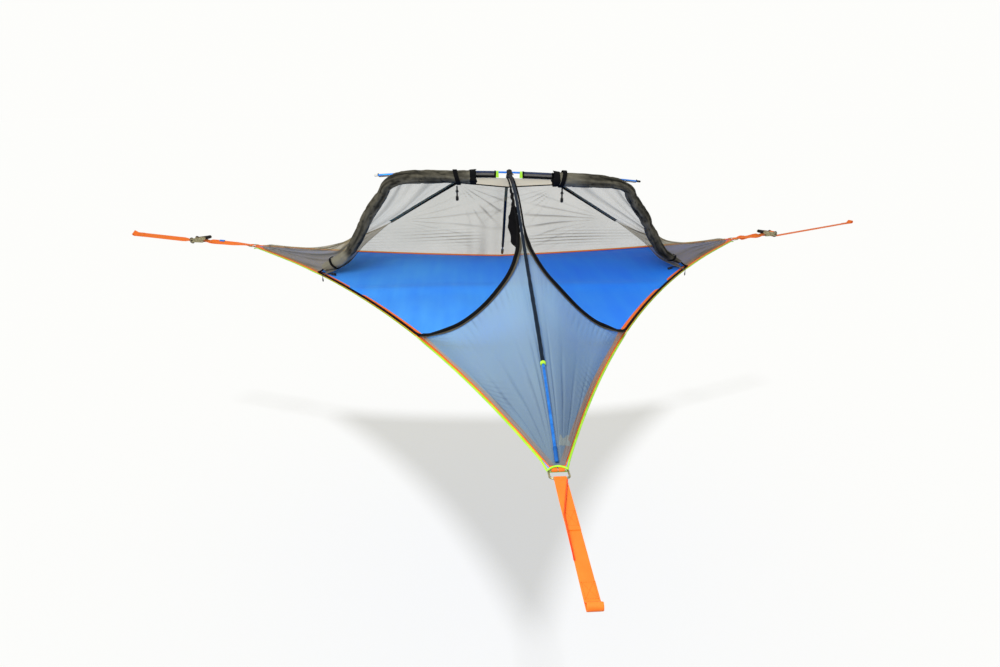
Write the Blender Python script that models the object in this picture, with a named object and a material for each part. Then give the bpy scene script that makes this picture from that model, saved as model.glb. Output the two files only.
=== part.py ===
"""Tree tent: a three-cornered hanging floor under a mesh canopy on two poles, pulled taut by three straps.

Metres, +Z up. The origin is the middle of the three corner rings. The front corner points along -Y,
the other two point back left and back right. Each side of the tent is built once and mirrored in X.
"""

import math

import bmesh
import bpy
from mathutils import Matrix, Vector

# Overall sizes
ANCHOR_SIDE = 3.25
CANOPY_HEIGHT = 0.568
CANOPY_LEAN = 0.033
SEAM_GAP = 0.0004
SEAM_INSET = 0.0015

# Floor and its edges
FLOOR_THICKNESS = 0.0016
EDGE_DIP = 0.166
BACK_DROP = 0.05
DROP_SHELF = 0.045
DROP_REACH = 0.55
CORNER_SETBACK = 0.030
CORNER_HALF = 0.024
EDGE_STEPS = 24
EDGE_WEBBING_WIDTH = 0.025
EDGE_WEBBING_INSET = 0.0045
WEBBING_THICKNESS = 0.0016
WEBBING_SPACING = 0.0015
LOOP_TAIL = 0.060
LOOP_HALF = 0.0182
LOOP_DROP = 0.0008
EDGE_CORD_DIAMETER = 0.006
CORD_TUCK = 0.010
CORD_TUCK_LENGTH = 0.045
FLOOR_RING_SHARES = (1.0, 0.955, 0.8, 0.58, 0.32)

# Poles
POLE_DIAMETER = 0.0095
POLE_BORE_GAP = 0.0006
POLE_JOINT_GAP = 0.0015
FERRULE_WALL = 0.0012
FERRULE_LENGTH = 0.10
SPREADER_LENGTH = 1.354
SPREADER_BOW = 0.030
SPREADER_STEPS = 10
RIDGE_STEPS = 33
RIDGE_FERRULE_STEP = 25
FOOT_SHIFT = 0.016
POCKET_RADIUS = 0.009
POCKET_LENGTH = 0.050
POCKET_FLOOR = 0.003
POCKET_LIFT = 0.010
RIDGE_SHARES = (
    (-0.853, 0.2025),
    (-0.713, 0.387),
    (-0.503, 0.609),
    (-0.2515, 0.893),
    (-0.097, 0.989),
    (0.0, 1.0),
    (0.064, 0.972),
    (0.1386, 0.8415),
    (0.224, 0.581),
    (0.32, 0.2465),
    (0.3837, 0.051),
)

# Canopy
MESH_THICKNESS = 0.0012
MESH_CLEARANCE = 0.0035
HEM_INSET = 0.010
HINGE_SHARE = 0.728
FOOT_SHARE = 0.343
SLIDER_SHARE = 0.700
# Where the slider's run on the floor's edge ends, which gives its joint's range.
SLIDER_END_SHARE = 0.362
FRONT_START_SHARE = 0.022
WING_END_SHARE = 0.968
WALL_END_SHARE = 0.035
PEAK_SIDE_SHARES = (0.1439, 0.048, 0.898)
RIDGE_LINE_SHARES = (
    (0.65, 0.3517, 0.074),
    (0.533, 0.2878, 0.169),
    (0.4423, 0.2398, 0.296),
    (0.3629, 0.1972, 0.4225),
    (0.2531, 0.1226, 0.660),
)
BAND_START_SHARE = 0.68
BAND_WIDTH = 0.030
RIDGE_LOW_RADIUS_SHARE = 0.958
RIDGE_LOW_HEIGHT = 0.009
RIDGE_LOW_SPREAD = 0.004
SEAM_MIDDLE_SHARES = (0.0533, 0.8627)
SPINE_REACH = 0.55
SPINE_SHARES = ((0.115, 0.775), (0.170, 0.700), (0.235, 0.520), (0.32, 0.225))
GUSSET_HALF = 0.250

# Zips and doors
ZIP_WIDTH = 0.014
ZIP_THICKNESS = 0.0014
ZIP_COIL = 0.0014
ZIP_COIL_WIDTH = 0.005
ZIP_INSET = 0.006
ZIP_START_SHARE = 0.724
ZIP_SHARES = (
    (0.1823, -0.5116, 0.132),
    (0.1466, -0.5383, 0.2077),
    (0.1146, -0.5553, 0.2975),
    (0.0863, -0.5628, 0.3908),
    (0.0608, -0.5537, 0.4789),
    (0.0373, -0.5223, 0.5528),
    (0.0210, -0.4796, 0.6197),
)
ZIP_TOP_SHARES = (-0.4157, -0.3198, -0.2132, -0.1066, -0.036)
ZIP_FLOOR_STEPS = 12
ZIP_CURVE_STEPS = 26
ZIP_TOP_STEPS = 10
ZIP_FINE_STEPS = 200
SLEEVE_WIDTH = 0.018
SLEEVE_HEIGHT = 0.015
SLEEVE_START_STEP = 4
SLEEVE_START_SHARE = 0.25
SLEEVE_END_STEP = 21
SLEEVE_RING_LENGTH = 0.012
SLEEVE_RING_WALL = 0.0022
ROLL_RADIUS = 0.031
ROLL_FLARE = 0.008
ROLL_CLEARANCE = 0.0008
ROLL_END_CLEARANCE = 0.017
ROLL_SWELL = 0.0025
ROLL_STEPS = 26
ROLL_SHARES = (
    (0.100, -0.0262, 0.968),
    (0.213, -0.0255, 0.961),
    (0.288, -0.0245, 0.948),
    (0.330, -0.0145, 0.890),
    (0.3455, 0.0, 0.806),
    (0.390, 0.0266, 0.612),
    (0.4305, 0.0533, 0.385),
    (0.474, 0.0853, 0.195),
    (0.521, 0.107, 0.088),
)
ROLL_CORNER_SHARE = 0.345
TIE_WIDTH = 0.022
TIE_WALL = 0.002
TIE_TOP_SHARE = 0.075
TIE_LOW_SHARE = 0.955
TAPE_WIDTH = 0.034
TAPE_THICKNESS = 0.003
TAPE_SHARES = (
    (-0.0151, -0.125, 0.030),
    (-0.0185, -0.200, 0.130),
    (-0.0190, -0.290, 0.215),
    (-0.0185, -0.375, 0.165),
    (-0.0175, -0.440, 0.060),
)

# Top of the canopy
SPREADER_SLEEVE_START = 0.072
SPREADER_SLEEVE_END = 0.258
SPREADER_SLEEVE_WALL = 0.0012
SPREADER_SLEEVE_DROP = 0.028
TAB_PLACE = 0.061
TAB_WIDTH = 0.012
TAB_DROP = 0.026
CAP_WIDTH = 0.036
CAP_THICKNESS = 0.002
CAP_LIFT = 0.0015
CAP_HALF_LENGTH = 0.065
CAP_SHOULDER = 0.022
ELASTIC_DIAMETER = 0.004
ELASTIC_TIP_INSET = 0.012
ELASTIC_START = 0.600

# Toggles and zip sliders
TOGGLE_BALL_RADIUS = 0.0028
TOGGLE_CORD_RADIUS = 0.0014
TOGGLE_BEAD_RADIUS = 0.0045
TOGGLE_BARREL_RADIUS = 0.0060
TOGGLE_LENGTH = 0.074
TOGGLE_GAP = 0.0009
TOGGLE_PROFILE_SHARES = (
    (0.10, "cord"),
    (0.26, "cord"),
    (0.30, "bead"),
    (0.40, "bead"),
    (0.44, "cord"),
    (0.66, "cord"),
    (0.72, "barrel"),
    (0.96, "barrel"),
    (1.00, "bead"),
)
SLIDER_LENGTH = 0.014
SLIDER_WIDTH = 0.011
SLIDER_HEIGHT = 0.005
ARM_WIDTH = 0.006
ARM_HEIGHT = 0.0025
PULL_TOP_RADIUS = 0.002
PULL_LENGTH = 0.032
PULL_WIDTH = 0.007
PULL_THICKNESS = 0.0024

# Corner rings and straps
RING_WIRE = 0.006
RING_HALF_WIDTH = 0.028
RING_HALF_LENGTH = 0.020
RING_BEND = 0.009
STRAP_WIDTH = 0.035
STRAP_TURN = 23.4
STRAP_STRAIGHT = 0.050
FRONT_STRAP_LENGTH = 0.505
FRONT_RETURN = 0.245
LEFT_STRAP_LENGTH = 1.045
RIGHT_STRAP_LENGTH = 1.235
LEFT_RATCHET_PLACE = 0.500
RIGHT_RATCHET_PLACE = 0.385
EYE_RADIUS = 0.010
EYE_SEWN = 0.070
STRAP_RETURN_SHARE = 0.36
TAG_PLACE_SHARE = 0.66
TAG_LENGTH = 0.030
TAG_DROP = 0.030

# Ratchets, in their own frame: X towards the tree, Y across, Z up, origin on the spool's axis
FRAME_INNER_WIDTH = 0.042
FRAME_PLATE = 0.0025
FRAME_HEIGHT = 0.026
FRAME_FRONT = 0.020
FRAME_BACK = 0.095
FRAME_LOW = 0.0022
BOLT_DIAMETER = 0.008
BOLT_INSET = 0.009
SPOOL_DIAMETER = 0.0124
SPOOL_CLEARANCE = 0.0004
BORE_CLEARANCE = 0.00008
GEAR_THICKNESS = 0.003
GEAR_RADIUS = 0.022
GEAR_TOOTH = 0.003
GEAR_TEETH = 12
HANDLE_PLATE = 0.002
HANDLE_HEIGHT = 0.020
HANDLE_LENGTH = 0.115
HANDLE_REST = 12
HANDLE_NOSE = 0.013
GRIP_DIAMETER = 0.018
GRIP_OVERHANG = 0.002
PAWL_THICKNESS = 0.003
PAWL_LENGTH = 0.026
PAWL_CLEARANCE = 0.0012
WINDING_PITCH = 0.0022
WINDING_TURNS = 5
WINDING_STEPS = 24
LEFT_WRAP_DEGREES = 200

# Roundness
POLE_SIDES = 10
ROLL_SIDES = 14
CORD_SIDES = 6
SHAFT_SIDES = 24
LOOP_STEPS = 6

ANCHOR_RADIUS = ANCHOR_SIDE / math.sqrt(3)
UP = Vector((0, 0, 1))
SIDES = {"left": -1, "right": 1}
LAYER = FLOOR_THICKNESS / 2 + SEAM_GAP + WEBBING_THICKNESS / 2
WEBBING_TOP = LAYER + WEBBING_THICKNESS / 2
HEM_HEIGHT = WEBBING_TOP + SEAM_GAP + 0.7 * MESH_THICKNESS
SPREADER_RISE = CANOPY_HEIGHT + POLE_DIAMETER + SEAM_GAP
HEM_DROP = SLEEVE_HEIGHT / 2 + SEAM_GAP + MESH_THICKNESS / 2
ZIP_RISE = WEBBING_TOP + SEAM_GAP + ZIP_THICKNESS / 2


def clear_scene():
    for obj in list(bpy.data.objects):
        bpy.data.objects.remove(obj, do_unlink=True)


def finish(name, colour, roughness, metallic=0.0):
    """A Principled material from an sRGB hex colour."""
    material = bpy.data.materials.new(name)
    material.use_nodes = True
    channels = [int(colour[i : i + 2], 16) / 255 for i in (0, 2, 4)]
    linear = [((c + 0.055) / 1.055) ** 2.4 if c > 0.04045 else c / 12.92 for c in channels]
    shader = material.node_tree.nodes["Principled BSDF"]
    shader.inputs["Base Color"].default_value = (*linear, 1.0)
    shader.inputs["Roughness"].default_value = roughness
    shader.inputs["Metallic"].default_value = metallic
    material.diffuse_color = (*linear, 1.0)
    return material


def leant(point):
    """The canopy leans a little: its height over the floor drops towards +X."""
    point = Vector(point)
    if point.z > 0:
        point.z -= CANOPY_LEAN * point.x * (point.z / CANOPY_HEIGHT) ** 2
    return point


def add(name, bm, material, leaning=False, origin=None, smooth=True):
    """Turns a bmesh into a named object whose origin lies at a joint's pivot, or at the part's origin."""
    bmesh.ops.remove_doubles(bm, verts=bm.verts, dist=1e-6)
    bmesh.ops.recalc_face_normals(bm, faces=bm.faces)
    place = Vector(origin) if origin is not None else Vector()
    for vert in bm.verts:
        vert.co = (leant(vert.co) if leaning else vert.co) - place
    mesh = bpy.data.meshes.new(name)
    bm.to_mesh(mesh)
    bm.free()
    obj = bpy.data.objects.new(name, mesh)
    bpy.context.scene.collection.objects.link(obj)
    obj.location = place
    mesh.materials.append(material)
    if smooth:
        mesh.shade_smooth()
        mesh.set_sharp_from_angle(angle=math.radians(35))
    return obj


def loft_into(bm, rings, closed=False):
    rows = [[bm.verts.new(point) for point in ring] for ring in rings]
    pairs = list(zip(rows, rows[1:]))
    if closed:
        pairs.append((rows[-1], rows[0]))
    for first, second in pairs:
        for i in range(len(first)):
            j = (i + 1) % len(first)
            bm.faces.new((first[i], first[j], second[j], second[i]))
    if not closed:
        bm.faces.new(rows[0])
        bm.faces.new(list(reversed(rows[-1])))


def loft(name, rings, material, closed=False, **options):
    bm = bmesh.new()
    loft_into(bm, rings, closed)
    return add(name, bm, material, **options)


def lengths_along(points):
    total = [0.0]
    for first, second in zip(points, points[1:]):
        total.append(total[-1] + (second - first).length)
    return total


def resample(points, steps):
    """The same path with evenly spaced points."""
    total = lengths_along(points)
    even = []
    at = 0
    for i in range(steps + 1):
        target = total[-1] * i / steps
        while at < len(points) - 2 and total[at + 1] < target:
            at += 1
        span = total[at + 1] - total[at]
        even.append(points[at].lerp(points[at + 1], (target - total[at]) / span))
    return even


def smooth_path(points, steps):
    """An even path on a Catmull-Rom curve through the points."""
    points = [Vector(point) for point in points]
    padded = [2 * points[0] - points[1], *points, 2 * points[-1] - points[-2]]
    fine = []
    per_span = 12
    for a, b, c, d in zip(padded, padded[1:], padded[2:], padded[3:]):
        for i in range(per_span):
            t = i / per_span
            fine.append(
                0.5 * ((2 * b) + (c - a) * t + (2 * a - 5 * b + 4 * c - d) * t**2
                       + (3 * b - a - 3 * c + d) * t**3)
            )
    fine.append(points[-1])
    return resample(fine, steps)


def at_share(path, share):
    """The point of a path at a share of its points' count."""
    place = max(0.0, min(1.0, share)) * (len(path) - 1)
    index = min(int(place), len(path) - 2)
    return path[index].lerp(path[index + 1], place - index)


def tangents(path):
    last = len(path) - 1
    return [(path[min(i + 1, last)] - path[max(i - 1, 0)]).normalized() for i in range(last + 1)]


def round_rings(path, radius, sides, flat=1.0, across=None):
    """Rings round a path. radius is one number or a list, and flat squeezes the rings upwards."""
    radii = radius if isinstance(radius, list) else [radius] * len(path)
    rings = []
    side = None
    for point, along, size in zip(path, tangents(path), radii):
        if side is None:
            hint = across or (Vector((1, 0, 0)) if abs(along.x) < 0.9 else Vector((0, 1, 0)))
            side = hint
        side = (side - along * side.dot(along)).normalized()
        rise = along.cross(side)
        ring = []
        for i in range(sides):
            turn = 2 * math.pi * (i + 0.5) / sides
            ring.append(point + size * (side * math.cos(turn) + rise * flat * math.sin(turn)))
        rings.append(ring)
    return rings


def tube(name, path, radius, sides, material, **options):
    return loft(name, round_rings(path, radius, sides), material, **options)


def pipe_rings(outer, inner):
    """A hollow tube's rings, out along the outside and back through the bore."""
    return [*outer, *reversed(inner)]


def ribbon_rings(stations, thickness):
    """Sections of a strap: each station gives its two edges and the way that its face points."""
    rings = []
    for first, second, up in stations:
        lift = up.normalized() * thickness / 2
        rings.append([first - lift, second - lift, second + lift, first + lift])
    return rings


def ribbon(name, stations, thickness, material, **options):
    return loft(name, ribbon_rings(stations, thickness), material, smooth=False, **options)


def sheet(name, grid, thickness, material, **options):
    """A closed fabric panel about a grid of points, thickened along its normals."""
    rows = len(grid)
    columns = len(grid[0])
    normals = []
    for i in range(rows):
        line = []
        for j in range(columns):
            along = grid[min(i + 1, rows - 1)][j] - grid[max(i - 1, 0)][j]
            across = grid[i][min(j + 1, columns - 1)] - grid[i][max(j - 1, 0)]
            line.append(along.cross(across).normalized() * thickness / 2)
        normals.append(line)
    bm = bmesh.new()
    faces = []
    for sign in (-1, 1):
        faces.append([[bm.verts.new(grid[i][j] + sign * normals[i][j]) for j in range(columns)]
                      for i in range(rows)])
    for side in faces:
        for i in range(rows - 1):
            for j in range(columns - 1):
                bm.faces.new((side[i][j], side[i + 1][j], side[i + 1][j + 1], side[i][j + 1]))
    lower, upper = faces
    rim = [(i, 0) for i in range(rows)]
    rim += [(rows - 1, j) for j in range(1, columns)]
    rim += [(i, columns - 1) for i in range(rows - 2, -1, -1)]
    rim += [(0, j) for j in range(columns - 2, 0, -1)]
    for (a, b), (c, d) in zip(rim, rim[1:] + rim[:1]):
        bm.faces.new((lower[a][b], lower[c][d], upper[c][d], upper[a][b]))
    return add(name, bm, material, **options)


def coons(bottom, top, start, end, steps_u, steps_v):
    """A patch between four edge curves: bottom and top run along u, start and end run along v."""
    grid = []
    for i in range(steps_u + 1):
        u = i / steps_u
        column = []
        for j in range(steps_v + 1):
            v = j / steps_v
            ruled = at_share(bottom, u).lerp(at_share(top, u), v)
            ruled += at_share(start, v).lerp(at_share(end, v), u)
            corners = bottom[0].lerp(bottom[-1], u).lerp(top[0].lerp(top[-1], u), v)
            column.append(ruled - corners)
        grid.append(column)
    return grid


def shares_to_point(shares, side=1):
    x, y, z = shares
    return Vector((side * x * ANCHOR_RADIUS, y * ANCHOR_RADIUS, z * CANOPY_HEIGHT))


# Floor outline

class Corner:
    """A corner of the tent: its ring's place, the way out to the tree and the way across."""

    def __init__(self, degrees):
        turn = math.radians(degrees)
        self.out = Vector((math.cos(turn), math.sin(turn), 0))
        self.across = Vector((-math.sin(turn), math.cos(turn), 0))
        self.anchor = self.out * ANCHOR_RADIUS

    def fabric_end(self, lateral):
        return self.anchor - self.out * CORNER_SETBACK + self.across * lateral

    def place(self, outward, lateral=0.0, height=0.0):
        return self.anchor + self.out * outward + self.across * lateral + UP * height

    def lateral(self, point):
        return (point - self.anchor).dot(self.across)


CORNERS = {"front": Corner(-90), "right": Corner(30), "left": Corner(150)}


class Edge:
    """A taut floor edge, an arc that dips inwards between two corners."""

    def __init__(self, first, second, turn):
        self.first = CORNERS[first]
        self.second = CORNERS[second]
        self.turn = turn
        start = self.first.fabric_end(turn * CORNER_HALF)
        end = self.second.fabric_end(-turn * CORNER_HALF)
        chord = end - start
        inward = (-(start + end) / 2).normalized()
        half = chord.length / 2
        self.radius = (half**2 + EDGE_DIP**2) / (2 * EDGE_DIP)
        self.centre = (start + end) / 2 + inward * (EDGE_DIP - self.radius)
        self.start_angle = self.angle_of(start)
        self.sweep = self.angle_of(end) - self.start_angle
        self.sweep = (self.sweep + math.pi) % (2 * math.pi) - math.pi

    def angle_of(self, point):
        return math.atan2(point.y - self.centre.y, point.x - self.centre.x)

    def angle(self, share):
        return self.start_angle + self.sweep * share

    def point(self, share, inset=0.0, height=0.0):
        turn = self.angle(share)
        reach = self.radius + inset
        place = self.centre + reach * Vector((math.cos(turn), math.sin(turn), 0))
        place.z = floor_height(place) + height
        return place

    def length(self):
        return abs(self.sweep) * self.radius


def floor_height(point):
    """The pole's foot pushes the middle of the back edge down, and the floor follows it for a way."""
    back = EDGES["back"]
    reach = Vector((point.x - back.centre.x, point.y - back.centre.y)).length - back.radius
    turn = (back.angle_of(point) - back.start_angle) / back.sweep
    fade = max(0.0, 1 - max(0.0, reach - DROP_SHELF) / DROP_REACH) ** 3
    return -BACK_DROP * max(0.0, 1 - abs(2 * turn - 1)) * fade


EDGES = {}
EDGES["back"] = Edge("right", "left", 1)
EDGES["right"] = Edge("front", "right", 1)
EDGES["left"] = Edge("front", "left", -1)


def edge_shares(steps=EDGE_STEPS):
    return [i / steps for i in range(steps + 1)]


def build_floor(material):
    loop = []
    for name, backwards in (("right", False), ("back", False), ("left", True)):
        shares = edge_shares()
        loop += [EDGES[name].point(s) for s in (reversed(shares) if backwards else shares)]
    rings = []
    for share in FLOOR_RING_SHARES:
        ring = []
        for point in loop:
            place = Vector((point.x * share, point.y * share, 0))
            place.z = floor_height(place)
            ring.append(place)
        rings.append(ring)
    lift = UP * FLOOR_THICKNESS / 2
    middle = UP * floor_height(Vector())
    bm = bmesh.new()
    rows = []
    for sign in (-1, 1):
        rows.append([[bm.verts.new(point + sign * lift) for point in ring] for ring in rings])
    count = len(loop)
    for side, sign in zip(rows, (-1, 1)):
        hub = bm.verts.new(middle + sign * lift)
        for outer, inner in zip(side, side[1:]):
            for i in range(count):
                j = (i + 1) % count
                bm.faces.new((outer[i], outer[j], inner[j], inner[i]))
        for i in range(count):
            bm.faces.new((side[-1][i], side[-1][(i + 1) % count], hub))
    for i in range(count):
        j = (i + 1) % count
        bm.faces.new((rows[0][0][i], rows[0][0][j], rows[1][0][j], rows[1][0][i]))
    return add("floor_sheet", bm, material)


def corner_loop(corner, lateral, narrow):
    """Webbing stations from the fabric's end over the ring's inner bar and back under the floor."""
    bar = -RING_HALF_LENGTH
    reach = RING_WIRE / 2 + SEAM_GAP + WEBBING_THICKNESS / 2
    stations = []
    for i in range(LOOP_STEPS + 1):
        turn = math.pi / 2 - math.pi * i / LOOP_STEPS
        out = bar + reach * math.cos(turn)
        height = reach * math.sin(turn)
        up = corner.out * math.cos(turn) + UP * math.sin(turn)
        stations.append((corner.place(out, lateral, height), corner.place(out, narrow, height), up))
    for back in (CORNER_SETBACK, LOOP_TAIL):
        first = corner.place(-back, lateral, -LAYER - LOOP_DROP)
        second = corner.place(-back, narrow, -LAYER - LOOP_DROP)
        first.z += floor_height(first)
        second.z += floor_height(second)
        stations.append((first, second, -UP))
    return stations


def edge_webbing(edge):
    """Stations of the webbing on top of the floor's edge, narrowed where two of them meet in a corner."""
    stations = []
    for share in edge_shares()[1:-1]:
        outer = edge.point(share, EDGE_WEBBING_INSET, LAYER)
        inner = edge.point(share, EDGE_WEBBING_INSET + EDGE_WEBBING_WIDTH, LAYER)
        corner = edge.first if share < 0.5 else edge.second
        far = abs(corner.lateral(outer))
        near = abs(corner.lateral(inner))
        if near < WEBBING_SPACING and far > near:
            inner = outer.lerp(inner, (far - WEBBING_SPACING) / (far - near))
        stations.append((outer, inner, UP))
    return stations


def build_edge_webbing(name, edge, material):
    start = edge.turn * (CORNER_HALF - WEBBING_SPACING)
    start_near = edge.turn * WEBBING_SPACING
    loop = edge.turn * LOOP_HALF
    loop_first = corner_loop(edge.first, loop, start_near)
    loop_second = corner_loop(edge.second, -loop, -start_near)
    tip_first = (edge.first.place(-CORNER_SETBACK, start, LAYER),
                 edge.first.place(-CORNER_SETBACK, start_near, LAYER), UP)
    tip_second = (edge.second.place(-CORNER_SETBACK, -start, LAYER),
                  edge.second.place(-CORNER_SETBACK, -start_near, LAYER), UP)
    stations = [*reversed(loop_first), tip_first, *edge_webbing(edge), tip_second, *loop_second]
    return ribbon(name, stations, WEBBING_THICKNESS, material)


def cord_path():
    """The piping runs round the whole floor, and tucks under the webbing at each corner."""
    outside = -(EDGE_CORD_DIAMETER / 2 + SEAM_GAP)
    path = []
    for name, backwards in (("right", False), ("back", False), ("left", True)):
        edge = EDGES[name]
        tuck = CORD_TUCK_LENGTH / edge.length()
        shares = [0.0, tuck / 2, tuck, *edge_shares()[1:-1], 1 - tuck, 1 - tuck / 2, 1.0]
        if backwards:
            shares.reverse()
        for share in sorted(set(shares), reverse=backwards):
            near = min(share, 1 - share) / tuck
            path.append(edge.point(share, outside, -CORD_TUCK * max(0.0, 1 - near)))
    return path


def build_edge_cord(material):
    path = cord_path()
    count = len(path)
    rings = []
    for i, point in enumerate(path):
        along = (path[(i + 1) % count] - path[i - 1]).normalized()
        side = along.cross(UP).normalized()
        rise = side.cross(along)
        ring = []
        for k in range(CORD_SIDES):
            turn = 2 * math.pi * k / CORD_SIDES
            ring.append(point + EDGE_CORD_DIAMETER / 2 * (side * math.cos(turn) + rise * math.sin(turn)))
        rings.append(ring)
    return loft("edge_cord", rings, material, closed=True)


# Poles

def ridge_path():
    """The ridge pole's axis, from the front corner over the crossing to the middle of the back edge."""
    back = EDGES["back"].point(0.5)
    foot = back.y + EDGE_CORD_DIAMETER + 2 * SEAM_GAP + POCKET_RADIUS
    front = Vector((0, -ANCHOR_RADIUS + CORNER_SETBACK + POCKET_LENGTH / 2 - POCKET_RADIUS,
                    WEBBING_TOP + SEAM_GAP + POCKET_RADIUS))
    points = [front]
    for y, z in RIDGE_SHARES:
        reach = y * ANCHOR_RADIUS
        points.append(Vector((FOOT_SHIFT * max(0.0, reach) / foot, reach, z * CANOPY_HEIGHT)))
    points.append(Vector((FOOT_SHIFT, foot, back.z + POCKET_LIFT)))
    return smooth_path(points, RIDGE_STEPS)


RIDGE = ridge_path()


def ridge_point(y):
    """The ridge pole's axis at a place along Y."""
    for first, second in zip(RIDGE, RIDGE[1:]):
        if first.y <= y <= second.y:
            return first.lerp(second, (y - first.y) / (second.y - first.y))
    return (RIDGE[0] if y < RIDGE[0].y else RIDGE[-1]).copy()


def below_ridge(y, drop):
    """A point under the ridge pole's axis, at a distance measured square to the pole."""
    slope = (ridge_point(y + POCKET_LENGTH) - ridge_point(y - POCKET_LENGTH)).normalized()
    return ridge_point(y) - UP * drop / slope.y


def spreader_height(x):
    return SPREADER_RISE - SPREADER_BOW * (2 * x / SPREADER_LENGTH) ** 2


def spreader_point(x):
    return Vector((x, 0, spreader_height(x)))


def build_poles(blue, alloy):
    half_gap = POLE_JOINT_GAP / 2
    at = RIDGE_FERRULE_STEP
    before = (RIDGE[at - 1] - RIDGE[at]).normalized()
    after = (RIDGE[at + 1] - RIDGE[at]).normalized()
    front = RIDGE[:at] + [RIDGE[at] + before * half_gap]
    rear = [RIDGE[at] + after * half_gap] + RIDGE[at + 1 :]
    tube("ridge_pole_front", front, POLE_DIAMETER / 2, POLE_SIDES, blue)
    tube("ridge_pole_rear", rear, POLE_DIAMETER / 2, POLE_SIDES, blue)
    bore = POLE_DIAMETER / 2 + POLE_BORE_GAP
    middle = [RIDGE[at] + before * FERRULE_LENGTH / 2, RIDGE[at], RIDGE[at] + after * FERRULE_LENGTH / 2]
    outer = round_rings(middle, bore + FERRULE_WALL, POLE_SIDES)
    inner = round_rings(middle, bore, POLE_SIDES)
    loft("ridge_ferrule", pipe_rings(outer, inner), alloy, closed=True)
    places = [SPREADER_LENGTH * (i / SPREADER_STEPS - 0.5) for i in range(SPREADER_STEPS + 1)]
    path = [spreader_point(x) for x in places]
    tube("spreader_pole", path, POLE_DIAMETER / 2, POLE_SIDES, blue, leaning=True)


def build_pocket(name, end, inwards, material):
    """A cup sewn to the floor's edge that holds a pole's end."""
    bore = POLE_DIAMETER / 2 + POLE_BORE_GAP
    floor = end - inwards * (SEAM_GAP + POCKET_FLOOR)
    mouth = floor + inwards * POCKET_LENGTH
    seat = end - inwards * SEAM_GAP
    outer = round_rings([floor, mouth], POCKET_RADIUS, POLE_SIDES)
    inner = round_rings([seat, mouth], bore, POLE_SIDES)
    loft(name, [*outer, *reversed(inner)], material)


def build_sleeve(black, lime):
    """The fabric sleeve along the ridge pole, and the bright ring at its lower end."""
    start = RIDGE[SLEEVE_START_STEP].lerp(RIDGE[SLEEVE_START_STEP + 1], SLEEVE_START_SHARE)
    path = [start, *RIDGE[SLEEVE_START_STEP + 1 : SLEEVE_END_STEP + 1]]
    across = Vector((1, 0, 0))
    bore = POLE_DIAMETER / 2 + POLE_BORE_GAP
    outer = round_rings(path, SLEEVE_WIDTH / 2, POLE_SIDES, SLEEVE_HEIGHT / SLEEVE_WIDTH, across)
    inner = round_rings(path, bore, POLE_SIDES, 1.0, across)
    loft("ridge_sleeve", pipe_rings(outer, inner), black, closed=True)
    down = (RIDGE[SLEEVE_START_STEP - 1] - path[0]).normalized()
    near = path[0] + down * SEAM_GAP
    far = near + down * SLEEVE_RING_LENGTH
    ring_path = [near, far]
    outer = round_rings(ring_path, bore + SLEEVE_RING_WALL, POLE_SIDES, 1.0, across)
    inner = round_rings(ring_path, bore, POLE_SIDES, 1.0, across)
    loft("sleeve_ring", pipe_rings(outer, inner), lime, closed=True)


# Zips

def zip_path(side):
    """The zip's middle line and its face's direction: along the floor edge, round and up to the peak."""
    edge = EDGES["right" if side > 0 else "left"]
    span = FOOT_SHARE - ZIP_START_SHARE
    floor = [edge.point(ZIP_START_SHARE + span * i / ZIP_FLOOR_STEPS, ZIP_INSET, ZIP_RISE)
             for i in range(ZIP_FLOOR_STEPS + 1)]
    curve = [floor[-2], floor[-1], *(shares_to_point(s, side) for s in ZIP_SHARES)]
    beside = SLEEVE_WIDTH / 2 + SEAM_GAP + ZIP_WIDTH / 2
    top = []
    for share in ZIP_TOP_SHARES:
        place = below_ridge(share * ANCHOR_RADIUS, HEM_DROP)
        top.append(place + Vector((side * beside, 0, 0)))
    rising = smooth_path(curve[1:] + top, ZIP_FINE_STEPS)
    turn = min(range(ZIP_FINE_STEPS), key=lambda i: (rising[i] - curve[-1]).length)
    path = floor[:-1] + resample(rising[: turn + 1], ZIP_CURVE_STEPS)
    path += resample(rising[turn:], ZIP_TOP_STEPS)[1:]
    lean_in = Vector((side * 0.655, -0.266, 0.708))
    over = Vector((side * 0.25, -0.28, 0.93))
    faces = []
    for i in range(len(path)):
        rise = i - ZIP_FLOOR_STEPS
        if rise <= 0:
            faces.append(UP.copy())
        elif rise < ZIP_CURVE_STEPS / 2:
            faces.append(UP.lerp(lean_in, 2 * rise / ZIP_CURVE_STEPS).normalized())
        else:
            share = (rise - ZIP_CURVE_STEPS / 2) / (ZIP_TOP_STEPS + ZIP_CURVE_STEPS / 2)
            faces.append(lean_in.lerp(over, min(1.0, 2 * share)).normalized())
    return path, faces


def zip_frames(side):
    """Each point of the zip with its way across, which points away from the door, and its face."""
    path, faces = zip_path(side)
    stations = []
    for point, along, face in zip(path, tangents(path), faces):
        away = side * face.cross(along)
        away = (away - along * away.dot(along)).normalized()
        stations.append((point, away, face))
    return stations


def build_zip(name, side, material):
    half = ZIP_WIDTH / 2
    coil = ZIP_COIL_WIDTH / 2
    low = -ZIP_THICKNESS / 2
    high = ZIP_THICKNESS / 2
    section = ((-half, low), (half, low), (half, high), (coil, high), (coil, high + ZIP_COIL),
               (-coil, high + ZIP_COIL), (-coil, high), (-half, high))
    frames = zip_frames(side)
    rings = []
    for (point, away, _), along in zip(frames, tangents([frame[0] for frame in frames])):
        up = along.cross(away).normalized()
        up = up if up.z > 0 else -up
        rings.append([point + away * a + up * b for a, b in section])
    return loft(name, rings, material, leaning=True, smooth=False)


# Canopy panels

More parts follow.
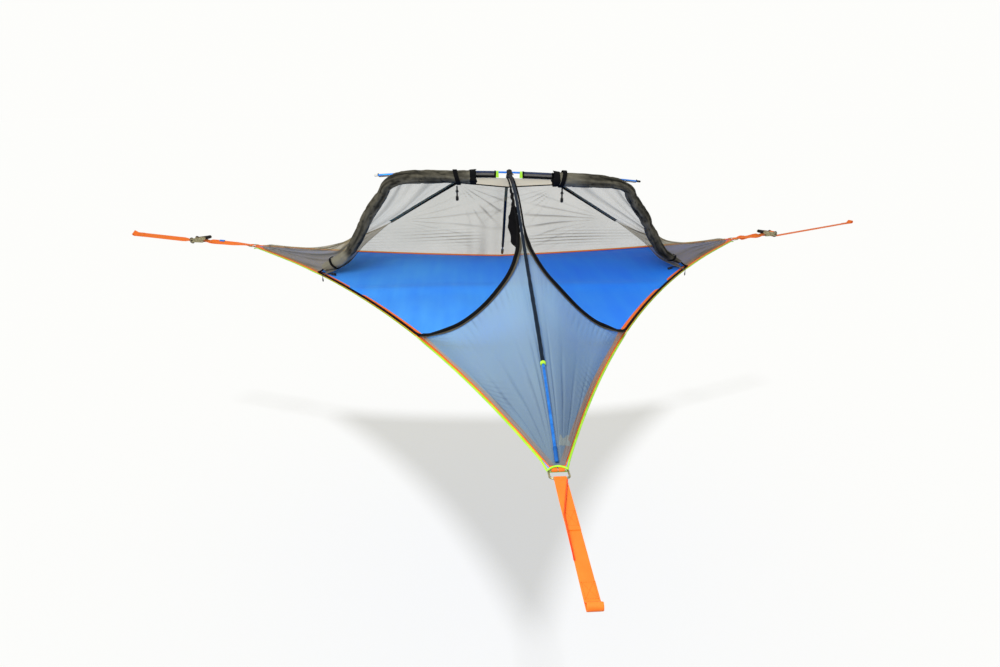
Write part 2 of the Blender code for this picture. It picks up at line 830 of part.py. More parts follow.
def front_border(side):
    """The front mesh's upper border, just outside the zip, from the floor edge up to the sleeve."""
    stations = zip_frames(side)
    reach = ZIP_WIDTH / 2 + MESH_CLEARANCE
    first = ZIP_FLOOR_STEPS + 1
    last = min(range(first, len(stations)),
               key=lambda i: abs(stations[i][0].y - ZIP_TOP_SHARES[0] * ANCHOR_RADIUS))
    border = [point + away * reach for point, away, _ in stations[first : last + 1]]
    for point in border:
        point.z = min(point.z, below_ridge(point.y, HEM_DROP + SEAM_GAP).z)
    return border


def build_front_mesh(material):
    """One panel from the left floor edge over the ridge to the right floor edge."""
    steps_u = 8
    steps_v = 20
    halves = []
    for side in (-1, 1):
        edge = EDGES["right" if side > 0 else "left"]
        border = resample(front_border(side), steps_v)
        low_share = FRONT_START_SHARE
        high_share = (edge.angle_of(border[0]) - edge.start_angle) / edge.sweep
        rail = [edge.point(low_share + (high_share - low_share) * i / steps_u, HEM_INSET, HEM_HEIGHT)
                for i in range(steps_u + 1)]
        drift = border[0] - rail[-1]
        rail = [point + drift * (i / steps_u) ** 3 for i, point in enumerate(rail)]
        last = border[-1]
        start_y = rail[0].y
        spine = []
        for i in range(steps_u + 1):
            y = start_y + (last.y - start_y) * i / steps_u
            place = below_ridge(y, HEM_DROP + SEAM_GAP)
            place.x = last.x * i / steps_u
            place.z = max(place.z, HEM_HEIGHT)
            spine.append(place)
        spine[-1] = last
        spine[0] = Vector((0, start_y, HEM_HEIGHT))
        start = resample([rail[0], spine[0]], steps_v)
        halves.append(coons(rail, spine, start, border, steps_u, steps_v))
    left, right = halves
    grid = []
    for i in range(steps_u + 1):
        middle = (left[i][-1] + right[i][-1]) / 2
        grid.append([*left[i][:-1], middle, *reversed(right[i][:-1])])
    return sheet("front_mesh", grid, MESH_THICKNESS, material, leaning=True)


def ridge_line(side, steps):
    """The fold between the wing and the back wall, from the back corner up to the peak's side."""
    corner = CORNERS["right" if side > 0 else "left"]
    low = corner.out * (RIDGE_LOW_RADIUS_SHARE * ANCHOR_RADIUS) + UP * RIDGE_LOW_HEIGHT
    points = [low, *(shares_to_point(s, side) for s in RIDGE_LINE_SHARES)]
    points.append(shares_to_point(PEAK_SIDE_SHARES, side))
    return smooth_path(points, steps)


def roll_path(side):
    return smooth_path([shares_to_point(s, side) for s in ROLL_SHARES], ROLL_STEPS)


def roll_radius(share):
    """The rolled door flares at its inner end, and is drawn in by its two ties."""
    flare = ROLL_FLARE * max(0.0, 1 - share / TIE_TOP_SHARE)
    swell = ROLL_SWELL * math.sin(math.pi * share) * math.cos(5 * math.pi * share) ** 2
    return ROLL_RADIUS + flare + swell


def build_wing(name, side, material):
    steps_u = 9
    corner = round(ROLL_CORNER_SHARE * ROLL_STEPS)
    steps_v = ROLL_STEPS - corner
    edge = EDGES["right" if side > 0 else "left"]
    span = WING_END_SHARE - HINGE_SHARE
    bottom = [edge.point(HINGE_SHARE + span * i / steps_u, HEM_INSET, HEM_HEIGHT)
              for i in range(steps_u + 1)]
    fold = ridge_line(side, steps_v)
    lateral = edge.second.across * (-edge.turn)
    fold = [point + lateral * (RIDGE_LOW_SPREAD if i == 0 else SEAM_INSET)
            - UP * SEAM_INSET / 2 for i, point in enumerate(fold)]
    fold[0].z = HEM_HEIGHT
    bottom[-1] = fold[0]
    roll = roll_path(side)
    hinge = [bottom[0]]
    for i in range(ROLL_STEPS - 1, corner - 1, -1):
        share = 1 - (i - corner) / (ROLL_STEPS - corner)
        along = (roll[i + 1] - roll[i - 1]).normalized()
        way = at_share(fold, share) - roll[i]
        way = (way - along * way.dot(along)).normalized()
        clear = ROLL_CLEARANCE + ROLL_END_CLEARANCE * (i / ROLL_STEPS) ** 6
        hinge.append(roll[i] + way * (roll_radius(i / ROLL_STEPS) + clear))
    under = POLE_DIAMETER / 2 + MESH_CLEARANCE
    start = abs(hinge[-1].x)
    inner = abs(fold[-1].x)
    top = [hinge[-1]]
    for share in (0.3, 0.55, 0.8):
        x = side * (start + (inner - start) * share)
        top.append(Vector((x, POLE_DIAMETER, spreader_height(x) - under)))
    top.append(fold[-1])
    top = smooth_path(top, steps_u)
    grid = coons(bottom, top, hinge, fold, steps_u, steps_v)
    return sheet(name, grid, MESH_THICKNESS, material, leaning=True)


def seam_point(share):
    """The back wall's top seam between the peak's two sides; share runs from the right to the left."""
    x, y, z = PEAK_SIDE_SHARES
    mid_y, mid_z = SEAM_MIDDLE_SHARES
    off = abs(2 * share - 1)
    return Vector(((1 - 2 * share) * x * ANCHOR_RADIUS,
                   (mid_y + (y - mid_y) * off) * ANCHOR_RADIUS,
                   (mid_z + (z - mid_z) * off) * CANOPY_HEIGHT))


def build_back_wall(material):
    side_steps = 12
    seam_steps = 6
    rows = 9
    right = ridge_line(1, side_steps)
    left = ridge_line(-1, side_steps)
    for fold, corner, turn in ((right, CORNERS["right"], 1), (left, CORNERS["left"], -1)):
        for i, point in enumerate(fold):
            spread = RIDGE_LOW_SPREAD if i == 0 else SEAM_INSET
            point += corner.across * turn * spread - UP * SEAM_INSET / 2
        fold[0].z = HEM_HEIGHT + RIDGE_LOW_HEIGHT
    seam = [seam_point(i / seam_steps) - UP * SEAM_INSET for i in range(1, seam_steps)]
    top = [*right, *seam, *reversed(left)]
    edge = EDGES["back"]
    span = 1 - 2 * WALL_END_SHARE
    total = lengths_along([Vector((p.x, 0, 0)) for p in top])
    bottom = [edge.point(WALL_END_SHARE + span * t / total[-1], HEM_INSET, HEM_HEIGHT) for t in total]
    middle = len(top) // 2
    bottom[middle] = edge.point(0.5, HEM_INSET, HEM_HEIGHT)
    spine = [top[middle]]
    for y, z in SPINE_SHARES:
        spine.append(Vector((0, y * ANCHOR_RADIUS, z * CANOPY_HEIGHT)))
    spine.append(bottom[middle])
    spine = list(reversed(smooth_path(spine, rows)))
    foot_y = RIDGE[-1].y
    grid = []
    for low, high in zip(bottom, top):
        column = []
        weight = max(0.0, 1 - abs(high.x) / SPINE_REACH) ** 2
        for j in range(rows + 1):
            v = j / rows
            bulge = spine[j] - bottom[middle].lerp(top[middle], v)
            place = low.lerp(high, v) + bulge * weight
            place.x += FOOT_SHIFT * weight * max(0.0, place.y) / foot_y * (1 - v) * 4 * v
            column.append(place)
        grid.append(column)
    return sheet("back_wall_mesh", grid, MESH_THICKNESS, material, leaning=True)


def build_gusset(material):
    columns = 12
    rows = 3
    x_peak = PEAK_SIDE_SHARES[0] * ANCHOR_RADIUS
    under = SPREADER_SLEEVE_DROP + SEAM_GAP + MESH_THICKNESS / 2
    grid = []
    for i in range(columns + 1):
        x = GUSSET_HALF * (1 - 2 * i / columns)
        low = seam_point((1 - x / x_peak) / 2) + UP * SEAM_INSET
        high = Vector((x, 0, spreader_height(x) - under))
        grid.append([low.lerp(high, j / rows) for j in range(rows + 1)])
    return sheet("roof_gusset", grid, MESH_THICKNESS, material, leaning=True)


def build_ridge_band(name, side, material):
    """The wide black band that takes the pull from the peak's side down the fold."""
    steps = 14
    fold = ridge_line(side, 2 * steps)
    first = round(BAND_START_SHARE * 2 * steps)
    path = fold[first:]
    lift = MESH_THICKNESS + SEAM_INSET + WEBBING_THICKNESS
    stations = []
    for point, along in zip(path, tangents(path)):
        flat = along.cross(UP).normalized()
        face = flat.cross(along).normalized()
        face = face if face.z > 0 else -face
        face = (face + Vector((0, 0.25, 0))).normalized()
        across = along.cross(face).normalized()
        half = across * BAND_WIDTH / 2
        middle = point + face * lift
        stations.append((middle - half, middle + half, face))
    return ribbon(name, stations, WEBBING_THICKNESS, material, leaning=True)


# Rolled doors and what holds them

def roll_rings(side, extra=0.0, path=None):
    path = path or roll_path(side)
    radii = [roll_radius(i / (len(path) - 1)) + extra for i in range(len(path))]
    return round_rings(path, radii, ROLL_SIDES)


def girdle(name, side, share, material):
    """A band round the rolled door, a hair clear of it."""
    path = roll_path(side)
    half = TIE_WIDTH / 2 / lengths_along(path)[-1]
    rings = []
    spans = ((SEAM_GAP + TIE_WALL, (share - half, share + half)),
             (SEAM_GAP, (share + half, share - half)))
    for extra, ends in spans:
        wide = roll_rings(side, extra, path)
        for end in ends:
            place = end * (len(path) - 1)
            index = min(int(place), len(path) - 2)
            blend = place - index
            rings.append([a.lerp(b, blend) for a, b in zip(wide[index], wide[index + 1])])
    return loft(name, rings, material, closed=True, leaning=True)


def build_door_tape(material):
    """The door's own zip tape, hanging in a loose bight beside the ridge pole."""
    points = []
    for x, y, drop in TAPE_SHARES:
        place = ridge_point(y * ANCHOR_RADIUS)
        points.append(Vector((x * ANCHOR_RADIUS, place.y, place.z - drop * CANOPY_HEIGHT)))
    path = smooth_path(points, 14)
    stations = []
    for i, (point, along) in enumerate(zip(path, tangents(path))):
        fold = 0.35 * math.sin(2 * math.pi * i / 7)
        face = (Vector((1, 0, 0)) + along.cross(Vector((1, 0, 0))) * fold).normalized()
        half = along.cross(face).normalized() * TAPE_WIDTH / 2
        stations.append((point - half, point + half, face))
    return ribbon("door_zip_tape", stations, TAPE_THICKNESS, material, leaning=True)


def build_toggle(name, side, material):
    """A cord with a bead and a barrel, hung from the tie round the roll's inner end."""
    path = roll_path(side)
    place = at_share(path, TIE_TOP_SHARE)
    radius = roll_radius(TIE_TOP_SHARE) + SEAM_GAP + TIE_WALL
    pivot = leant(place - UP * (radius + TOGGLE_GAP)) - UP * TOGGLE_BALL_RADIUS
    sizes = {"cord": TOGGLE_CORD_RADIUS, "bead": TOGGLE_BEAD_RADIUS, "barrel": TOGGLE_BARREL_RADIUS}
    depths = [-TOGGLE_BALL_RADIUS, -TOGGLE_BALL_RADIUS / 2, 0.0, TOGGLE_BALL_RADIUS]
    radii = [TOGGLE_BALL_RADIUS / 3, 0.85 * TOGGLE_BALL_RADIUS, TOGGLE_BALL_RADIUS, TOGGLE_CORD_RADIUS]
    for share, kind in TOGGLE_PROFILE_SHARES:
        depths.append(share * TOGGLE_LENGTH)
        radii.append(sizes[kind])
    points = [pivot - UP * depth for depth in depths]
    rings = []
    for point, radius in zip(points, radii):
        ring = []
        for k in range(POLE_SIDES):
            turn = 2 * math.pi * k / POLE_SIDES
            ring.append(point + radius * Vector((math.cos(turn), math.sin(turn), 0)))
        rings.append(ring)
    return loft(name, rings, material, origin=pivot)


def slider_frame(side):
    """Place, way along the edge and way outwards at the slider's parking spot."""
    edge = EDGES["right" if side > 0 else "left"]
    point = edge.point(SLIDER_SHARE)
    outward = (edge.centre - point)
    outward.z = 0
    outward.normalize()
    return point, UP.cross(outward), outward


def block_into(bm, centre, axes, sizes):
    corners = []
    for i in (-0.5, 0.5):
        for j in (-0.5, 0.5):
            for k in (-0.5, 0.5):
                offset = sum((a * s * n for a, s, n in zip(axes, sizes, (i, j, k))), Vector())
                corners.append(bm.verts.new(centre + offset))
    for face in ((0, 1, 3, 2), (4, 6, 7, 5), (0, 4, 5, 1), (2, 3, 7, 6), (0, 2, 6, 4), (1, 5, 7, 3)):
        bm.faces.new([corners[i] for i in face])


def pull_pivot(side):
    """The zip pull hangs just outside the piping, under the slider's arm."""
    point, _, outward = slider_frame(side)
    reach = EDGE_CORD_DIAMETER + 2 * SEAM_GAP + PULL_THICKNESS / 2 + SEAM_INSET
    slider_low = ZIP_RISE + ZIP_THICKNESS / 2 + ZIP_COIL + SEAM_GAP
    height = slider_low + SLIDER_HEIGHT - ARM_HEIGHT - SEAM_GAP - PULL_TOP_RADIUS
    return point + outward * reach + UP * height


def build_slider(side_name, side, metal, cord):
    point, along, outward = slider_frame(side)
    low = ZIP_RISE + ZIP_THICKNESS / 2 + ZIP_COIL + SEAM_GAP
    pivot = pull_pivot(side)
    tip = (pivot - point).dot(outward)
    top = low + SLIDER_HEIGHT
    bm = bmesh.new()
    centre = point + outward * (-ZIP_INSET) + UP * (low + SLIDER_HEIGHT / 2)
    block_into(bm, centre, (along, outward, UP), (SLIDER_LENGTH, SLIDER_WIDTH, SLIDER_HEIGHT))
    slider = add("zip_slider_" + side_name, bm, metal, smooth=False)
    arm_start = -ZIP_INSET
    bm = bmesh.new()
    centre = point + outward * (arm_start + tip) / 2 + UP * (top - ARM_HEIGHT / 2)
    block_into(bm, centre, (along, outward, UP), (ARM_WIDTH, tip - arm_start, ARM_HEIGHT))
    arm = add("slider_arm_" + side_name, bm, metal, smooth=False)
    join(slider, arm)
    rings = []
    for turn_end in (-0.5, 0.5):
        ring = []
        for k in range(9):
            turn = math.pi * k / 8
            ring.append(pivot + along * PULL_WIDTH * turn_end
                        + PULL_TOP_RADIUS * (outward * math.cos(turn) + UP * math.sin(turn)))
        for reach in (-1, 1):
            ring.append(pivot + along * PULL_WIDTH * turn_end - UP * PULL_LENGTH
                        + outward * reach * PULL_THICKNESS / 2)
        rings.append(ring)
    loft("zip_pull_" + side_name, rings, cord, origin=pivot, smooth=False)


def join(target, other):
    """Makes two overlapping solids one, and keeps the second as a hidden guide."""
    union = target.modifiers.new("join", "BOOLEAN")
    union.operation = "UNION"
    union.object = other
    other.hide_render = True
    other.display_type = "WIRE"


def cut(target, other):
    """Cuts one solid out of another, and keeps the cutter as a hidden guide."""
    difference = target.modifiers.new("cut", "BOOLEAN")
    difference.operation = "DIFFERENCE"
    difference.object = other
    other.hide_render = True
    other.display_type = "WIRE"


# Top of the canopy

def build_spreader_fittings(name, side, black, lime, elastic):
    count = 16
    bore = POLE_DIAMETER / 2 + POLE_BORE_GAP
    outside = bore + SPREADER_SLEEVE_WALL
    sleeve_span = SPREADER_SLEEVE_END - SPREADER_SLEEVE_START
    places = [SPREADER_SLEEVE_START + sleeve_span * i / 3 for i in range(4)]
    outer = []
    inner = []
    for x in places:
        centre = spreader_point(side * x)
        big = []
        small = []
        for k in range(count):
            turn = 2 * math.pi * (k + 0.5) / count
            y = math.cos(turn)
            z = math.sin(turn)
            small.append(centre + Vector((0, bore * y, bore * z)))
            drop = -SPREADER_SLEEVE_DROP if z < 0 else outside * z
            if z < 0 and abs(y) > 0.9:
                drop = outside * z
            big.append(centre + Vector((0, outside * (y if z > 0 or abs(y) > 0.9 else y), drop)))
        outer.append(big)
        inner.append(small)
    loft("spreader_sleeve_" + name, pipe_rings(outer, inner), black, closed=True, leaning=True)

    gap = SEAM_GAP + WEBBING_THICKNESS / 2
    reach = POLE_DIAMETER / 2 + gap
    centre = spreader_point(side * TAB_PLACE)
    half = Vector((TAB_WIDTH / 2, 0, 0))
    stations = []
    for way in (-1, 1):
        low = centre + Vector((0, way * reach, -TAB_DROP))
        stations.append((low - half, low + half, Vector((0, way, 0))))
    arc = []
    for i in range(LOOP_STEPS + 1):
        turn = math.pi - math.pi * i / LOOP_STEPS
        way = Vector((0, math.cos(turn), math.sin(turn)))
        arc.append((centre + way * reach - half, centre + way * reach + half, way))
    ribbon("lime_tab_" + name, [stations[0], *arc, stations[1]], WEBBING_THICKNESS, lime, leaning=True)

    radius = ELASTIC_DIAMETER / 2
    hold = POLE_DIAMETER / 2 + SEAM_GAP + radius
    x_tip = SPREADER_LENGTH / 2 - ELASTIC_TIP_INSET
    under = UP * (hold + SEAM_GAP)
    path = [spreader_point(side * x) - under for x in
            (ELASTIC_START, (ELASTIC_START + x_tip) / 2, x_tip - 2 * ELASTIC_DIAMETER)]
    tip = spreader_point(side * x_tip)
    for i in range(2, 11):
        turn = -math.pi / 2 + 2 * math.pi * i / 14
        drift = Vector((side * ELASTIC_DIAMETER * (i - 10) / 14, 0, 0))
        path.append(tip + drift + hold * Vector((0, math.cos(turn), math.sin(turn))))
    tube("tip_elastic_" + name, path, radius, CORD_SIDES, elastic, leaning=True)


def build_peak_cap(material):
    """The black cover over the place where the poles cross."""
    lift = CAP_LIFT + CAP_THICKNESS / 2
    crossing = SPREADER_RISE + POLE_DIAMETER / 2 + lift
    front = ridge_point(-CAP_HALF_LENGTH).z + SLEEVE_HEIGHT / 2 + lift
    shoulder = ridge_point(-CAP_SHOULDER).z + SLEEVE_HEIGHT / 2 + lift + SEAM_GAP
    back_shoulder = (crossing + ridge_point(CAP_SHOULDER).z + SLEEVE_HEIGHT / 2 + lift) / 2
    back = ridge_point(CAP_HALF_LENGTH).z + POLE_DIAMETER / 2 + 2 * lift
    points = [Vector((0, -CAP_HALF_LENGTH, front)), Vector((0, -CAP_SHOULDER, (shoulder + crossing) / 2)),
              Vector((0, 0, crossing)), Vector((0, CAP_SHOULDER, back_shoulder)),
              Vector((0, CAP_HALF_LENGTH, back))]
    path = smooth_path(points, 12)
    half = Vector((CAP_WIDTH / 2, 0, 0))
    stations = []
    for point, along in zip(path, tangents(path)):
        up = Vector((1, 0, 0)).cross(along)
        stations.append((point - half, point + half, up if up.z > 0 else -up))
    return ribbon("peak_cap", stations, CAP_THICKNESS, material)


# Corner rings and straps

def build_corner_ring(name, corner, material):
    bends = ((1, 1), (-1, 1), (-1, -1), (1, -1))
    path = []
    for k, (out, side) in enumerate(bends):
        for i in range(4):
            turn = math.pi / 2 * (k + i / 3)
            path.append(corner.place(
                out * (RING_HALF_LENGTH - RING_BEND) + RING_BEND * math.cos(turn),
                side * (RING_HALF_WIDTH - RING_BEND) + RING_BEND * math.sin(turn)))
    rings = []
    count = len(path)
    for i, point in enumerate(path):
        along = (path[(i + 1) % count] - path[i - 1]).normalized()
        side = along.cross(UP)
        ring = []
        for k in range(8):
            turn = 2 * math.pi * (k + 0.5) / 8
            ring.append(point + RING_WIRE / 2 * (side * math.cos(turn) + UP * math.sin(turn)))
        rings.append(ring)
    return loft(name, rings, material, closed=True)


class Strap:
    """A strap's course from a corner ring: straight out for a little, then turned towards its tree."""

    def __init__(self, corner, degrees):
        self.corner = corner
        turn = math.radians(degrees)
        self.out = Vector((math.cos(turn), math.sin(turn), 0))
        self.across = Vector((-math.sin(turn), math.cos(turn), 0))
        self.bend = corner.place(STRAP_STRAIGHT)

    def frame(self, reach):
        """Centre and across direction at a distance from the anchor."""
        if reach < STRAP_STRAIGHT:
            return self.corner.place(reach), self.corner.across
        middle = (self.across + self.corner.across).normalized()
        across = middle if reach == STRAP_STRAIGHT else self.across
        return self.bend + self.out * (reach - STRAP_STRAIGHT), across

    def station(self, reach, height, up=UP):
        centre, across = self.frame(reach)
        half = across * STRAP_WIDTH / 2
        return centre - half + UP * height, centre + half + UP * height, up

    def turn_station(self, reach, radius, turn, height=0.0):
        """A station on a bend about a bar that lies across the strap."""
        centre, across = self.frame(reach)
        out = across.cross(UP).normalized()
        way = out * math.cos(turn) + UP * math.sin(turn)
        half = across * STRAP_WIDTH / 2
        place = centre + way * radius + UP * height
        return place - half, place + half, way


def bar_bend(strap, reach, radius, start, sweep, steps=LOOP_STEPS, height=0.0):
    return [strap.turn_station(reach, radius, start + sweep * i / steps, height) for i in range(steps + 1)]


def tree_eye(strap, reach, layer):
    """The strap's far end, turned back on itself over a small eye and sewn down."""
    radius = EYE_RADIUS
    centre = reach - radius
    stations = [strap.station(reach - 2 * radius - EYE_SEWN, 0.0), strap.station(centre - 2 * radius, 0.0)]
    for i in range(LOOP_STEPS + 1):
        turn = -math.pi / 2 + math.pi * i / LOOP_STEPS
        first, second, way = strap.turn_station(centre, radius, turn, radius)
        stations.append((first, second, -way))
    stations.append(strap.station(centre - 2 * radius, layer, -UP))
    stations.append(strap.station(reach - 2 * radius - EYE_SEWN, layer, -UP))
    return stations


STRAP_LAYER = WEBBING_THICKNESS + SEAM_GAP
RING_HOLD = RING_WIRE / 2 + SEAM_GAP + WEBBING_THICKNESS / 2


def build_front_strap(strap, material):
    """Through the ring and back on itself, then out to the tree."""
    stations = [strap.station(FRONT_RETURN, RING_HOLD / 2 + STRAP_LAYER / 2),
                strap.station(RING_HALF_LENGTH + 3 * RING_WIRE, RING_HOLD / 2 + STRAP_LAYER / 2),
                strap.station(RING_HALF_LENGTH, RING_HOLD)]
    stations += bar_bend(strap, RING_HALF_LENGTH, RING_HOLD, math.pi / 2, math.pi)[1:]
    low = RING_HOLD / 2 - STRAP_LAYER / 2
    stations += [strap.station(RING_HALF_LENGTH + 3 * RING_WIRE, low, -UP)]
    stations += [strap.station(FRONT_RETURN, low, -UP)]
    eye = tree_eye(strap, FRONT_STRAP_LENGTH, STRAP_LAYER)
    stations += [(first, second, -up) for first, second, up in eye]
    return ribbon("tree_strap_front", stations, WEBBING_THICKNESS, material)


def build_short_strap(name, strap, place, material):
    """From the ring to the ratchet's bolt, turned back on itself at both ends."""
    bolt_reach = place - FRAME_BACK + BOLT_INSET
    bolt_hold = BOLT_DIAMETER / 2 + SEAM_GAP + WEBBING_THICKNESS / 2
    span = bolt_reach - RING_HALF_LENGTH
    high = STRAP_LAYER / 2
    stations = [strap.station(RING_HALF_LENGTH + span * STRAP_RETURN_SHARE, high),
                strap.station(STRAP_STRAIGHT, high),
                strap.station(RING_HALF_LENGTH, RING_HOLD)]
    stations += bar_bend(strap, RING_HALF_LENGTH, RING_HOLD, math.pi / 2, math.pi)[1:]
    stations += [strap.station(STRAP_STRAIGHT, -high, -UP)]
    stations += [strap.station(bolt_reach - 4 * BOLT_DIAMETER, -high, -UP)]
    stations += bar_bend(strap, bolt_reach, bolt_hold, -math.pi / 2, math.pi)
    stations += [strap.station(bolt_reach - 4 * BOLT_DIAMETER, high, UP)]
    stations += [strap.station(bolt_reach - span * STRAP_RETURN_SHARE, high, UP)]
    return ribbon(name, stations, WEBBING_THICKNESS, material)


def winding_radius(turns):
    return SPOOL_DIAMETER / 2 + SEAM_GAP + WEBBING_THICKNESS / 2 + WINDING_PITCH * turns


def build_tree_strap(name, strap, place, length, wound, material):
    """From the ratchet's spool out to the tree's eye."""
    eye = tree_eye(strap, length, STRAP_LAYER)
    if wound:
        low = -winding_radius(WINDING_TURNS) - WINDING_PITCH
        stations = [strap.station(place, low, -UP), strap.station(place + 2 * FRAME_FRONT, low, -UP)]
    else:
        hold = winding_radius(0)
        sweep = math.radians(LEFT_WRAP_DEGREES)
        stations = bar_bend(strap, place, hold, -math.pi / 2 - sweep, sweep, 2 * LOOP_STEPS)
        stations += [strap.station(place + 2 * FRAME_FRONT, -hold, -UP)]
    stations += [(first, second, -up) for first, second, up in eye]
    return ribbon(name, stations, WEBBING_THICKNESS, material)


def build_tag(strap, place, material):
    """A plain tag folded over the short strap's edge."""
    centre = RING_HALF_LENGTH + (place - FRAME_BACK - RING_HALF_LENGTH) * TAG_PLACE_SHARE
    gap = SEAM_GAP + WEBBING_THICKNESS / 2
    over = STRAP_WIDTH / 2
    stations = []
    middle, across = strap.frame(centre)
    along = strap.out * TAG_LENGTH / 2
    low = -STRAP_LAYER / 2 - WEBBING_THICKNESS / 2 - gap
    high = -low
    hung = low - TAG_DROP / 6
    for lateral, height, up in ((-over / 3, high, UP), (-over - gap, high, (UP - across).normalized()),
                                (-over - gap, low, (-UP - across).normalized()),
                                (-over + gap, hung, -UP), (over / 3, hung, -UP)):
        point = middle + across * lateral + UP * height
        stations.append((point - along, point + along, up))
    return ribbon("strap_tag", stations, WEBBING_THICKNESS, material)


# Ratchets

def box(name, low, high, place, material):
    bm = bmesh.new()
    centre = (Vector(low) + Vector(high)) / 2
    sizes = Vector(high) - Vector(low)
    block_into(bm, centre, (Vector((1, 0, 0)), Vector((0, 1, 0)), Vector((0, 0, 1))), sizes)
    bm.transform(place)
    return add(name, bm, material, smooth=False)


def bar(name, x, z, radius, half_width, place, material, sides=SHAFT_SIDES, centre=0.0):
    """A round bar across the ratchet."""
    rings = []
    for y in (centre - half_width, centre + half_width):
        rings.append([place @ Vector((x + radius * math.cos(2 * math.pi * k / sides), y,
                                      z + radius * math.sin(2 * math.pi * k / sides)))
                      for k in range(sides)])
    return loft(name, rings, material)


def plate(name, outline, near, far, place, material):
    """A flat plate with an outline in X and Z, between two places across the ratchet."""
    rings = [[place @ Vector((x, y, z)) for x, z in outline] for y in (near, far)]
    return loft(name, rings, material, smooth=False)


def frame_outline():
    """The side plate: round about the spool, low behind it for the pawl's swing, round at the bolt."""
    half = FRAME_HEIGHT / 2
    tail = BOLT_INSET
    front = [(FRAME_FRONT - half + half * math.cos(t), half * math.sin(t))
             for t in (math.radians(d) for d in range(-90, 91, 30))]
    dip = [(-half / 2, 0.85 * half), (-half, FRAME_LOW), (-3 * half, FRAME_LOW)]
    back = [(-FRAME_BACK + tail + tail * math.cos(t), tail * math.sin(t))
            for t in (math.radians(d) for d in range(90, 271, 45))]
    return front + dip + back


def handle_outline():
    """The lever's side plate: rounded about the spool and at the grip."""
    half = HANDLE_HEIGHT / 2
    nose = [(HANDLE_NOSE * math.cos(t), HANDLE_NOSE * math.sin(t))
            for t in (math.radians(d) for d in range(-90, 91, 30))]
    grip = [(-HANDLE_LENGTH + half * math.cos(t), half * math.sin(t))
            for t in (math.radians(d) for d in range(90, 271, 30))]
    return nose + grip


def gear_outline():
    points = []
    for k in range(GEAR_TEETH):
        for share, radius in ((0.0, GEAR_RADIUS - GEAR_TOOTH), (0.75, GEAR_RADIUS)):
            turn = 2 * math.pi * (k + share) / GEAR_TEETH
            points.append((radius * math.cos(turn), radius * math.sin(turn)))
    return points


def build_winding(name, place, material):
    """The webbing wound on the spool, one unbroken strip that ends under the strap from the tree."""
    half = STRAP_WIDTH / 2
    total = WINDING_TURNS * WINDING_STEPS
    rings = []
    for i in range(total + 1):
        turns = i / WINDING_STEPS
        turn = math.pi / 2 + 2 * math.pi * (WINDING_TURNS - turns)
        way = Vector((math.cos(turn), 0, -math.sin(turn)))
        centre = way * winding_radius(turns)
        lift = way * WEBBING_THICKNESS / 2
        side = Vector((0, half, 0))
        rings.append([place @ p for p in (centre - side - lift, centre + side - lift,
                                          centre + side + lift, centre - side + lift)])
    least = min((after[0] - before[3]).length for before, after in zip(rings, rings[WINDING_STEPS:]))
    print(f"{name}: least gap between its turns {least * 1000:.2f} mm")
    return loft(name, rings, material, smooth=False, origin=place.translation)


def build_ratchet(side_name, strap, reach, metal, dark, grip_finish):
    centre, across = strap.frame(reach)
    out = strap.out
    place = Matrix((
        (out.x, across.x, 0, centre.x),
        (out.y, across.y, 0, centre.y),
        (0, 0, 1, 0),
        (0, 0, 0, 1),
    ))
    inner = FRAME_INNER_WIDTH / 2
    outer = inner + FRAME_PLATE
    frame = plate("ratchet_frame_" + side_name, frame_outline(), inner, outer, place, metal)
    other = plate("frame_plate_" + side_name, frame_outline(), -outer, -inner, place, metal)
    bolt = bar("frame_bolt_" + side_name, -FRAME_BACK + BOLT_INSET, 0, BOLT_DIAMETER / 2,
               outer - FRAME_PLATE / 4, place, metal, sides=12)
    join(frame, bolt)
    join(frame, other)
    hole = bar("frame_hole_" + side_name, 0, 0, SPOOL_DIAMETER / 2 + BORE_CLEARANCE,
               2 * outer, place, metal)
    cut(frame, hole)

    gear_near = outer + SPOOL_CLEARANCE
    gear_far = gear_near + GEAR_THICKNESS
    handle_near = gear_far + SPOOL_CLEARANCE
    handle_far = handle_near + HANDLE_PLATE
    spool = bar("ratchet_spool_" + side_name, 0, 0, SPOOL_DIAMETER / 2,
                handle_far + HANDLE_PLATE, place, dark)
    gears = []
    for sign in (-1, 1):
        ends = sorted((sign * gear_near, sign * gear_far))
        gear = plate(f"gear_{side_name}_{sign}", gear_outline(), ends[0], ends[1], place, dark)
        join(spool, gear)
        gears.append(gear)

    raised = place @ Matrix.Rotation(math.radians(HANDLE_REST), 4, "Y")
    handle = plate("ratchet_handle_" + side_name, handle_outline(), handle_near, handle_far, raised, metal)
    second = plate("handle_plate_" + side_name, handle_outline(), -handle_far, -handle_near, raised, metal)
    grip = bar("grip_" + side_name, -HANDLE_LENGTH, 0, GRIP_DIAMETER / 2,
               handle_far + GRIP_OVERHANG, raised, grip_finish, sides=16)
    join(handle, grip)
    join(handle, second)
    bore = bar("handle_hole_" + side_name, 0, 0, SPOOL_DIAMETER / 2 + BORE_CLEARANCE,
               2 * handle_far, place, metal)
    cut(handle, bore)
    pawl_far = -GEAR_RADIUS - PAWL_CLEARANCE
    box("ratchet_pawl_" + side_name,
        (pawl_far - PAWL_LENGTH, SPOOL_CLEARANCE - handle_near, -PAWL_THICKNESS / 2),
        (pawl_far, handle_near - SPOOL_CLEARANCE, PAWL_THICKNESS / 2), raised, dark)
    return place


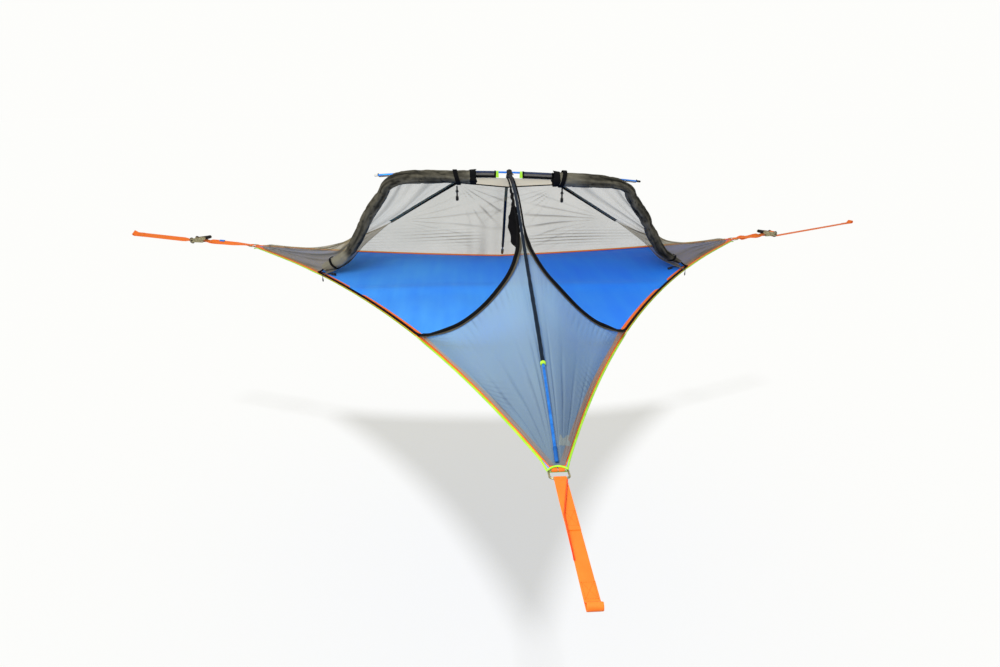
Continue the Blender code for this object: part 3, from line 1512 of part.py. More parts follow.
def main():
    clear_scene()
    blue_fabric = finish("floor_fabric", "2F78DF", 0.75)
    mesh_fabric = finish("insect_mesh", "8F8A82", 0.9)
    roll_fabric = finish("door_fabric", "55534A", 0.9)
    gusset_fabric = finish("gusset_fabric", "B9B3A8", 0.85)
    orange = finish("orange_webbing", "FF6A14", 0.7)
    lime = finish("lime_piping", "A8E832", 0.6)
    black = finish("black_webbing", "17171A", 0.8)
    blue_pole = finish("blue_anodised_pole", "1E6FC8", 0.35, 0.8)
    alloy = finish("plain_aluminium", "B8BBC0", 0.35, 0.9)
    steel = finish("zinc_plated_steel", "A9A79E", 0.35, 1.0)
    dark_steel = finish("dark_steel", "5A5650", 0.45, 1.0)
    tag_blue = finish("tag_blue", "2E7FE0", 0.7)

    build_floor(blue_fabric)
    for name, edge in EDGES.items():
        build_edge_webbing("edge_webbing_" + name, edge, orange)
    build_edge_cord(lime)

    build_poles(blue_pole, alloy)
    build_pocket("pole_pocket_front", RIDGE[0], (RIDGE[1] - RIDGE[0]).normalized(), black)
    build_pocket("pole_pocket_back", RIDGE[-1], (RIDGE[-2] - RIDGE[-1]).normalized(), black)
    build_sleeve(black, lime)
    build_peak_cap(black)

    build_front_mesh(mesh_fabric)
    build_back_wall(mesh_fabric)
    build_gusset(gusset_fabric)
    build_door_tape(black)

    for name, side in SIDES.items():
        build_wing("wing_mesh_" + name, side, mesh_fabric)
        build_zip("zip_track_" + name, side, black)
        build_ridge_band("ridge_band_" + name, side, black)
        loft("rolled_door_" + name, roll_rings(side), roll_fabric, leaning=True)
        girdle("roll_tie_top_" + name, side, TIE_TOP_SHARE, black)
        girdle("roll_tie_low_" + name, side, TIE_LOW_SHARE, black)
        build_spreader_fittings(name, side, black, lime, black)
        build_toggle("door_toggle_" + name, side, black)
        build_slider(name, side, dark_steel, black)

    for name, corner in CORNERS.items():
        build_corner_ring("corner_ring_" + name, corner, steel)
    front = Strap(CORNERS["front"], -90)
    left = Strap(CORNERS["left"], 180 - STRAP_TURN)
    right = Strap(CORNERS["right"], STRAP_TURN)
    build_front_strap(front, orange)
    build_short_strap("short_strap_left", left, LEFT_RATCHET_PLACE, orange)
    build_short_strap("short_strap_right", right, RIGHT_RATCHET_PLACE, orange)
    build_tree_strap("tree_strap_left", left, LEFT_RATCHET_PLACE, LEFT_STRAP_LENGTH, False, orange)
    build_tree_strap("tree_strap_right", right, RIGHT_RATCHET_PLACE, RIGHT_STRAP_LENGTH, True, orange)
    build_tag(left, LEFT_RATCHET_PLACE, tag_blue)
    build_ratchet("left", left, LEFT_RATCHET_PLACE, steel, dark_steel, black)
    place = build_ratchet("right", right, RIGHT_RATCHET_PLACE, steel, dark_steel, black)
    build_winding("strap_winding_right", place, orange)


main()
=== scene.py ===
"""Looks of the tree tent: cloth, webbing, zips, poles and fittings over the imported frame.

Metres, +Z up, in the frame's own axes. Each side of the tent is made once and mirrored in X.
"""

from math import atan2, ceil, cos, exp, pi, radians, sin, sqrt

import bmesh
import bpy
import numpy as np
from mathutils import Matrix, Vector, noise


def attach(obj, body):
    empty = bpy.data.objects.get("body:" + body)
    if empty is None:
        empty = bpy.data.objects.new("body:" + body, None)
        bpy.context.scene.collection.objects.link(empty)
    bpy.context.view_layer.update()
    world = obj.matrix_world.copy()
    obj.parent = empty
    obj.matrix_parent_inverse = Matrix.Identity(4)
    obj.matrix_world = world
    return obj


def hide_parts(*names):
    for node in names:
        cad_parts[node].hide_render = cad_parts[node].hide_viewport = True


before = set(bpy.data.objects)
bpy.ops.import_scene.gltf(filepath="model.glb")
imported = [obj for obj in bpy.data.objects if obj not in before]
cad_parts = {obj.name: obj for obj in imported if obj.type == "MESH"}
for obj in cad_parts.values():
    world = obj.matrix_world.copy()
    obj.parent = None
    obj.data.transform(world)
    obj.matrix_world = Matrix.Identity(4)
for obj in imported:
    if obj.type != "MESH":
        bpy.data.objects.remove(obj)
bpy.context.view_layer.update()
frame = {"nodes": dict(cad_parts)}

# Camera and stage
CAMERA_PLACE = (-0.2550, -3.3919, 0.9975)
CAMERA_YAW = 0.0612
CAMERA_PITCH = 0.3655
CAMERA_LENS = 23.417
CAMERA_NEAR = 0.05
STAGE_HEIGHT = -1.92
STAGE_REACH = 60.0
SHOWN = (0.985, 0.985, 0.965)
STAGE_PAINT = (0.395, 0.40, 0.425)
WORLD_LIGHT = 0.54
SHADE_LIGHT = 2.7
SHADE_SPREAD = 7
LAMP_LEAN = 33.7
SHADE_SIDE = 3.0
LAMP_LIGHT = 135.0
LAMP_SIZE = 2.4
LAMP_PLACE = (-1.25, -3.3, 2.5)
LAMP_TARGET = (0.0, -0.2, 0.1)

# Overall sizes, as the frame has them
ANCHOR_SIDE = 3.25
CANOPY_HEIGHT = 0.568
CANOPY_LEAN = 0.033
SEAM_GAP = 0.0004
SEAM_INSET = 0.0015

# Floor and its edges
FLOOR_THICKNESS = 0.0016
EDGE_DIP = 0.166
BACK_DROP = 0.05
DROP_SHELF = 0.045
DROP_REACH = 0.55
CORNER_SETBACK = 0.030
CORNER_HALF = 0.024
EDGE_STEPS = 96
EDGE_WEBBING_WIDTH = 0.025
EDGE_WEBBING_INSET = 0.0045
FRONT_WEBBING_NARROW = 0.009
WEBBING_THICKNESS = 0.0016
WEBBING_SPACING = 0.0015
LOOP_TAIL = 0.060
LOOP_HALF = 0.0182
LOOP_DROP = 0.0008
LOOP_STEPS = 12
EDGE_CORD_DIAMETER = 0.006
CORD_TUCK = 0.010
PIPING_RADIUS = 0.0030
PIPING_HIDDEN = 0.0009
CORD_TUCK_LENGTH = 0.045
PATCH_PLACE = (0.044, -1.702, 0)
PATCH_WIDTH = 0.036
PATCH_LENGTH = 0.064
PATCH_TURN = -12
FLOOR_RINGS = 44
RIM_SHARE = 0.06
CORNER_FAN_HEIGHT = 0.0016
FLOOR_WAVE_HEIGHT = 0.0030
CREASE_PLACE = -0.13
CREASE_WIDTH = 0.075
CREASE_HEIGHT = 0.011
SLACK_HEIGHT = 0.009
CREASE_SWAY = 0.03
PATCH_LIFT = 0.0026
PATCH_WAVE = 0.0009
FLANGE_THICKNESS = 0.0006
CORNER_END_INSET = 0.002
CORNER_END_BOW = 0.012
CORNER_END_RISE = 0.0045

# Poles
POLE_DIAMETER = 0.0095
POLE_BORE_GAP = 0.0006
POLE_JOINT_GAP = 0.0015
FERRULE_WALL = 0.0012
TUBE_SIDES = 20
TIP_PLACES = (-0.010, -0.002, 0.004)
TIP_WALL = 0.0008
TIP_ROUND = 0.005
SPREADER_LENGTH = 1.354
SPREADER_BOW = 0.030
RIDGE_STEPS = 33
RIDGE_FERRULE_STEP = 25
FOOT_SHIFT = 0.016
POCKET_RADIUS = 0.009
POCKET_LENGTH = 0.050
POCKET_LIFT = 0.010
POCKET_FLOOR = 0.003
POCKET_SHARES = (
    (0.0, 0.55), (0.02, 0.82), (0.10, 0.97), (0.5, 0.93),
    (0.82, 0.98), (0.86, 1.08), (0.97, 1.08), (1.0, 1.0),
)
RIDGE_SHARES = (
    (-0.853, 0.2025),
    (-0.713, 0.387),
    (-0.503, 0.609),
    (-0.2515, 0.893),
    (-0.097, 0.989),
    (0.0, 1.0),
    (0.064, 0.972),
    (0.1386, 0.8415),
    (0.224, 0.581),
    (0.32, 0.2465),
    (0.3837, 0.051),
)

# Canopy
MESH_THICKNESS = 0.0012
MESH_HOLE = 0.0026
MESH_CLEARANCE = 0.0035
HEM_INSET = 0.010
HINGE_SHARE = 0.728
FOOT_SHARE = 0.343
SLIDER_SHARE = 0.700
FRONT_START_SHARE = 0.002
FRONT_RAIL_INSET = 0.0035
WING_END_SHARE = 0.968
WALL_END_SHARE = 0.035
PEAK_SIDE_SHARES = (0.1439, 0.048, 0.898)
RIDGE_LINE_SHARES = (
    (0.65, 0.3517, 0.074),
    (0.533, 0.2878, 0.169),
    (0.4423, 0.2398, 0.296),
    (0.3629, 0.1972, 0.4225),
    (0.2531, 0.1226, 0.660),
)
BAND_START_SHARE = 0.68
BAND_WIDTH = 0.030
INNER_BAND_WIDTH = 0.017
INNER_BAND_DEPTH = 0.006
INNER_BAND_THICKNESS = 0.0012
BAND_WANDER = 0.0006
BAND_SEAM_LIFT = 0.0009
TAPE_THICKNESS = 0.0014
GUSSET_TAPE_SHIFT = (0, -0.002, 0)
GUSSET_TAPE_EDGES = ((0, -0.003, -0.003), (0, 0.003, 0.004))
FINE_ROUND = 0.001
RIDGE_LOW_RADIUS_SHARE = 0.958
RIDGE_LOW_HEIGHT = 0.009
RIDGE_LOW_SPREAD = 0.004
FOLD_RAISE = 0.012
MARGIN_POINTS = ((0.794, 0.25, 0.153), (0.877, 0.20, 0.069), (0.955, 0.175, 0.030), (1.018, 0.168, 0.008))
SEAM_MIDDLE_SHARES = (0.0533, 0.8627)
SPINE_REACH = 0.55
SPINE_SHARES = ((0.115, 0.775), (0.170, 0.700), (0.235, 0.520), (0.32, 0.225))
GUSSET_HALF = 0.250

# Zips and doors
ZIP_WIDTH = 0.014
ZIP_THICKNESS = 0.0014
ZIP_COIL = 0.0014
ZIP_INSET = 0.006
ZIP_START_SHARE = 0.724
ZIP_SHARES = (
    (0.1823, -0.5116, 0.132),
    (0.1466, -0.5383, 0.2077),
    (0.1146, -0.5553, 0.2975),
    (0.0863, -0.5628, 0.3908),
    (0.0608, -0.5537, 0.4789),
    (0.0373, -0.5223, 0.5528),
    (0.0210, -0.4796, 0.6197),
)
ZIP_TOP_SHARES = (-0.4157, -0.3198, -0.2132, -0.1066, -0.036)
ZIP_FLOOR_STEPS = 12
ZIP_CURVE_STEPS = 26
ZIP_TOP_STEPS = 10
ZIP_FINE_STEPS = 200
ZIP_TAPE_INNER = 0.0135
ZIP_FOOT_ROUND = 0.045
ZIP_TAPE_OUTER = 0.0035
ZIP_BINDING_WIDTH = 0.012
ZIP_BINDING_THICKNESS = 0.0014
ZIP_BINDING_LIFT = 0.0012
ZIP_BINDING_RISE = 0.0085
ZIP_BINDING_SWELL = 0.0003
ZIP_SEAM_LIFT = 0.0008
ZIP_EDGE_INNER = 0.0060
ZIP_EDGE_OUTER = 0.0065
ZIP_PEAK_SHIFT = 0.0045
FRONT_BORDER_TUCK = 0.004
ZIP_ROLL = 0.75
ZIP_TURN = (0, -0.75, 0.15)
SLEEVE_WIDTH = 0.018
SLEEVE_HEIGHT = 0.015
SLEEVE_START_STEP = 4
SLEEVE_START_SHARE = 0.25
SLEEVE_END_STEP = 21
SLEEVE_RING_LENGTH = 0.012
SLEEVE_RING_WALLS = ((0.0, 0.0012), (0.15, 0.0034), (0.5, 0.0040), (0.85, 0.0034), (1.0, 0.0012))
SLEEVE_PUCKER = 0.0012
SLEEVE_WRINKLE = 0.0011
SLEEVE_SEAM_RISE = 0.0022
SLEEVE_SIDES = 22
REAR_SLEEVE_RADIUS = 0.0082
REAR_SLEEVE_WRINKLE = 0.0006
REAR_SEAM_DEPTH = 0.018
REAR_SEAM_WIDTH = 0.018
REAR_SEAM_THICKNESS = 0.0010
ROLL_RADIUS = 0.031
ROLL_FLARE = 0.008
ROLL_CLEARANCE = 0.0008
ROLL_END_CLEARANCE = 0.017
ROLL_SWELL = 0.0025
ROLL_STEPS = 26
ROLL_SHARES = (
    (0.100, -0.0262, 0.968),
    (0.213, -0.0255, 0.961),
    (0.288, -0.0245, 0.948),
    (0.330, -0.0145, 0.890),
    (0.3455, 0.0, 0.806),
    (0.390, 0.0266, 0.612),
    (0.4305, 0.0533, 0.385),
    (0.474, 0.0853, 0.195),
    (0.521, 0.107, 0.088),
)
ROLL_CORNER_SHARE = 0.345
ROLL_FINE = 200
ROLL_TURNS = 4
ROLL_CORE = 0.007
ROLL_TURN_STEPS = 26
ROLL_RADII = {
    "left": ((0.0, 0.037), (0.05, 0.035), (0.10, 0.0335), (0.22, 0.0350), (0.33, 0.0350), (0.40, 0.0325),
             (0.48, 0.0320), (0.60, 0.0350), (0.74, 0.0345), (0.82, 0.0310), (0.855, 0.0260), (0.90, 0.0340),
             (0.95, 0.0350), (1.0, 0.0230)),
    "right": ((0.0, 0.042), (0.06, 0.0420), (0.14, 0.0425), (0.24, 0.0400), (0.33, 0.0340), (0.385, 0.0270),
              (0.46, 0.0320), (0.58, 0.0345), (0.645, 0.0330), (0.68, 0.0275), (0.73, 0.0345), (0.85, 0.0320),
              (0.93, 0.0255), (1.0, 0.0110)),
}
ROLL_INNER = {"left": 0.0, "right": 0.045}
ROLL_REACHES = {"left": 0.55, "right": 0.45}
ROLL_FOOT_HEIGHT = 0.022
ROLL_LIFTS = {"left": 0.006, "right": 0.010}
ROLL_SLACK = {"left": ((0.0, 0.35), (0.06, 0.0), (0.84, 0.0), (0.89, 0.9), (1.0, 0.9)),
              "right": ((0.0, 0.55), (0.13, 0.45), (0.2, 0.0), (0.93, 0.0), (1.0, 0.3))}
TIE_WIDTH = 0.022
TIE_WALL = 0.002
TIE_LIFT = 0.0022
ROLL_FOOT_INSET = 0.012
TIE_THICKNESS = 0.0018
TIE_SKEW = 0.009
TIE_STEPS = 44
ROLL_HEM_LIFT = 0.0015
ROLL_HEM_RISE = 0.005
ROLL_HEM_HALF = 0.012
ROLL_HEM_RAGGED_IN = 0.010
ROLL_HEM_RAGGED_OUT = 0.006
ROLL_HEM_THICKNESS = 0.0020
FOOT_CORD_RADIUS = 0.0042
FOOT_CORD_ROUND = 0.003
FOOT_TOGGLE_BOW = 0.003
FOOT_CORD_INSET = 0.004
FOOT_CORD_SAG = (0, -0.006, -0.004)
FOOT_CORD_INSIDE = 0.03
FOOT_TOGGLE_CORD = 0.0022
FOOT_TOGGLE_HEIGHT = 0.012
FOOT_TOGGLE_LENGTH = 0.032
FOOT_TOGGLE_PROFILE = (
    (0.0, 0.002), (0.002, 0.0062), (0.010, 0.0068), (0.012, 0.0046),
    (0.020, 0.0046), (0.022, 0.0068), (0.030, 0.0062), (FOOT_TOGGLE_LENGTH, 0.002),
)
DOOR_TAPE_THICKNESS = 0.0012
DOOR_TAPE_RUFFLE = 0.0055
TIE_TOP_SHARE = 0.075
TIE_LOW_SHARE = 0.955
FOOT_TOGGLES = {"left": ((1.0, 0.180), (0.9515, 0.1505)), "right": ((0.982, 0.200), (0.929, 0.1611))}
TAPE_WIDTHS = ((0.0, 0.014), (0.36, 0.016), (0.46, 0.034), (0.60, 0.054), (0.85, 0.050), (1.0, 0.012))
TAPE_PLACES = (
    (-0.010, -0.250, 0.528),
    (-0.008, -0.340, 0.492),
    (-0.007, -0.410, 0.448),
    (-0.009, -0.445, 0.395),
    (-0.008, -0.470, 0.345),
    (0.008, -0.490, 0.292),
)

# Top of the canopy
SPREADER_SLEEVE_START = 0.072
SPREADER_SLEEVE_END = 0.258
SPREADER_SLEEVE_DROP = 0.028
TAB_STEP = 0.004
ELASTIC_ROUND = 0.0015
SLEEVE_TOP_SHARE = 0.4
SLEEVE_TOP_LOOSE = 1.12
SLEEVE_SIDE_WAVE = 0.0012
SLEEVE_HEM_TUCK = 0.0005
SLEEVE_HEM_RISE = 0.006
SLEEVE_HEM_THICKNESS = 0.0075
CUFF_LIFT = 0.0012
CUFF_HALF = 0.004
TAB_PLACE = 0.061
TAB_WIDTH = 0.012
TAB_DROP = 0.026
CAP_WIDTH = 0.036
CAP_THICKNESS = 0.002
CAP_LIFT = 0.0015
CAP_HUMP = 0.008
CAP_ROUND = 0.007
CAP_HALF_LENGTH = 0.065
CAP_SHOULDER = 0.022
ELASTIC_DIAMETER = 0.004
ELASTIC_TIP_INSET = 0.012
ELASTIC_START = 0.600

# Toggles and zip pulls
TOGGLE_BALL_RADIUS = 0.0028
TOGGLE_LENGTH = 0.074
TOGGLE_CORD_SHOWN = 0.0042
TOGGLE_GAP = 0.0009
TOGGLE_NECK = 0.0004
TOGGLE_BEAD = (0.0020, 0.0062)
TOGGLE_RIBS = (0.0060, 0.0080)
TOGGLE_END = ((0.96, 0.0068), (0.985, 0.0045), (1.0, 0.0028))
PULL_TOP_RADIUS = 0.002
PULL_LENGTH = 0.032
PULL_WIDTH = 0.007
PULL_THICKNESS = 0.0024
PULL_SWELL = 2.3
SLIDER_HEIGHT = 0.005
ARM_HEIGHT = 0.0025

# Corner rings and straps
RING_WIRE = 0.006
RING_HALF_WIDTH = 0.028
RING_HALF_LENGTH = 0.020
RING_BEND = 0.009
STRAP_WIDTH = 0.035
STRAP_PROFILE = ((0.0, 0.45), (0.03, 0.85), (0.09, 1.0), (0.5, 1.06), (0.91, 1.0), (0.97, 0.85), (1.0, 0.45))
STRAP_TURN = 23.4
STRAP_STRAIGHT = 0.050
FRONT_STRAP_LENGTH = 0.505
FRONT_RETURN = 0.245
LAYER_START = 0.034
LAYER_END = 0.352
LEFT_STRAP_LENGTH = 1.045
RIGHT_STRAP_LENGTH = 1.235
LEFT_RATCHET_PLACE = 0.500
RIGHT_RATCHET_PLACE = 0.385
EYE_RADIUS = 0.010
EYE_SEWN = 0.070
STRAP_RETURN_SHARE = 0.36
TAG_PLACE_SHARE = 0.66
TAG_LENGTH = 0.030
TAG_DROP = 0.030
FRAME_INNER_WIDTH = 0.042
FRAME_PLATE = 0.0025
FRAME_FRONT = 0.020
FRAME_BACK = 0.095
BOLT_DIAMETER = 0.008
BOLT_INSET = 0.009
SPOOL_DIAMETER = 0.0124
GEAR_THICKNESS = 0.003
SPOOL_CLEARANCE = 0.0004
HANDLE_PLATE = 0.002
HANDLE_LENGTH = 0.115
HANDLE_REST = 12
GRIP_DIAMETER = 0.018
GRIP_RUBBER = 0.0004
GRIP_GROOVE = 0.0006
GRIP_RIB = 0.0018
BOLT_HEAD_GAP = 0.0001
BOLT_HEAD = ((0.0, 0.0068), (0.0008, 0.0068), (0.0010, 0.0055), (0.0024, 0.0052), (0.0030, 0.0040))
TAG_THICKNESS = 0.0010
TAG_STEP = 0.003
WINDING_ROUGH = 0.00015
WINDING_DRIFT = 0.0006
LAYER_PUFF = 0.0035
STRAP_STEP = 0.02
SEWN_STEP = 0.01
SEWN_END = 0.088
SEWN_INSET = 0.002
SEWN_LENGTH = (0.002, 0.05)
SHORT_SEWN_LENGTH = (0.0, 0.045)
TOP_SEWN_START = 0.05
TOP_SEWN_LENGTH = (0.12, 0.178)
# How far before a ratchet, and behind it or the straight part, the webbing has twisted
TWIST_BEFORE = 0.06
TWIST_OUT = 0.01
LEFT_TWIST_AFTER = 0.05
RIGHT_TWIST_AFTER = 0.03
STRAP_FAR = 10.0
WINDING_PITCH = 0.0022
WINDING_TURNS = 5
WINDING_STEPS = 40
LEFT_WRAP_DEGREES = 200

# How high the panels' folds stand
FRONT_SOFT_HEIGHT = 0.006
FRONT_PULL_HEIGHT = 0.0024
FRONT_PLEAT_HEIGHT = 0.0030
FRONT_RAY_HEIGHT = 0.0040
FRONT_SLANT_HEIGHT = 0.0015
WING_FOLD_HEIGHT = 0.0050
WING_TUCK = 0.003
MARGIN_FOLD_HEIGHT = 0.004
WALL_SOFT_HEIGHT = 0.006
WALL_FOLD_HEIGHT = 0.0045
WALL_BAND_HEIGHT = 0.003
WALL_BAND_SHIFT = 0.004
GATHER_HEIGHT = 0.0016
ROLL_FOLD_HEIGHT = 0.0056
ROLL_DENT_HEIGHT = 0.0030
ROLL_GROOVE_DEPTH = 0.0034
ROLL_LIP_HEIGHT = 0.0030
# How deep a hollow in the roll goes before it is painted in full shade
ROLL_SHADE_DEPTH = 0.0050
# Where the back wall's folds start: across from its middle, and up
WALL_PEAK_FAN = (0.27, 0.51)
WALL_BAND_FAN = (0.62, 0.27)
WALL_FLOOR_PITCH = 0.027
# From where the folds of each fan show and over what length they rise, and where they are strongest
PEAK_FAN_START = (0.02, 0.08)
PEAK_FAN_REACH = (0.14, 0.20)
BAND_FAN_START = (0.03, 0.08)
BAND_FAN_REACH = 0.52
# The flat folds along the floor: away from the middle, short of the corners, and over the floor
WALL_FLATS_INNER = (0.11, 0.12)
WALL_FLATS_OUTER = 1.05
WALL_FLATS_FADE = 0.3
WALL_FLATS_HEIGHT = (0.105, 0.070)
WALL_TALL_PLACE = (0.035, 0.03)
WALL_TALL_PITCH = 0.028
# Upright bands on the wall: place, width and strength
WALL_BANDS = ((-0.115, 0.030, 0.30), (-0.20, 0.02, 0.15))

# Stitches and teeth: pitch, length, width and height
USUAL_STITCH = (0.008, 0.005, 0.0012, 0.0008)
EDGE_STITCH = (0.0075, 0.0055, 0.0011, 0.0006)
SLEEVE_STITCH = (0.007, 0.005, 0.0010, 0.0008)
FINE_STITCH = (0.007, 0.005, 0.0010, 0.0006)
BOX_STITCH = (0.0048, 0.0036, 0.0011, 0.0007)
COIL_TOOTH = (0.0034, 0.0023, 0.0026, 0.0080)

ANCHOR_RADIUS = ANCHOR_SIDE / sqrt(3)
UP = Vector((0, 0, 1))
X_WAY = Vector((1, 0, 0))
SIDES = {"left": -1, "right": 1}
# The floor's edges in order, and whether each is followed backwards
ROUND_THE_FLOOR = (("right", False), ("back", False), ("left", True))
STRAP_LAYER = WEBBING_THICKNESS + SEAM_GAP
RING_HOLD = RING_WIRE / 2 + SEAM_GAP + WEBBING_THICKNESS / 2
POLE_BORE = POLE_DIAMETER / 2 + POLE_BORE_GAP
LAYER = FLOOR_THICKNESS / 2 + SEAM_GAP + WEBBING_THICKNESS / 2
WEBBING_TOP = LAYER + WEBBING_THICKNESS / 2
HEM_HEIGHT = WEBBING_TOP + SEAM_GAP + 0.7 * MESH_THICKNESS
ZIP_RISE = WEBBING_TOP + SEAM_GAP + ZIP_THICKNESS / 2
SPREADER_RISE = CANOPY_HEIGHT + POLE_DIAMETER + SEAM_GAP
HEM_DROP = SLEEVE_HEIGHT / 2 + SEAM_GAP + MESH_THICKNESS / 2


# Materials

def linear(colour):
    """An sRGB hex colour as linear light."""
    channels = [int(colour[i:i + 2], 16) / 255 for i in (1, 3, 5)]
    return [((c + 0.055) / 1.055) ** 2.4 if c > 0.04045 else c / 12.92 for c in channels] + [1.0]


def put(tree, kind, inputs=(), out=0, **settings):
    """Adds a node with its settings and links. An input is a value, a hex colour, or a socket to link."""
    node = tree.nodes.new(kind if "Node" in kind else "ShaderNode" + kind)
    for name, value in settings.items():
        setattr(node, name, value)
    for name, value in inputs.items() if isinstance(inputs, dict) else enumerate(inputs):
        if isinstance(value, bpy.types.NodeSocket):
            tree.links.new(value, node.inputs[name])
        elif isinstance(value, str) and value.startswith("#"):
            node.inputs[name].default_value = linear(value)
        else:
            node.inputs[name].default_value = value
    return node if out is None or not node.outputs else node.outputs[out]


def new_finish(name, colour):
    """A material with an empty tree, which `surface` ends."""
    material = bpy.data.materials.new(name)
    material.use_nodes = True
    material.node_tree.nodes.clear()
    material.diffuse_color = linear(colour)
    return material, material.node_tree


def surface(material, colour, roughness, metallic=0.0, gloss=0.5, alpha=1.0, relief=None):
    """Ends a material in its shader. Relief is a pattern, its depth in metres and its strength."""
    tree = material.node_tree
    inputs = {"Base Color": colour, "Metallic": metallic, "Roughness": roughness, "Alpha": alpha,
              "Specular IOR Level": gloss}
    if relief:
        height, distance, strength = relief
        inputs["Normal"] = put(tree, "Bump", {"Height": height, "Distance": distance, "Strength": strength})
    put(tree, "OutputMaterial", [put(tree, "BsdfPrincipled", inputs)])
    return material


def shaded(tree, pattern, start, stop, dark, pale):
    """A colour that goes from dark to pale as a pattern rises from start to stop."""
    share = put(tree, "MapRange", (pattern, start, stop, 0.0, 1.0))
    return put(tree, "Mix", {0: share, 6: dark, 7: pale}, out=2, data_type="RGBA")


def weighed(tree, first, share, second, rest):
    """Two patterns added, each by its own share."""
    parts = [put(tree, "Math", pair, operation="MULTIPLY") for pair in ((first, share), (second, rest))]
    return put(tree, "Math", parts, operation="ADD")


def threads(tree, vector, pitch, turn=0.0):
    """A plain weave, as the rise and fall of warp and weft at a thread pitch in metres."""
    mapped = put(tree, "Mapping", {"Vector": vector, "Rotation": (0, 0, turn)})
    split = put(tree, "SeparateXYZ", [mapped], out=None)
    waves = []
    for axis in (0, 1):
        phase = put(tree, "Math", (split.outputs[axis], pi / pitch), operation="MULTIPLY")
        wave = put(tree, "Math", (phase, 0.0), operation="SINE")
        waves.append(put(tree, "Math", (wave, 0.0), operation="ABSOLUTE"))
    return waves


def woven(tree, vector, pitch, turn=0.0):
    """Where warp and weft cross."""
    return put(tree, "Math", threads(tree, vector, pitch, turn), operation="MULTIPLY")


def cloth_map(tree, scale=None):
    """The piece's own map in metres, stretched where a scale is given."""
    uv = put(tree, "UVMap", uv_map="cloth")
    return put(tree, "Mapping", {"Vector": uv, "Scale": scale}) if scale else uv


def floor_polyester():
    """Coated polyester, plain woven: matt, with faint paler streaks where it is stretched, and painted light
    that makes it paler towards the front left.
    """
    material, tree = new_finish("floor_polyester", "#3690FF")
    place = put(tree, "TexCoord", out="Object")
    cloudy = put(tree, "TexNoise", {"Vector": place, "Scale": 1.7, "Detail": 3.0})
    # Faint streaks run from front to back, where the cloth is drawn towards the corners.
    drawn = put(tree, "Mapping", {"Vector": place, "Scale": (16.0, 1.6, 1.0)})
    streaks = put(tree, "TexNoise", {"Vector": drawn, "Scale": 1.0, "Detail": 3.0})
    shade = weighed(tree, cloudy, 0.6, streaks, 0.4)
    # Painted light: the cloth is drawn paler towards the front left, where the soft lamp's light falls.
    parts = put(tree, "SeparateXYZ", [place], out=None).outputs
    left = put(tree, "MapRange", (parts["X"], -0.5, 0.45, 1.0, 0.0))
    front = put(tree, "MapRange", (parts["Y"], -0.7, 0.5, 0.6, 0.0))
    painted_light_front_left = put(tree, "Math", (left, front), operation="ADD")
    # cloth is the blue itself; pale is the same blue with painted light on it, used towards the front left.
    cloth = shaded(tree, shade, 0.35, 0.65, "#1D78FF", "#2A8AFF")
    pale = shaded(tree, shade, 0.35, 0.65, "#3C93FF", "#50AAFF")
    colour = shaded(tree, painted_light_front_left, 0.2, 1.5, cloth, pale)
    # Real threads lie 0.3 mm apart. They are drawn at 1.6 mm, which is as fine as a render shows.
    weave = woven(tree, place, 0.0016)
    rough = put(tree, "MapRange", (cloudy, 0.0, 1.0, 0.56, 0.68))
    return surface(material, colour, rough, gloss=0.10, relief=(weave, 0.00012, 0.6))


def insect_mesh(name, thin, dense, cover, fold_cover):
    """Knitted polyester insect mesh: half see-through, denser where it folds, and painted darker there as
    shade.
    """
    material, tree = new_finish(name, thin)
    uv = cloth_map(tree)
    cloudy = put(tree, "TexNoise", {"Vector": uv, "Scale": 3.1, "Detail": 3.0})
    # The holes are 1 mm wide. They are drawn at 2.6 mm, so that they still show close by.
    holes = woven(tree, uv, MESH_HOLE)
    fold = put(tree, "Attribute", attribute_name="fold", out="Fac")
    # The fold attribute also darkens the mesh towards its dense colour: painted shade in the creases.
    colour = put(tree, "Mix", {0: fold, 6: thin, 7: dense}, out=2, data_type="RGBA")
    parts = [put(tree, "MapRange", (holes, 0.0, 1.0, cover + 0.12, cover - 0.12)),
             put(tree, "MapRange", (cloudy, 0.0, 1.0, -0.08, 0.08)),
             put(tree, "Math", (fold, fold_cover), operation="MULTIPLY")]
    alpha = parts[0]
    for part in parts[1:]:
        alpha = put(tree, "Math", (alpha, part), operation="ADD")
    alpha = put(tree, "Clamp", (alpha, 0.05, 1.0))
    return surface(material, colour, 0.85, gloss=0.1, alpha=alpha)


def rolled_mesh():
    """The same mesh in many layers: opaque, streaked along the roll, with painted shade in its hollows."""
    material, tree = new_finish("rolled_insect_mesh", "#55534A")
    uv = cloth_map(tree)
    along = cloth_map(tree, (7.0, 60.0, 1.0))
    streaks = put(tree, "TexNoise", {"Vector": along, "Scale": 1.0, "Detail": 4.0, "Roughness": 0.6})
    patches = put(tree, "TexNoise", {"Vector": uv, "Scale": 24.0, "Detail": 3.0, "Roughness": 0.6})
    shade = weighed(tree, streaks, 0.6, patches, 0.4)
    colour = shaded(tree, shade, 0.36, 0.64, "#37352E", "#736F60")
    # The fold tone is painted shade in the roll's hollows.
    for label, tone in (("fold", "#1D1D19"), ("slack", "#94907F")):
        share = put(tree, "Attribute", attribute_name=label, out="Fac")
        colour = put(tree, "Mix", {0: share, 6: colour, 7: tone}, out=2, data_type="RGBA")
    deep = put(tree, "Math", (shade, 5.0), operation="MULTIPLY")
    height = put(tree, "Math", (woven(tree, uv, MESH_HOLE), deep), operation="ADD")
    return surface(material, colour, 0.9, gloss=0.08, relief=(height, 0.0010, 1.0))


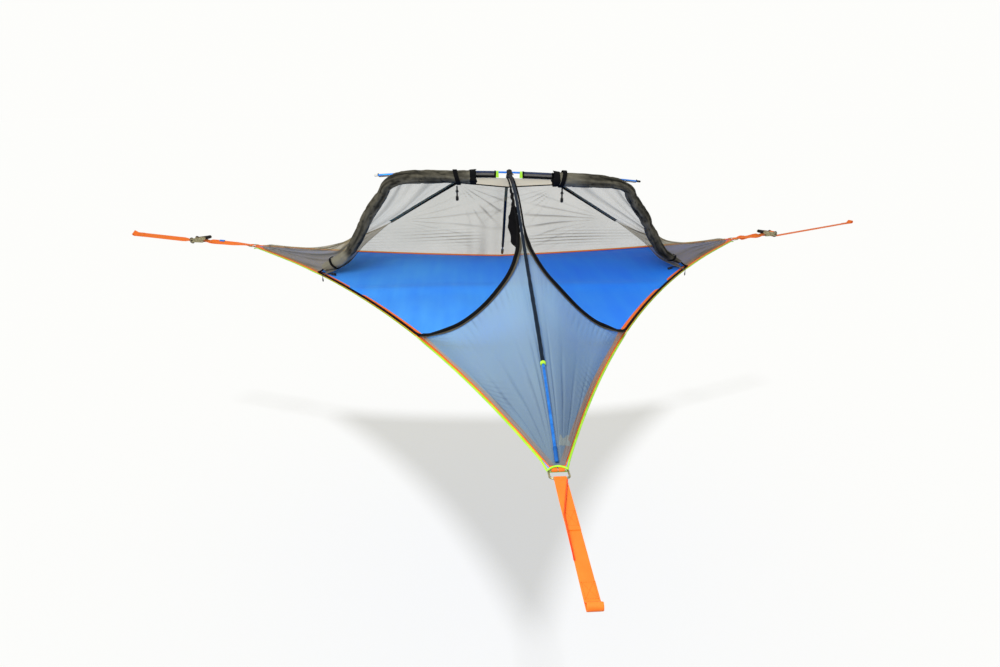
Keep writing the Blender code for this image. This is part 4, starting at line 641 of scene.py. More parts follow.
def woven_webbing(name, low, high, rib=0.0022, roughness=0.62, gloss=0.35):
    """Flat woven webbing: ribs across it, a twill over them, and a few paler worn threads."""
    material, tree = new_finish(name, high)
    uv = cloth_map(tree)
    # Ribs of about 1.3 mm, drawn at rib's width so that they show.
    slanted = threads(tree, uv, rib, radians(28))[0]
    twill = weighed(tree, slanted, 0.5, threads(tree, uv, rib)[0], 0.5)
    worn = put(tree, "TexNoise", {"Vector": uv, "Scale": 22.0, "Detail": 3.0})
    colour = shaded(tree, weighed(tree, twill, 0.6, worn, 0.4), 0.2, 0.8, low, high)
    return surface(material, colour, roughness, gloss=gloss, relief=(twill, 0.0004, 0.7))


def pole_sleeve_mesh():
    """Black mesh stretched over a blue pole, which shows through it between the threads, with painted sheen
    in streaks along it.
    """
    material, tree = new_finish("pole_sleeve_mesh", "#0C141D")
    # Drawn at 6 mm, about four times the real net, so that its weave shows from where the photo is taken.
    net = woven(tree, cloth_map(tree), 0.006, radians(45))
    # Painted sheen: pale streaks that run along the sleeve.
    stretched = cloth_map(tree, (14.0, 160.0, 1.0))
    painted_sheen = put(tree, "TexNoise", {"Vector": stretched, "Scale": 1.0, "Detail": 3.0})
    share = weighed(tree, net, 0.5, painted_sheen, 0.6)
    colour = shaded(tree, share, 0.25, 0.95, "#030508", "#122A42")
    return surface(material, colour, 0.6, gloss=0.1, relief=(net, 0.0006, 0.8))


def plain_cloth(name, low, high, roughness=0.85, pitch=0.0015, gloss=0.15):
    """Plain woven cloth in one colour that wanders a little."""
    material, tree = new_finish(name, high)
    place = put(tree, "TexCoord", out="Object")
    cloudy = put(tree, "TexNoise", {"Vector": place, "Scale": 14.0, "Detail": 3.0})
    colour = shaded(tree, cloudy, 0.3, 0.7, low, high)
    weave = woven(tree, place, pitch, radians(20))
    return surface(material, colour, roughness, gloss=gloss, relief=(weave, 0.0003, 0.6))


def anodised_pole():
    """Drawn aluminium tube, dyed and anodised: a satin metal, cloudy in tone and gloss."""
    material, tree = new_finish("blue_anodised_aluminium", "#1E74D2")
    place = put(tree, "TexCoord", out="Object")
    scuffs = put(tree, "TexNoise", {"Vector": place, "Scale": 60.0, "Detail": 4.0, "Roughness": 0.7})
    colour = shaded(tree, scuffs, 0.35, 0.75, "#186ACB", "#3A92EE")
    return surface(material, colour, put(tree, "MapRange", (scuffs, 0.0, 1.0, 0.26, 0.42)), 0.75)


def lit_through(material, colour, share):
    """Thin pale cloth glows with the light that falls on its back."""
    tree = material.node_tree
    leave = next(node for node in tree.nodes if node.type == "OUTPUT_MATERIAL").inputs["Surface"]
    through = put(tree, "BsdfTranslucent", {"Color": colour})
    tree.links.new(put(tree, "MixShader", (share, leave.links[0].from_socket, through)), leave)
    return material


def plated_steel(name, low, high, roughness):
    """Zinc plated steel: a cloudy bright plating with duller, scuffed patches."""
    material, tree = new_finish(name, high)
    place = put(tree, "TexCoord", out="Object")
    clouds = put(tree, "TexNoise", {"Vector": place, "Scale": 90.0, "Detail": 5.0, "Roughness": 0.65})
    scratches = put(tree, "Mapping", {"Vector": place, "Scale": (700.0, 90.0, 120.0)})
    lines = put(tree, "TexNoise", {"Vector": scratches, "Scale": 1.0})
    shade = weighed(tree, clouds, 0.7, lines, 0.3)
    colour = shaded(tree, shade, 0.35, 0.65, low, high)
    rough = put(tree, "MapRange", (shade, 0.35, 0.65, roughness + 0.12, roughness - 0.08))
    return surface(material, colour, rough, 1.0, relief=(lines, 0.00005, 0.4))


def moulded(name, colour, roughness):
    """Moulded plastic or rubber with a fine eroded grain."""
    material, tree = new_finish(name, colour)
    fine = put(tree, "TexNoise", {"Vector": put(tree, "TexCoord", out="Object"), "Scale": 900.0})
    rough = put(tree, "MapRange", (fine, 0.0, 1.0, roughness - 0.05, roughness + 0.08))
    return surface(material, colour, rough, gloss=0.3, relief=(fine, 0.00008, 0.5))


FLOOR = floor_polyester()
# One insect mesh in three copies, coloured for how light falls on each part: painted light makes the front
# copy pale as lit from above, while the wall and wing copies are warm as seen against the light. Each dense
# colour is the painted shade of its folds.
FRONT_MESH = insect_mesh("insect_mesh_front", "#9DB1AC", "#5C6973", 0.53, 0.24)
WALL_MESH = insect_mesh("insect_mesh_wall", "#BC9C60", "#3D382E", 0.41, 0.48)
WING_MESH = insect_mesh("insect_mesh_wing", "#BDAC82", "#5A584F", 0.42, 0.50)
SLEEVE_MESH = insect_mesh("sleeve_mesh", "#3F3A33", "#0A0A0C", 0.66, 0.34)
ROLLED = rolled_mesh()
ORANGE = woven_webbing("orange_webbing", "#FF690E", "#FF8628")
SOFT_ORANGE = woven_webbing("orange_edge_webbing", "#F25A0C", "#FF8124")
# A deeper red-orange for the front strap's fold: painted shade along its turned edge.
FOLD_SHADE_ORANGE = woven_webbing("orange_webbing_fold_shade", "#FF3206", "#FF4A10")
LIME = plain_cloth("lime_piping", "#9BDC22", "#BDF545", 0.6, gloss=0.3)
BLACK = plain_cloth("black_binding", "#050506", "#0D0D0F", 0.8, gloss=0.08)
BAND = woven_webbing("black_webbing", "#030304", "#0B0B0D", 0.0018, 0.7, 0.06)
SLEEVE = pole_sleeve_mesh()
HOOD = plain_cloth("black_hood_fabric", "#0B0B0E", "#1C1C21", 0.75)
ZIP_BINDING = plain_cloth("grey_zip_binding", "#403C32", "#5B5647", 0.85)
COIL = plain_cloth("black_nylon_coil", "#040405", "#0A0A0C", 0.6, gloss=0.1)
GUSSET = lit_through(plain_cloth("light_grey_gusset", "#C4B493", "#DECDA8", 0.85), "#FFF4DC", 0.6)
TAG = plain_cloth("blue_tag", "#2A78DA", "#3A8CF0", 0.75)
PATCH = plain_cloth("bare_patch", "#F2F0E8", "#FFFFFA", 0.8)
POCKET_BLUE = plain_cloth("blue_pocket_cloth", "#174F90", "#2263B4", 0.7)
THREAD = plain_cloth("black_thread", "#08080A", "#151518", 0.7, 0.0006)
ORANGE_THREAD = plain_cloth("orange_thread", "#C8420A", "#F0661A", 0.7, 0.0006)
BLUE_POLE = anodised_pole()
PALE_TIP = moulded("pale_plastic_tip", "#DAD9D2", 0.5)
ALLOY = plated_steel("plain_aluminium", "#9EA2A8", "#C6C9CE", 0.34)
STEEL = plated_steel("zinc_plated_steel", "#6E6850", "#B9B08C", 0.36)
DARK_STEEL = plated_steel("dark_plated_steel", "#2E2A24", "#605848", 0.42)
PLASTIC = moulded("black_moulded_plastic", "#0C0C0E", 0.45)
RUBBER = moulded("black_rubber_grip", "#121212", 0.7)


# Shapes

def held(value):
    """The value, or each value of an array, kept between 0 and 1."""
    return np.clip(value, 0, 1) if isinstance(value, np.ndarray) else max(0.0, min(1.0, value))


def rising(value, start, length):
    """From nought at the start to one a length further on."""
    return held((value - start) / length)


def rough(x, y, z):
    """Noise at a place, between -1 and 1."""
    return noise.noise(Vector((x, y, z)))


def bell(value, middle, width):
    """One at the middle, fading softly to nought on both sides."""
    return np.exp(-((value - middle) / width) ** 2)


def eased(share):
    """The same share, with a soft start and end."""
    return share * share * (3 - 2 * share)


def leant(point):
    """The canopy leans a little: its height over the floor drops towards +X."""
    point = Vector(point)
    if point.z > 0:
        point.z -= CANOPY_LEAN * point.x * (point.z / CANOPY_HEIGHT) ** 2
    return point


def piece(name, points, faces, uvs, material, leaning=False, smooth=True, fold=None, slack=None):
    """A mesh from points and faces, with a map in metres on the cloth and its folds as an attribute."""
    if leaning:
        points = [leant(point) for point in points]
    mesh = bpy.data.meshes.new(name)
    mesh.from_pydata([tuple(point) for point in points], [], faces)
    layer = mesh.uv_layers.new(name="cloth")
    flat = np.array([c for face_uv in uvs for uv in face_uv for c in uv], np.float32)
    layer.data.foreach_set("uv", flat)
    for label, values in (("fold", fold), ("slack", slack)):
        if values is not None:
            attribute = mesh.attributes.new(label, "FLOAT", "POINT")
            attribute.data.foreach_set("value", np.array(values, np.float32))
    mesh.materials.append(material)
    obj = bpy.data.objects.new(name, mesh)
    bpy.context.scene.collection.objects.link(obj)
    if smooth:
        mesh.shade_smooth()
    return obj


def outward(obj, angle=40):
    """Merges what meets, points the faces out, and keeps hard edges sharp."""
    bm = bmesh.new()
    bm.from_mesh(obj.data)
    bmesh.ops.remove_doubles(bm, verts=bm.verts, dist=1e-6)
    bmesh.ops.recalc_face_normals(bm, faces=bm.faces)
    bm.to_mesh(obj.data)
    bm.free()
    obj.data.shade_smooth()
    obj.data.set_sharp_from_angle(angle=radians(angle))
    return obj


def worn_by(obj, *nodes, slot="black_webbing", body="tent"):
    """The piece rides on a body and stands for CAD nodes; the slot is not used."""
    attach(obj, body)
    if nodes:
        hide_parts(*nodes)
    return obj


def lengths_along(points):
    total = [0.0]
    for first, second in zip(points, points[1:]):
        total.append(total[-1] + (second - first).length)
    return total


def resample(points, steps):
    total = lengths_along(points)
    even = []
    at = 0
    for i in range(steps + 1):
        target = total[-1] * i / steps
        while at < len(points) - 2 and total[at + 1] < target:
            at += 1
        span = total[at + 1] - total[at]
        even.append(points[at].lerp(points[at + 1], (target - total[at]) / span))
    return even


def smooth_path(points, steps):
    """An even path on a Catmull-Rom curve through the points."""
    points = [Vector(point) for point in points]
    padded = [2 * points[0] - points[1], *points, 2 * points[-1] - points[-2]]
    fine = []
    per_span = max(12, 2 * steps // len(points))
    for a, b, c, d in zip(padded, padded[1:], padded[2:], padded[3:]):
        for i in range(per_span):
            t = i / per_span
            fine.append(
                0.5 * ((2 * b) + (c - a) * t + (2 * a - 5 * b + 4 * c - d) * t**2
                       + (3 * b - a - 3 * c + d) * t**3)
            )
    fine.append(points[-1])
    return resample(fine, steps)


def at_share(path, share):
    place = held(share) * (len(path) - 1)
    index = min(int(place), len(path) - 2)
    return path[index].lerp(path[index + 1], place - index)


def tangents(path):
    last = len(path) - 1
    return [(path[min(i + 1, last)] - path[max(i - 1, 0)]).normalized() for i in range(last + 1)]


def frames_along(path, across=None):
    """Each point of a path with a side and a rise direction that turn with it."""
    frames = []
    side = None
    for point, along in zip(path, tangents(path)):
        if side is None:
            side = across or (X_WAY if abs(along.x) < 0.9 else Vector((0, 1, 0)))
        side = (side - along * side.dot(along)).normalized()
        frames.append((point, side, along.cross(side)))
    return frames


def loft(name, rings, material, closed=False, caps=True, **options):
    """A skin over rings of points. Its map runs along the rings and round them, in metres."""
    count = len(rings[0])
    points = [point for ring in rings for point in ring]
    middles = [sum((Vector(p) for p in ring), Vector()) / count for ring in rings]
    along = lengths_along(middles)
    around = [0.0]
    widest = max(rings, key=lambda ring: sum((Vector(a) - Vector(b)).length for a, b in zip(ring, ring[1:])))
    for k in range(count):
        around.append(around[-1] + (Vector(widest[(k + 1) % count]) - Vector(widest[k])).length)
    faces = []
    uvs = []
    spans = len(rings) if closed else len(rings) - 1
    for i in range(spans):
        j = (i + 1) % len(rings)
        far = along[j] if j else along[-1] + (middles[0] - middles[-1]).length
        for k in range(count):
            m = (k + 1) % count
            faces.append((i * count + k, i * count + m, j * count + m, j * count + k))
            uvs.append(((along[i], around[k]), (along[i], around[k + 1]),
                        (far, around[k + 1]), (far, around[k])))
    if caps and not closed:
        for ring, start in ((0, 0), (len(rings) - 1, (len(rings) - 1) * count)):
            face = tuple(range(start, start + count))
            faces.append(face if ring == 0 else face[::-1])
            uvs.append([(along[ring], around[k % count]) for k in range(count)])
    obj = piece(name, points, faces, uvs, material, **options)
    return outward(obj)


def turns_of(sides):
    return [2 * pi * k / sides for k in range(sides)]


def round_ring(point, side, rise, radius, sides):
    return [point + radius * (side * cos(turn) + rise * sin(turn)) for turn in turns_of(sides)]


def tube(name, path, radius, sides, material, rounded=0.0, across=None, **options):
    """A round bar along a path, with rounded ends where asked."""
    frames = frames_along(path, across)
    rings = [round_ring(p, s, r, radius, sides) for p, s, r in frames]
    if rounded:
        along = tangents(path)
        for end, way in ((0, -1), (-1, 1)):
            point, side, rise = frames[end]
            for turn in (0.45, 0.85, 1.2):
                ring = round_ring(point + along[end] * way * rounded * sin(turn), side, rise,
                                  radius * cos(turn), sides)
                rings.insert(0, ring) if way < 0 else rings.append(ring)
    return loft(name, rings, material, **options)


def strap_rings(stations, thickness):
    """Sections of a strap with soft edges: each station gives its two edges and its face's way."""
    rings = []
    for first, second, up in stations:
        lift = up.normalized() * thickness / 2
        low = [first.lerp(second, share) - lift * high for share, high in STRAP_PROFILE]
        top = [first.lerp(second, share) + lift * high for share, high in reversed(STRAP_PROFILE)]
        rings.append(low + top)
    return rings


def strap(name, stations, thickness, material, **options):
    return loft(name, strap_rings(stations, thickness), material, **options)


def finer(stations, longest):
    """The same strap with stations no further apart than a length."""
    made = [stations[0]]
    for (a, b, up), (c, d, way) in zip(stations, stations[1:]):
        steps = max(1, ceil((c - a).length / longest))
        for i in range(1, steps + 1):
            share = i / steps
            face = up.lerp(way, share)
            made.append((a.lerp(c, share), b.lerp(d, share), face if face.length > 0.1 else way))
    return made


def turned_grid(grid):
    return np.array([[list(point) for point in row] for row in grid], float)


def grid_normals(cloth):
    along = np.gradient(cloth, axis=0)
    across = np.gradient(cloth, axis=1)
    normal = np.cross(along, across)
    size = np.linalg.norm(normal, axis=2, keepdims=True)
    return normal / np.maximum(size, 1e-9)


def grid_faces(along, across):
    """The faces of a grid of points with their map: the grid's lengths both ways, in metres."""
    columns = len(across)
    faces = []
    uvs = []
    for i in range(len(along) - 1):
        for j in range(columns - 1):
            at = i * columns + j
            faces.append((at, at + columns, at + columns + 1, at + 1))
            uvs.append(((along[i], across[j]), (along[i + 1], across[j]),
                        (along[i + 1], across[j + 1]), (along[i], across[j + 1])))
    return faces, uvs


def thicken(obj, thickness):
    solid = obj.modifiers.new("thickness", "SOLIDIFY")
    solid.thickness = thickness
    solid.offset = 0.0


def taut(shade):
    """No folds, in one shade of the cloth's own: 0 for its pale side and 1 for its dense one."""
    return lambda cloth: (np.zeros(cloth.shape[:2]), np.full(cloth.shape[:2], float(shade)))


def spans(cloth, axis):
    """The distances between neighbours in a grid of points, along one of its ways."""
    return np.linalg.norm(np.diff(cloth, axis=axis), axis=2)


def lengths_of(cloth, axis):
    """The mean length along one of a grid's ways, from nought at its start."""
    return np.concatenate([[0.0], np.cumsum(spans(cloth, axis).mean(1 - axis))])


def cloth_panel(name, grid, folds, material, leaning=True, border=6):
    """One panel of thin cloth over a grid of points. folds gives each point's lift and its crease."""
    cloth = turned_grid(grid)
    lift, crease = folds(cloth)
    # The folds fade out towards the panel's seams.
    inwards = np.minimum.outer(*(np.minimum(np.arange(n), np.arange(n)[::-1]) for n in cloth.shape[:2]))
    fade = eased(np.minimum(inwards / border, 1.0))
    made = cloth + grid_normals(cloth) * (lift * fade)[..., None]
    faces, uvs = grid_faces(lengths_of(cloth, 0), lengths_of(cloth, 1))
    points = [Vector(p) for p in made.reshape(-1, 3)]
    obj = piece(name, points, faces, uvs, material, leaning=leaning, fold=crease.reshape(-1))
    return obj


def coons(bottom, top, start, end, steps_u, steps_v):
    """A patch between four edge curves: bottom and top run along u, start and end run along v."""
    grid = []
    for i in range(steps_u + 1):
        u = i / steps_u
        column = []
        for j in range(steps_v + 1):
            v = j / steps_v
            ruled = at_share(bottom, u).lerp(at_share(top, u), v)
            ruled += at_share(start, v).lerp(at_share(end, v), u)
            corners = bottom[0].lerp(bottom[-1], u).lerp(top[0].lerp(top[-1], u), v)
            column.append(ruled - corners)
        grid.append(column)
    return grid


def shares_to_point(shares, side=1):
    x, y, z = shares
    return Vector((side * x * ANCHOR_RADIUS, y * ANCHOR_RADIUS, z * CANOPY_HEIGHT))


def wander(points, scale, seed):
    """Smooth noise at each point of a grid, from -1 to 1."""
    shape = points.shape[:-1]
    flat = points.reshape(-1, 3)
    shift = Vector((seed * 7.13, seed * 3.71, seed * 5.37))
    return np.array([noise.noise(Vector(p) * scale + shift) for p in flat]).reshape(shape)


def creased(phase, sharpness=3.0):
    """Narrow crests with wide troughs between them, from 0 to 1."""
    return (0.5 + 0.5 * np.cos(2 * pi * phase)) ** sharpness


# Floor outline

class Corner:
    """A corner of the tent: its ring's place, the way out to the tree and the way across."""

    def __init__(self, degrees):
        turn = radians(degrees)
        self.out = Vector((cos(turn), sin(turn), 0))
        self.across = Vector((-sin(turn), cos(turn), 0))
        self.anchor = self.out * ANCHOR_RADIUS

    def fabric_end(self, lateral):
        return self.anchor - self.out * CORNER_SETBACK + self.across * lateral

    def place(self, outward_by, lateral=0.0, height=0.0):
        return self.anchor + self.out * outward_by + self.across * lateral + UP * height

    def lateral(self, point):
        return (point - self.anchor).dot(self.across)


CORNERS = {"front": Corner(-90), "right": Corner(30), "left": Corner(150)}


class Edge:
    """A taut floor edge, an arc that dips inwards between two corners."""

    def __init__(self, first, second, turn):
        self.first = CORNERS[first]
        self.second = CORNERS[second]
        self.turn = turn
        start = self.first.fabric_end(turn * CORNER_HALF)
        end = self.second.fabric_end(-turn * CORNER_HALF)
        inward = (-(start + end) / 2).normalized()
        half = (end - start).length / 2
        self.radius = (half**2 + EDGE_DIP**2) / (2 * EDGE_DIP)
        self.centre = (start + end) / 2 + inward * (EDGE_DIP - self.radius)
        self.start_angle = self.angle_of(start)
        self.sweep = self.angle_of(end) - self.start_angle
        self.sweep = (self.sweep + pi) % (2 * pi) - pi

    def angle_of(self, point):
        return atan2(point.y - self.centre.y, point.x - self.centre.x)

    def point(self, share, inset=0.0, height=0.0):
        turn = self.start_angle + self.sweep * share
        place = self.centre + (self.radius + inset) * Vector((cos(turn), sin(turn), 0))
        place.z = floor_height(place) + height
        return place

    def length(self):
        return abs(self.sweep) * self.radius


def floor_height(point):
    """The pole's foot pushes the middle of the back edge down, and the floor follows it for a way."""
    back = EDGES["back"]
    reach = Vector((point.x - back.centre.x, point.y - back.centre.y)).length - back.radius
    turn = (back.angle_of(point) - back.start_angle) / back.sweep
    fade = max(0.0, 1 - max(0.0, reach - DROP_SHELF) / DROP_REACH) ** 3
    return -BACK_DROP * max(0.0, 1 - abs(2 * turn - 1)) * fade


EDGES = {}
EDGES["back"] = Edge("right", "left", 1)
EDGES["right"] = Edge("front", "right", 1)
EDGES["left"] = Edge("front", "left", -1)


def edge_shares():
    return [i / EDGE_STEPS for i in range(EDGE_STEPS + 1)]


def front_edge(side):
    return EDGES["right" if side > 0 else "left"]


def floor_loop():
    """The floor's outline, once round."""
    loop = []
    for name, backwards in ROUND_THE_FLOOR:
        loop += [EDGES[name].point(share) for share in sorted(edge_shares(), reverse=backwards)]
    return loop


# Stitches and teeth that follow a path

def repeat_tree(name):
    """Small rounded bodies set along a path at a pitch, each turned with the path."""
    tree = bpy.data.node_groups.new(name, "GeometryNodeTree")
    tree.interface.new_socket("Path", in_out="INPUT", socket_type="NodeSocketGeometry")
    for label, value in zip(("Pitch", "Length", "Width", "Height"), USUAL_STITCH):
        socket = tree.interface.new_socket(label, in_out="INPUT", socket_type="NodeSocketFloat")
        socket.default_value = value
    tree.interface.new_socket("Finish", in_out="INPUT", socket_type="NodeSocketMaterial")
    tree.interface.new_socket("Mesh", in_out="OUTPUT", socket_type="NodeSocketGeometry")
    entry = tree.nodes.new("NodeGroupInput")
    leave = tree.nodes.new("NodeGroupOutput")
    line = put(tree, "GeometryNodeMeshToCurve", {"Mesh": entry.outputs["Path"]})
    points = put(tree, "GeometryNodeCurveToPoints", {"Curve": line, "Length": entry.outputs["Pitch"]},
                 out=None, mode="LENGTH").outputs
    ball = put(tree, "GeometryNodeMeshUVSphere", {"Segments": 6, "Rings": 4, "Radius": 0.5})
    size = put(tree, "ShaderNodeCombineXYZ", [entry.outputs[part] for part in ("Width", "Height", "Length")])
    shaped = put(tree, "GeometryNodeTransform", {"Geometry": ball, "Scale": size})
    face = put(tree, "GeometryNodeInputNamedAttribute", {"Name": "face"}, data_type="FLOAT_VECTOR")
    turned_by = put(tree, "FunctionNodeAxesToRotation", {
        "Primary Axis": points["Tangent"], "Secondary Axis": face}, primary_axis="Z", secondary_axis="Y")
    placed = put(tree, "GeometryNodeInstanceOnPoints", {
        "Points": points["Points"], "Instance": shaped, "Rotation": turned_by})
    real = put(tree, "GeometryNodeRealizeInstances", {"Geometry": placed})
    done = put(tree, "GeometryNodeSetMaterial", {"Geometry": real, "Material": entry.outputs["Finish"]})
    tree.links.new(done, leave.inputs[0])
    return tree


REPEAT = repeat_tree("stitches_along_a_path")


def along_paths(name, paths, kind, material):
    """One piece of stitches or teeth of a kind along several paths: (points, ways that the face points)."""
    mesh = bpy.data.meshes.new(name)
    points = []
    links = []
    faces = []
    for path, ways in paths:
        base = len(points)
        points += [tuple(p) for p in path]
        faces += [tuple(w) for w in ways]
        links += [(base + i, base + i + 1) for i in range(len(path) - 1)]
    mesh.from_pydata(points, links, [])
    attribute = mesh.attributes.new("face", "FLOAT_VECTOR", "POINT")
    attribute.data.foreach_set("vector", np.array(faces, np.float32).ravel())
    obj = bpy.data.objects.new(name, mesh)
    bpy.context.scene.collection.objects.link(obj)
    modifier = obj.modifiers.new("repeat", "NODES")
    modifier.node_group = REPEAT
    names = {item.name: item.identifier for item in REPEAT.interface.items_tree if item.in_out == "INPUT"}
    for label, value in zip(("Pitch", "Length", "Width", "Height", "Finish"), (*kind, material)):
        modifier[names[label]] = value
    bpy.context.view_layer.update()
    made = bpy.data.meshes.new_from_object(obj.evaluated_get(bpy.context.evaluated_depsgraph_get()))
    obj.modifiers.clear()
    obj.data = made
    made.name = name
    if not made.materials:
        made.materials.append(material)
    made.shade_smooth()
    return obj


def rows_on_strap(stations, shares, lift):
    """Paths along a strap at shares of its width, a lift above its face."""
    rows = []
    for share in shares:
        path = [a.lerp(b, share) + up.normalized() * lift for a, b, up in stations]
        rows.append((path, [up.normalized() for _, _, up in stations]))
    return rows


def leant_rows(rows):
    return [([leant(point) for point in row], ways) for row, ways in rows]


def sewn_box(stations, start, end, lift):
    """The paths of a sewn box with a cross, between two lengths along a strap."""
    total = lengths_along([a.lerp(b, 0.5) for a, b, _ in stations])

    def spot(reach, share):
        reach = max(total[0], min(total[-1], reach))
        i = max(j for j in range(len(total) - 1) if total[j] <= reach + 1e-9)
        t = (reach - total[i]) / max(total[i + 1] - total[i], 1e-9)
        a = stations[i][0].lerp(stations[i + 1][0], t)
        b = stations[i][1].lerp(stations[i + 1][1], t)
        up = stations[i][2].lerp(stations[i + 1][2], t).normalized()
        return a.lerp(b, share) + up * lift, up

    corners = ((start, 0.12), (end, 0.12), (end, 0.88), (start, 0.88))
    lines = [(corners[k], corners[(k + 1) % 4]) for k in range(4)]
    lines += [(corners[0], corners[2]), (corners[1], corners[3])]
    paths = []
    for (r0, s0), (r1, s1) in lines:
        spots = [spot(r0 + (r1 - r0) * k / 8, s0 + (s1 - s0) * k / 8) for k in range(9)]
        paths.append(([p for p, _ in spots], [w for _, w in spots]))
    return paths


# Floor

def make_floor():
    """The blue floor: taut, with soft pulls towards its corners and the pole's foot."""
    loop = floor_loop()
    count = len(loop)
    shares = [(i / FLOOR_RINGS) ** 0.8 for i in range(FLOOR_RINGS, 0, -1)]
    points = [Vector((point.x * share, point.y * share, 0)) for share in shares for point in loop]
    points.append(Vector())
    lift = floor_pulls(np.array([list(p) for p in points]))
    rim = np.repeat([min(1.0, (1 - share) / RIM_SHARE) for share in shares], count)
    for point, extra, keep in zip(points, lift, [*rim, 1.0]):
        point.z = floor_height(point) + extra * keep
    faces = []
    for i in range(len(shares) - 1):
        for k in range(count):
            m = (k + 1) % count
            faces.append((i * count + k, i * count + m, (i + 1) * count + m, (i + 1) * count + k))
    last = (len(shares) - 1) * count
    faces += [(last + k, last + (k + 1) % count, len(points) - 1) for k in range(count)]
    uvs = [[(points[i].x, points[i].y) for i in face] for face in faces]
    obj = piece("floor_cloth", points, faces, uvs, FLOOR)
    thicken(obj, FLOOR_THICKNESS)
    worn_by(obj, "floor_sheet", slot="floor_fabric")


def floor_pulls(flat):
    """Lift of each floor point: fans of shallow folds from the corners, and soft waves between them."""
    lift = np.zeros(len(flat))
    for name, corner in CORNERS.items():
        place = np.array(corner.anchor)
        away = flat - place
        reach = np.linalg.norm(away, axis=1)
        along = -(away @ np.array(corner.out))
        side = away @ np.array(corner.across)
        turn = np.arctan2(side, along)
        waves = np.sin(turn * 26 + 1.7 * len(name)) * bell(reach, 0.5, 0.42)
        lift += CORNER_FAN_HEIGHT * waves
    lift += FLOOR_WAVE_HEIGHT * wander(flat * np.array([1.0, 1.0, 0.0]), 1.6, 1)
    stretched = flat * np.array([5.5, 1.3, 0.0])
    front = bell(flat[:, 1], -0.55, 0.38)
    lift += FLOOR_WAVE_HEIGHT * wander(stretched, 1.0, 2) * front
    # Where the floor was folded in its bag, a soft crease runs from side to side.
    bend = flat[:, 1] - CREASE_PLACE - CREASE_SWAY * wander(flat * np.array([1.0, 0.0, 0.0]), 2.0, 21)
    lift += CREASE_HEIGHT * np.exp(-(bend / CREASE_WIDTH) ** 2)
    slack = wander(flat * np.array([1.0, 0.25, 0.0]), 9.0, 22) * bell(flat[:, 1], -0.35, 0.16)
    lift += SLACK_HEIGHT * slack * held(0.5 - 1.2 * flat[:, 0])
    return lift


def corner_loop(corner, lateral, narrow):
    """Webbing stations from the fabric's end over the ring's inner bar and back under the floor."""
    bar = -RING_HALF_LENGTH
    reach = RING_WIRE / 2 + SEAM_GAP + WEBBING_THICKNESS / 2
    stations = []
    for i in range(LOOP_STEPS + 1):
        turn = pi / 2 - pi * i / LOOP_STEPS
        out = bar + reach * cos(turn)
        height = reach * sin(turn)
        up = corner.out * cos(turn) + UP * sin(turn)
        stations.append((corner.place(out, lateral, height), corner.place(out, narrow, height), up))
    for back in (CORNER_SETBACK, LOOP_TAIL):
        first = corner.place(-back, lateral, -LAYER - LOOP_DROP)
        second = corner.place(-back, narrow, -LAYER - LOOP_DROP)
        first.z += floor_height(first)
        second.z += floor_height(second)
        stations.append((first, second, -UP))
    return stations


def edge_webbing(edge):
    stations = []
    for share in edge_shares()[1:-1]:
        outer = edge.point(share, EDGE_WEBBING_INSET / 9, LAYER)
        narrow = 0.0
        if edge is not EDGES["back"]:
            narrow = FRONT_WEBBING_NARROW * held((FOOT_SHARE - share) / 0.05)
        inner = edge.point(share, EDGE_WEBBING_INSET + EDGE_WEBBING_WIDTH - narrow, LAYER)
        corner = edge.first if share < 0.5 else edge.second
        far = abs(corner.lateral(outer))
        near = abs(corner.lateral(inner))
        if near < WEBBING_SPACING and far > near:
            inner = outer.lerp(inner, (far - WEBBING_SPACING) / (far - near))
        stations.append((outer, inner, UP))
    return stations


